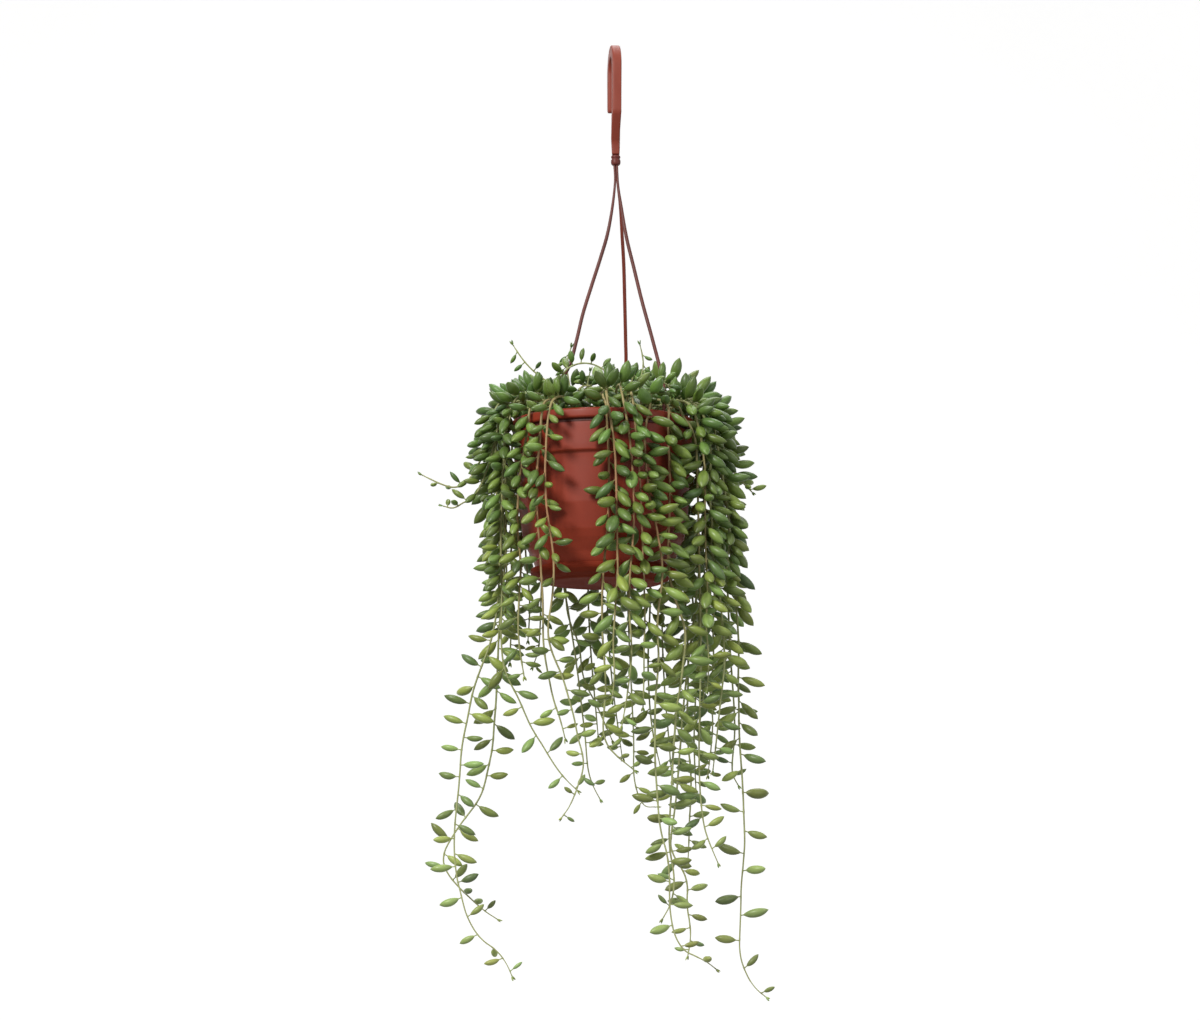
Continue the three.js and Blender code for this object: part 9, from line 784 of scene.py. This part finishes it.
    ("crown_shoot_03", (-50,-26,-319.4,-49.9,-27.6,-310.3,-49.5,-29.9,-301.4,-48.7,-32.7,-292.7,-47.1,-34.8,-283.9,-44.2,-35.7,-275.2,-38.5,-35.9,-268.1,-30.2,-36,-264.4,-21.1,-36,-264.3,-12.5,-36,-267.6,-5.6,-36,-273.6,-0.1,-36.1,-280.9),
     ((0.977,-160,2,2.3,11.2,5),(1.715,-122,-41,2.9,11.1,5.4),(2.349,-127,-32,3.1,11.3,5.2),(3.113,-177,-3,3.1,14.6,6.8),(3.665,-17,-50,2.5,12.9,5.7),(4.218,-144,7,2.9,13.1,5.6),(4.879,-80,-45,3.1,12.7,5.7),(5.335,-126,24,2.6,13.8,6.1),(5.921,102,39,3.1,13.7,6),(6.455,-105,56,2.3,11.1,5.3),(7.223,36,83,2.4,10.6,5.3),(8.098,-74,34,2.3,10.4,4.4),(9.085,37,47,2.8,10.4,4.9),(10.194,-110,-16,2.5,7.5,3.3),)),
    ("crown_shoot_04", (28.3,-8.7,-319.4,26.8,-8.7,-310.9,24,-10.2,-303,20.8,-11.8,-295.1,18.3,-13,-286.9,18.1,-13.7,-278.4,20.5,-13.9,-270.2,22.1,-14,-261.7,21.4,-14,-253.1,19.5,-14,-244.7),
     ((1.043,95,-23,2.6,14.4,6.7),(1.419,43,13,2.9,11.4,4.8),(1.844,105,-12,2.8,14,5.9),(2.316,21,25,3,11.9,5.3),(2.866,-77,1,2.4,14.3,6.9),(3.298,-3,22,2.8,12.8,5.7),(3.897,-21,19,2.4,10.4,5.1),(4.445,-75,-39,2.7,13,5.6),(5.2,56,-38,2.6,11.6,5.6),(6.119,-29,-54,2.9,11.5,5.3),(7.029,28,-49,2.9,8.4,4.1),(8.015,-35,-31,2.6,8.5,3.9),)),
    ("crown_shoot_05", (-26,-34,-319.4,-26.9,-36.5,-310.4,-28.9,-40.3,-302.1,-30.4,-44.3,-293.8,-28,-46.9,-285.5,-19.9,-47.4,-285.1,-14.7,-47.1,-292.8),
     ((0.962,-57,-15,2.3,14.9,6.9),(1.452,110,-16,2.3,16.8,7.6),(1.927,14,-10,2.7,14.9,6.4),(2.531,151,-25,3,13,5.6),(3.111,-18,-48,3.1,16.4,7.3),(3.626,-138,2,2.3,15.7,7.1),(4.269,-98,53,2.8,11.6,5),(4.846,-39,24,2.2,11,5.5),(5.42,-18,13,2.6,10.2,4.9),(5.837,-133,-15,2.3,10.1,5),)),
    ("crown_shoot_06", (30,-36,-319.4,29.5,-39.3,-310.3,28.2,-44.5,-302.2,27.4,-48.5,-293.7,30.1,-49.7,-284.6,38.2,-49.9,-282.7,44.5,-50,-290),
     ((0.928,61,-17,3,16.2,7.3),(1.494,-144,-28,2.4,15.6,6.6),(1.954,-54,-56,2.5,14.6,7.1),(2.713,-78,-11,2.5,13.7,5.8),(3.025,129,16,2.3,13,6.1),(3.397,4,-8,3,13.4,6),(3.698,-166,-18,2.9,13.5,6.3),(4.032,-62,-24,2.8,14.8,6.9),(4.29,-69,13,2.3,13.3,6.5),(4.564,-22,77,2.8,14.4,6.7),(4.886,-29,35,3.2,10.5,5),(5.304,31,-8,2.9,10.2,4.9),(5.61,-67,-27,2.8,10,4.5),)),
    ("crown_shoot_07", (-6,22,-319.4,-6.7,21.7,-310.3,-8.2,21.4,-301.3,-9.8,21,-292.4,-11.3,20.6,-283.4,-11.7,20.2,-274.3,-9.2,20.1,-265.6,-3.1,20,-258.9),
     ((0.988,-21,-21,2.5,17.6,7.9),(1.261,-179,-24,3.2,19.3,9.4),(1.648,44,-38,2.9,14.7,6.4),(2.003,122,-33,2.8,14.3,6.3),(2.332,2,8,3.1,16.7,8.3),(2.773,141,-28,2.9,14.7,7),(3.191,-40,6,2.9,17.7,8.8),(3.596,121,-24,2.7,13.3,6.1),(4.057,-1,14,3.1,13.8,6.5),(4.467,174,6,2.6,13.6,6.8),(4.907,49,-44,2.6,11.5,5),(5.592,163,20,2.9,14.2,6),(6.121,13,-43,3,10.6,4.7),(6.72,101,38,3.2,10.8,4.7),)),
    ("crown_shoot_08", (34.5,25.9,-319.4,34.8,28.2,-311.2,35.1,30.4,-303,35.6,32.1,-294.7,36.3,33.5,-286.3,38.3,33.8,-278.1,44.6,32.9,-273.7,52.4,33.2,-276.6,59,34,-281.8,64.6,34.8,-288.2),
     ((1.057,-51,-15,2.8,19.8,9.6),(1.667,169,-35,3,16.5,7.9),(2.18,66,-50,2.4,16.8,7.3),(2.834,-38,9,2.8,19.9,8.5),(3.527,42,-41,2.8,15.1,7),(4.208,12,-26,3,17.8,8.7),(4.793,87,-15,2.3,15.1,6.4),(5.289,175,23,2.3,13.4,6.6),(5.922,55,30,2.6,13.1,6.4),(6.411,19,33,2.3,14.1,6.1),(6.895,30,7,2.3,11.7,5.5),(7.264,93,-52,2.3,11.2,5.3),(7.691,7,-4,2.7,13.8,5.8),(8.118,81,-36,3.2,10.2,4.5),(8.497,3,-25,3,12.5,5.9),)),
    ("crown_shoot_09", (-50,24,-319.4,-50.3,25.1,-309.9,-51,26.9,-300.6,-51.9,29.2,-291.3,-53.3,31.9,-282.3,-57.9,32.4,-274.4,-66.8,31.3,-276.5,-74.8,31.8,-281.7,-81.4,32,-288.5),
     ((0.942,134,-14,2.4,17.9,8.3),(1.375,-170,-24,2.3,19.2,8.1),(1.711,64,-31,2.4,19.1,9.3),(2.133,174,-1,2.9,17.9,7.9),(2.597,118,-47,2.5,15.5,7.3),(2.879,107,-12,3.1,16.2,6.8),(3.227,161,-7,2.9,19.3,9.2),(3.59,-32,23,2.5,18.7,8.6),(3.942,57,-38,2.5,18.3,8.6),(4.226,100,-15,3.2,16,7.7),(4.501,-13,18,2.8,13.9,6.7),(4.874,79,56,2.5,12.6,5.8),(5.241,-112,47,2.9,16.4,7.3),(5.562,158,59,2.3,15.4,7.2),(6.009,-164,43,2.8,13.3,5.6),(6.401,153,5,2.8,11.7,5.3),(6.83,-97,-44,2.6,12.3,6),(7.251,136,-14,3.2,10.6,4.9),(7.779,-113,-27,2.6,12.5,6.1),)),
    ("crown_shoot_10", (44,-12,-319.4,44.1,-13.7,-310.8,44.4,-16.2,-302.5,45.4,-19.1,-294.3,50.3,-19.3,-288.2,58.4,-18.3,-290.6,65.1,-18.5,-296.1,70.9,-19.6,-302.6),
     ((1.028,166,7,2.5,13.5,6.6),(1.37,36,-32,2.3,15.8,7.8),(1.73,-70,-37,2.8,17,7.3),(2.062,-131,-24,2.8,13.4,6.6),(2.498,19,-51,2.5,14.2,6.4),(2.82,-61,-40,2.3,14.1,6.9),(3.247,-165,21,2.4,15.7,7.7),(3.759,111,-1,3.2,13.7,6),(4.207,-56,15,2.7,13.8,6.3),(4.729,-33,27,2.6,14.2,6.2),(5.249,-12,-1,2.8,13.9,5.9),(5.896,25,-14,2.7,10.9,5.3),(6.424,-11,11,2.5,10.8,5.2),)),
    ("crown_shoot_11", (8,-30,-319.4,5.4,-30.6,-310.7,-0.4,-31.5,-303.5,-6.7,-32.5,-296.7,-11.4,-33.4,-288.9,-5.9,-33.9,-283.5,1.5,-34,-288.7),
     ((0.97,-21,34,2.8,14.5,6.8),(1.534,-54,25,2.3,13.7,5.8),(2.078,-18,63,3,14.1,6.8),(2.621,74,27,2.5,14.6,6.7),(3.2,-48,29,2.4,12.8,5.9),(3.785,-120,-19,2.5,14.7,6.5),(4.376,-144,-8,2.6,13.6,6.1),(4.868,94,68,3.1,11.6,5),(5.281,52,41,2.7,11.6,5.8),(5.717,40,14,2.3,9.6,4.6),)),
    ("crown_shoot_12", (-26,16,-319.4,-25.6,14.5,-309.9,-24.8,12.3,-300.6,-23.9,9.8,-291.4,-23.2,7.6,-282.1,-23.1,6.4,-272.6,-21.1,6,-263.2),
     ((1.394,116,7,2.5,13.9,6.1),(1.901,175,1,2.4,16,7),(2.257,115,15,2.9,16.1,7.7),(2.613,42,-45,2.6,12.8,5.7),(3.049,-133,-25,2.9,13.1,6),(3.4,153,-22,3.2,12,5.9),(3.762,148,-4,3,12.4,5.3),(4.07,42,-36,2.5,12.9,5.5),(4.351,-153,-19,2.7,13.7,5.8),(4.653,11,-27,2.3,10.2,4.3),(4.968,123,11,2.4,10.9,4.8),(5.346,165,-12,3.2,9.5,4.7),(5.644,-153,-11,3,10.2,4.5),)),
    ("crown_shoot_13", (16,4,-319.4,15.7,2.5,-310.3,15,0.4,-301.4,14.3,-2,-292.5,13.5,-4.1,-283.6,12.9,-5.4,-274.5,14.7,-6,-265.5),
     ((0.976,91,-9,3,15.8,6.8),(1.364,140,-39,3.2,15.3,7.1),(1.661,89,13,3.1,15,6.6),(1.98,37,-1,2.5,16.1,6.9),(2.366,-3,-3,2.6,13,5.7),(2.719,-134,-16,2.2,15.2,7.5),(3.147,0,8,2.5,11.7,5.1),(3.651,157,-24,3.2,14.8,6.6),(4.068,33,-5,2.8,13.9,6.6),(4.523,-169,-49,3.2,12.8,5.5),(5.065,56,0,3.2,13.1,6.2),(5.781,-6,-50,2.4,9.6,4.8),)),
    ("crown_shoot_14", (12,34,-319.4,11.3,34.7,-310,9.7,35.6,-300.7,8,36.7,-291.5,6.3,37.9,-282.3,5.2,38.9,-273,6.8,39.7,-263.9,15.2,40,-261.9),
     ((0.952,49,2,2.5,16.1,7.1),(1.623,136,-12,3,15.1,7.1),(2.18,9,-14,2.3,14.8,6.9),(2.779,73,-35,2.6,16.5,7.5),(3.387,56,-5,2.2,14.5,6.4),(3.908,122,-34,2.7,14.1,6.9),(4.489,58,-30,2.6,12,5.5),(5.1,178,4,3.1,11.2,4.9),(5.596,39,-12,2.5,10.8,5.3),(5.992,151,-25,2.4,10.4,4.5),(6.374,-141,76,2.2,10.3,4.7),(6.706,-53,50,3.2,11.8,5.9),)),
)


# ----------------------------------------------------------------------- build
make_pot()
make_saucer()
make_soil()
make_hook()
make_collar()
make_strands()
for _i, (_name, _flat, _leaves) in enumerate(SHOOTS):
    make_shoot(_name, _flat, _leaves, random.Random(100 + _i))


# ----------------------------------------------------------------------- stage
def stage():
    n = Nodes("backdrop_paper")
    v = n.coords()
    col = n.ramp(n.noise(1.5, 2.0, 0.5, 0.0, v), [(0.3, (0.90, 0.90, 0.90)), (0.7, (0.93, 0.93, 0.93))])
    n.link(col, n.b.inputs["Base Color"])
    n.b.inputs["Roughness"].default_value = 0.9
    n.b.inputs["Emission Color"].default_value = (1.0, 1.0, 1.0, 1.0)
    n.b.inputs["Emission Strength"].default_value = 0.55
    prof = [(-5.5, -2.6), (2.4, -2.6)]
    for i in range(1, 17):
        a = (math.pi / 2) * i / 16
        prof.append((2.4 + 1.4 * math.sin(a), -2.6 + 1.4 * (1 - math.cos(a))))
    prof.append((3.8, 4.5))
    verts, faces = [], []
    for y, z in prof:
        verts += [(-6000.0, y * 1000, z * 1000), (6000.0, y * 1000, z * 1000)]
    for i in range(len(prof) - 1):
        faces.append((2 * i, 2 * i + 1, 2 * i + 3, 2 * i + 2))
    g = Nodes("floor_paper")
    g.link(g.ramp(g.noise(1.5, 2.0, 0.5, 0.0, g.coords()), [(0.3, (0.50, 0.50, 0.50)), (0.7, (0.54, 0.54, 0.54))]), g.b.inputs["Base Color"])
    g.b.inputs["Roughness"].default_value = 0.9
    ob = obj_from("backdrop", verts, faces, [n.mat, g.mat], face_mat=[1 if i < 7 else 0 for i in range(len(faces))])


stage()

world = bpy.data.worlds.new("studio")
scene.world = world
world.use_nodes = True
bg = world.node_tree.nodes["Background"]
bg.inputs[0].default_value = (1.0, 1.0, 1.0, 1.0)
bg.inputs[1].default_value = 0.37


def area(name, loc, target, size, power, colour=(1, 1, 1)):
    li = bpy.data.lights.new(name, "AREA")
    li.shape = "RECTANGLE"
    li.size, li.size_y = size
    li.energy = power
    li.color = colour
    ob = bpy.data.objects.new(name, li)
    scene.collection.objects.link(ob)
    ob.location = loc
    ob.rotation_euler = (Vector(target) - Vector(loc)).to_track_quat("-Z", "Y").to_euler()


area("key", (-1.1, -1.7, 0.75), (0.0, 0.0, -0.42), (0.7, 0.7), 48.0, (1.0, 0.985, 0.955))
area("fill", (1.6, -1.5, -0.2), (0.0, 0.0, -0.45), (1.4, 1.4), 10.0, (0.97, 0.985, 1.0))
area("top", (0.1, 0.35, 1.1), (0.0, 0.0, -0.35), (1.2, 1.2), 16.0)

# ---------------------------------------------------------------------- camera
PITCH = math.radians(8.0)
DIST, PX_MM = 2400.0, 0.81
cam = bpy.data.cameras.new("camera")
cam.sensor_fit = "HORIZONTAL"
cam.sensor_width = 36.0
cam.lens = 36.0 * (DIST / PX_MM) / 1200.0
cam.clip_end = 50.0
cob = bpy.data.objects.new("camera", cam)
scene.collection.objects.link(cob)
cob.location = (-12.96 * MM, -DIST * math.cos(PITCH) * MM, (-378.0 - DIST * math.sin(PITCH)) * MM)
cob.rotation_euler = (math.radians(90) + PITCH, 0.0, 0.0)
scene.camera = cob
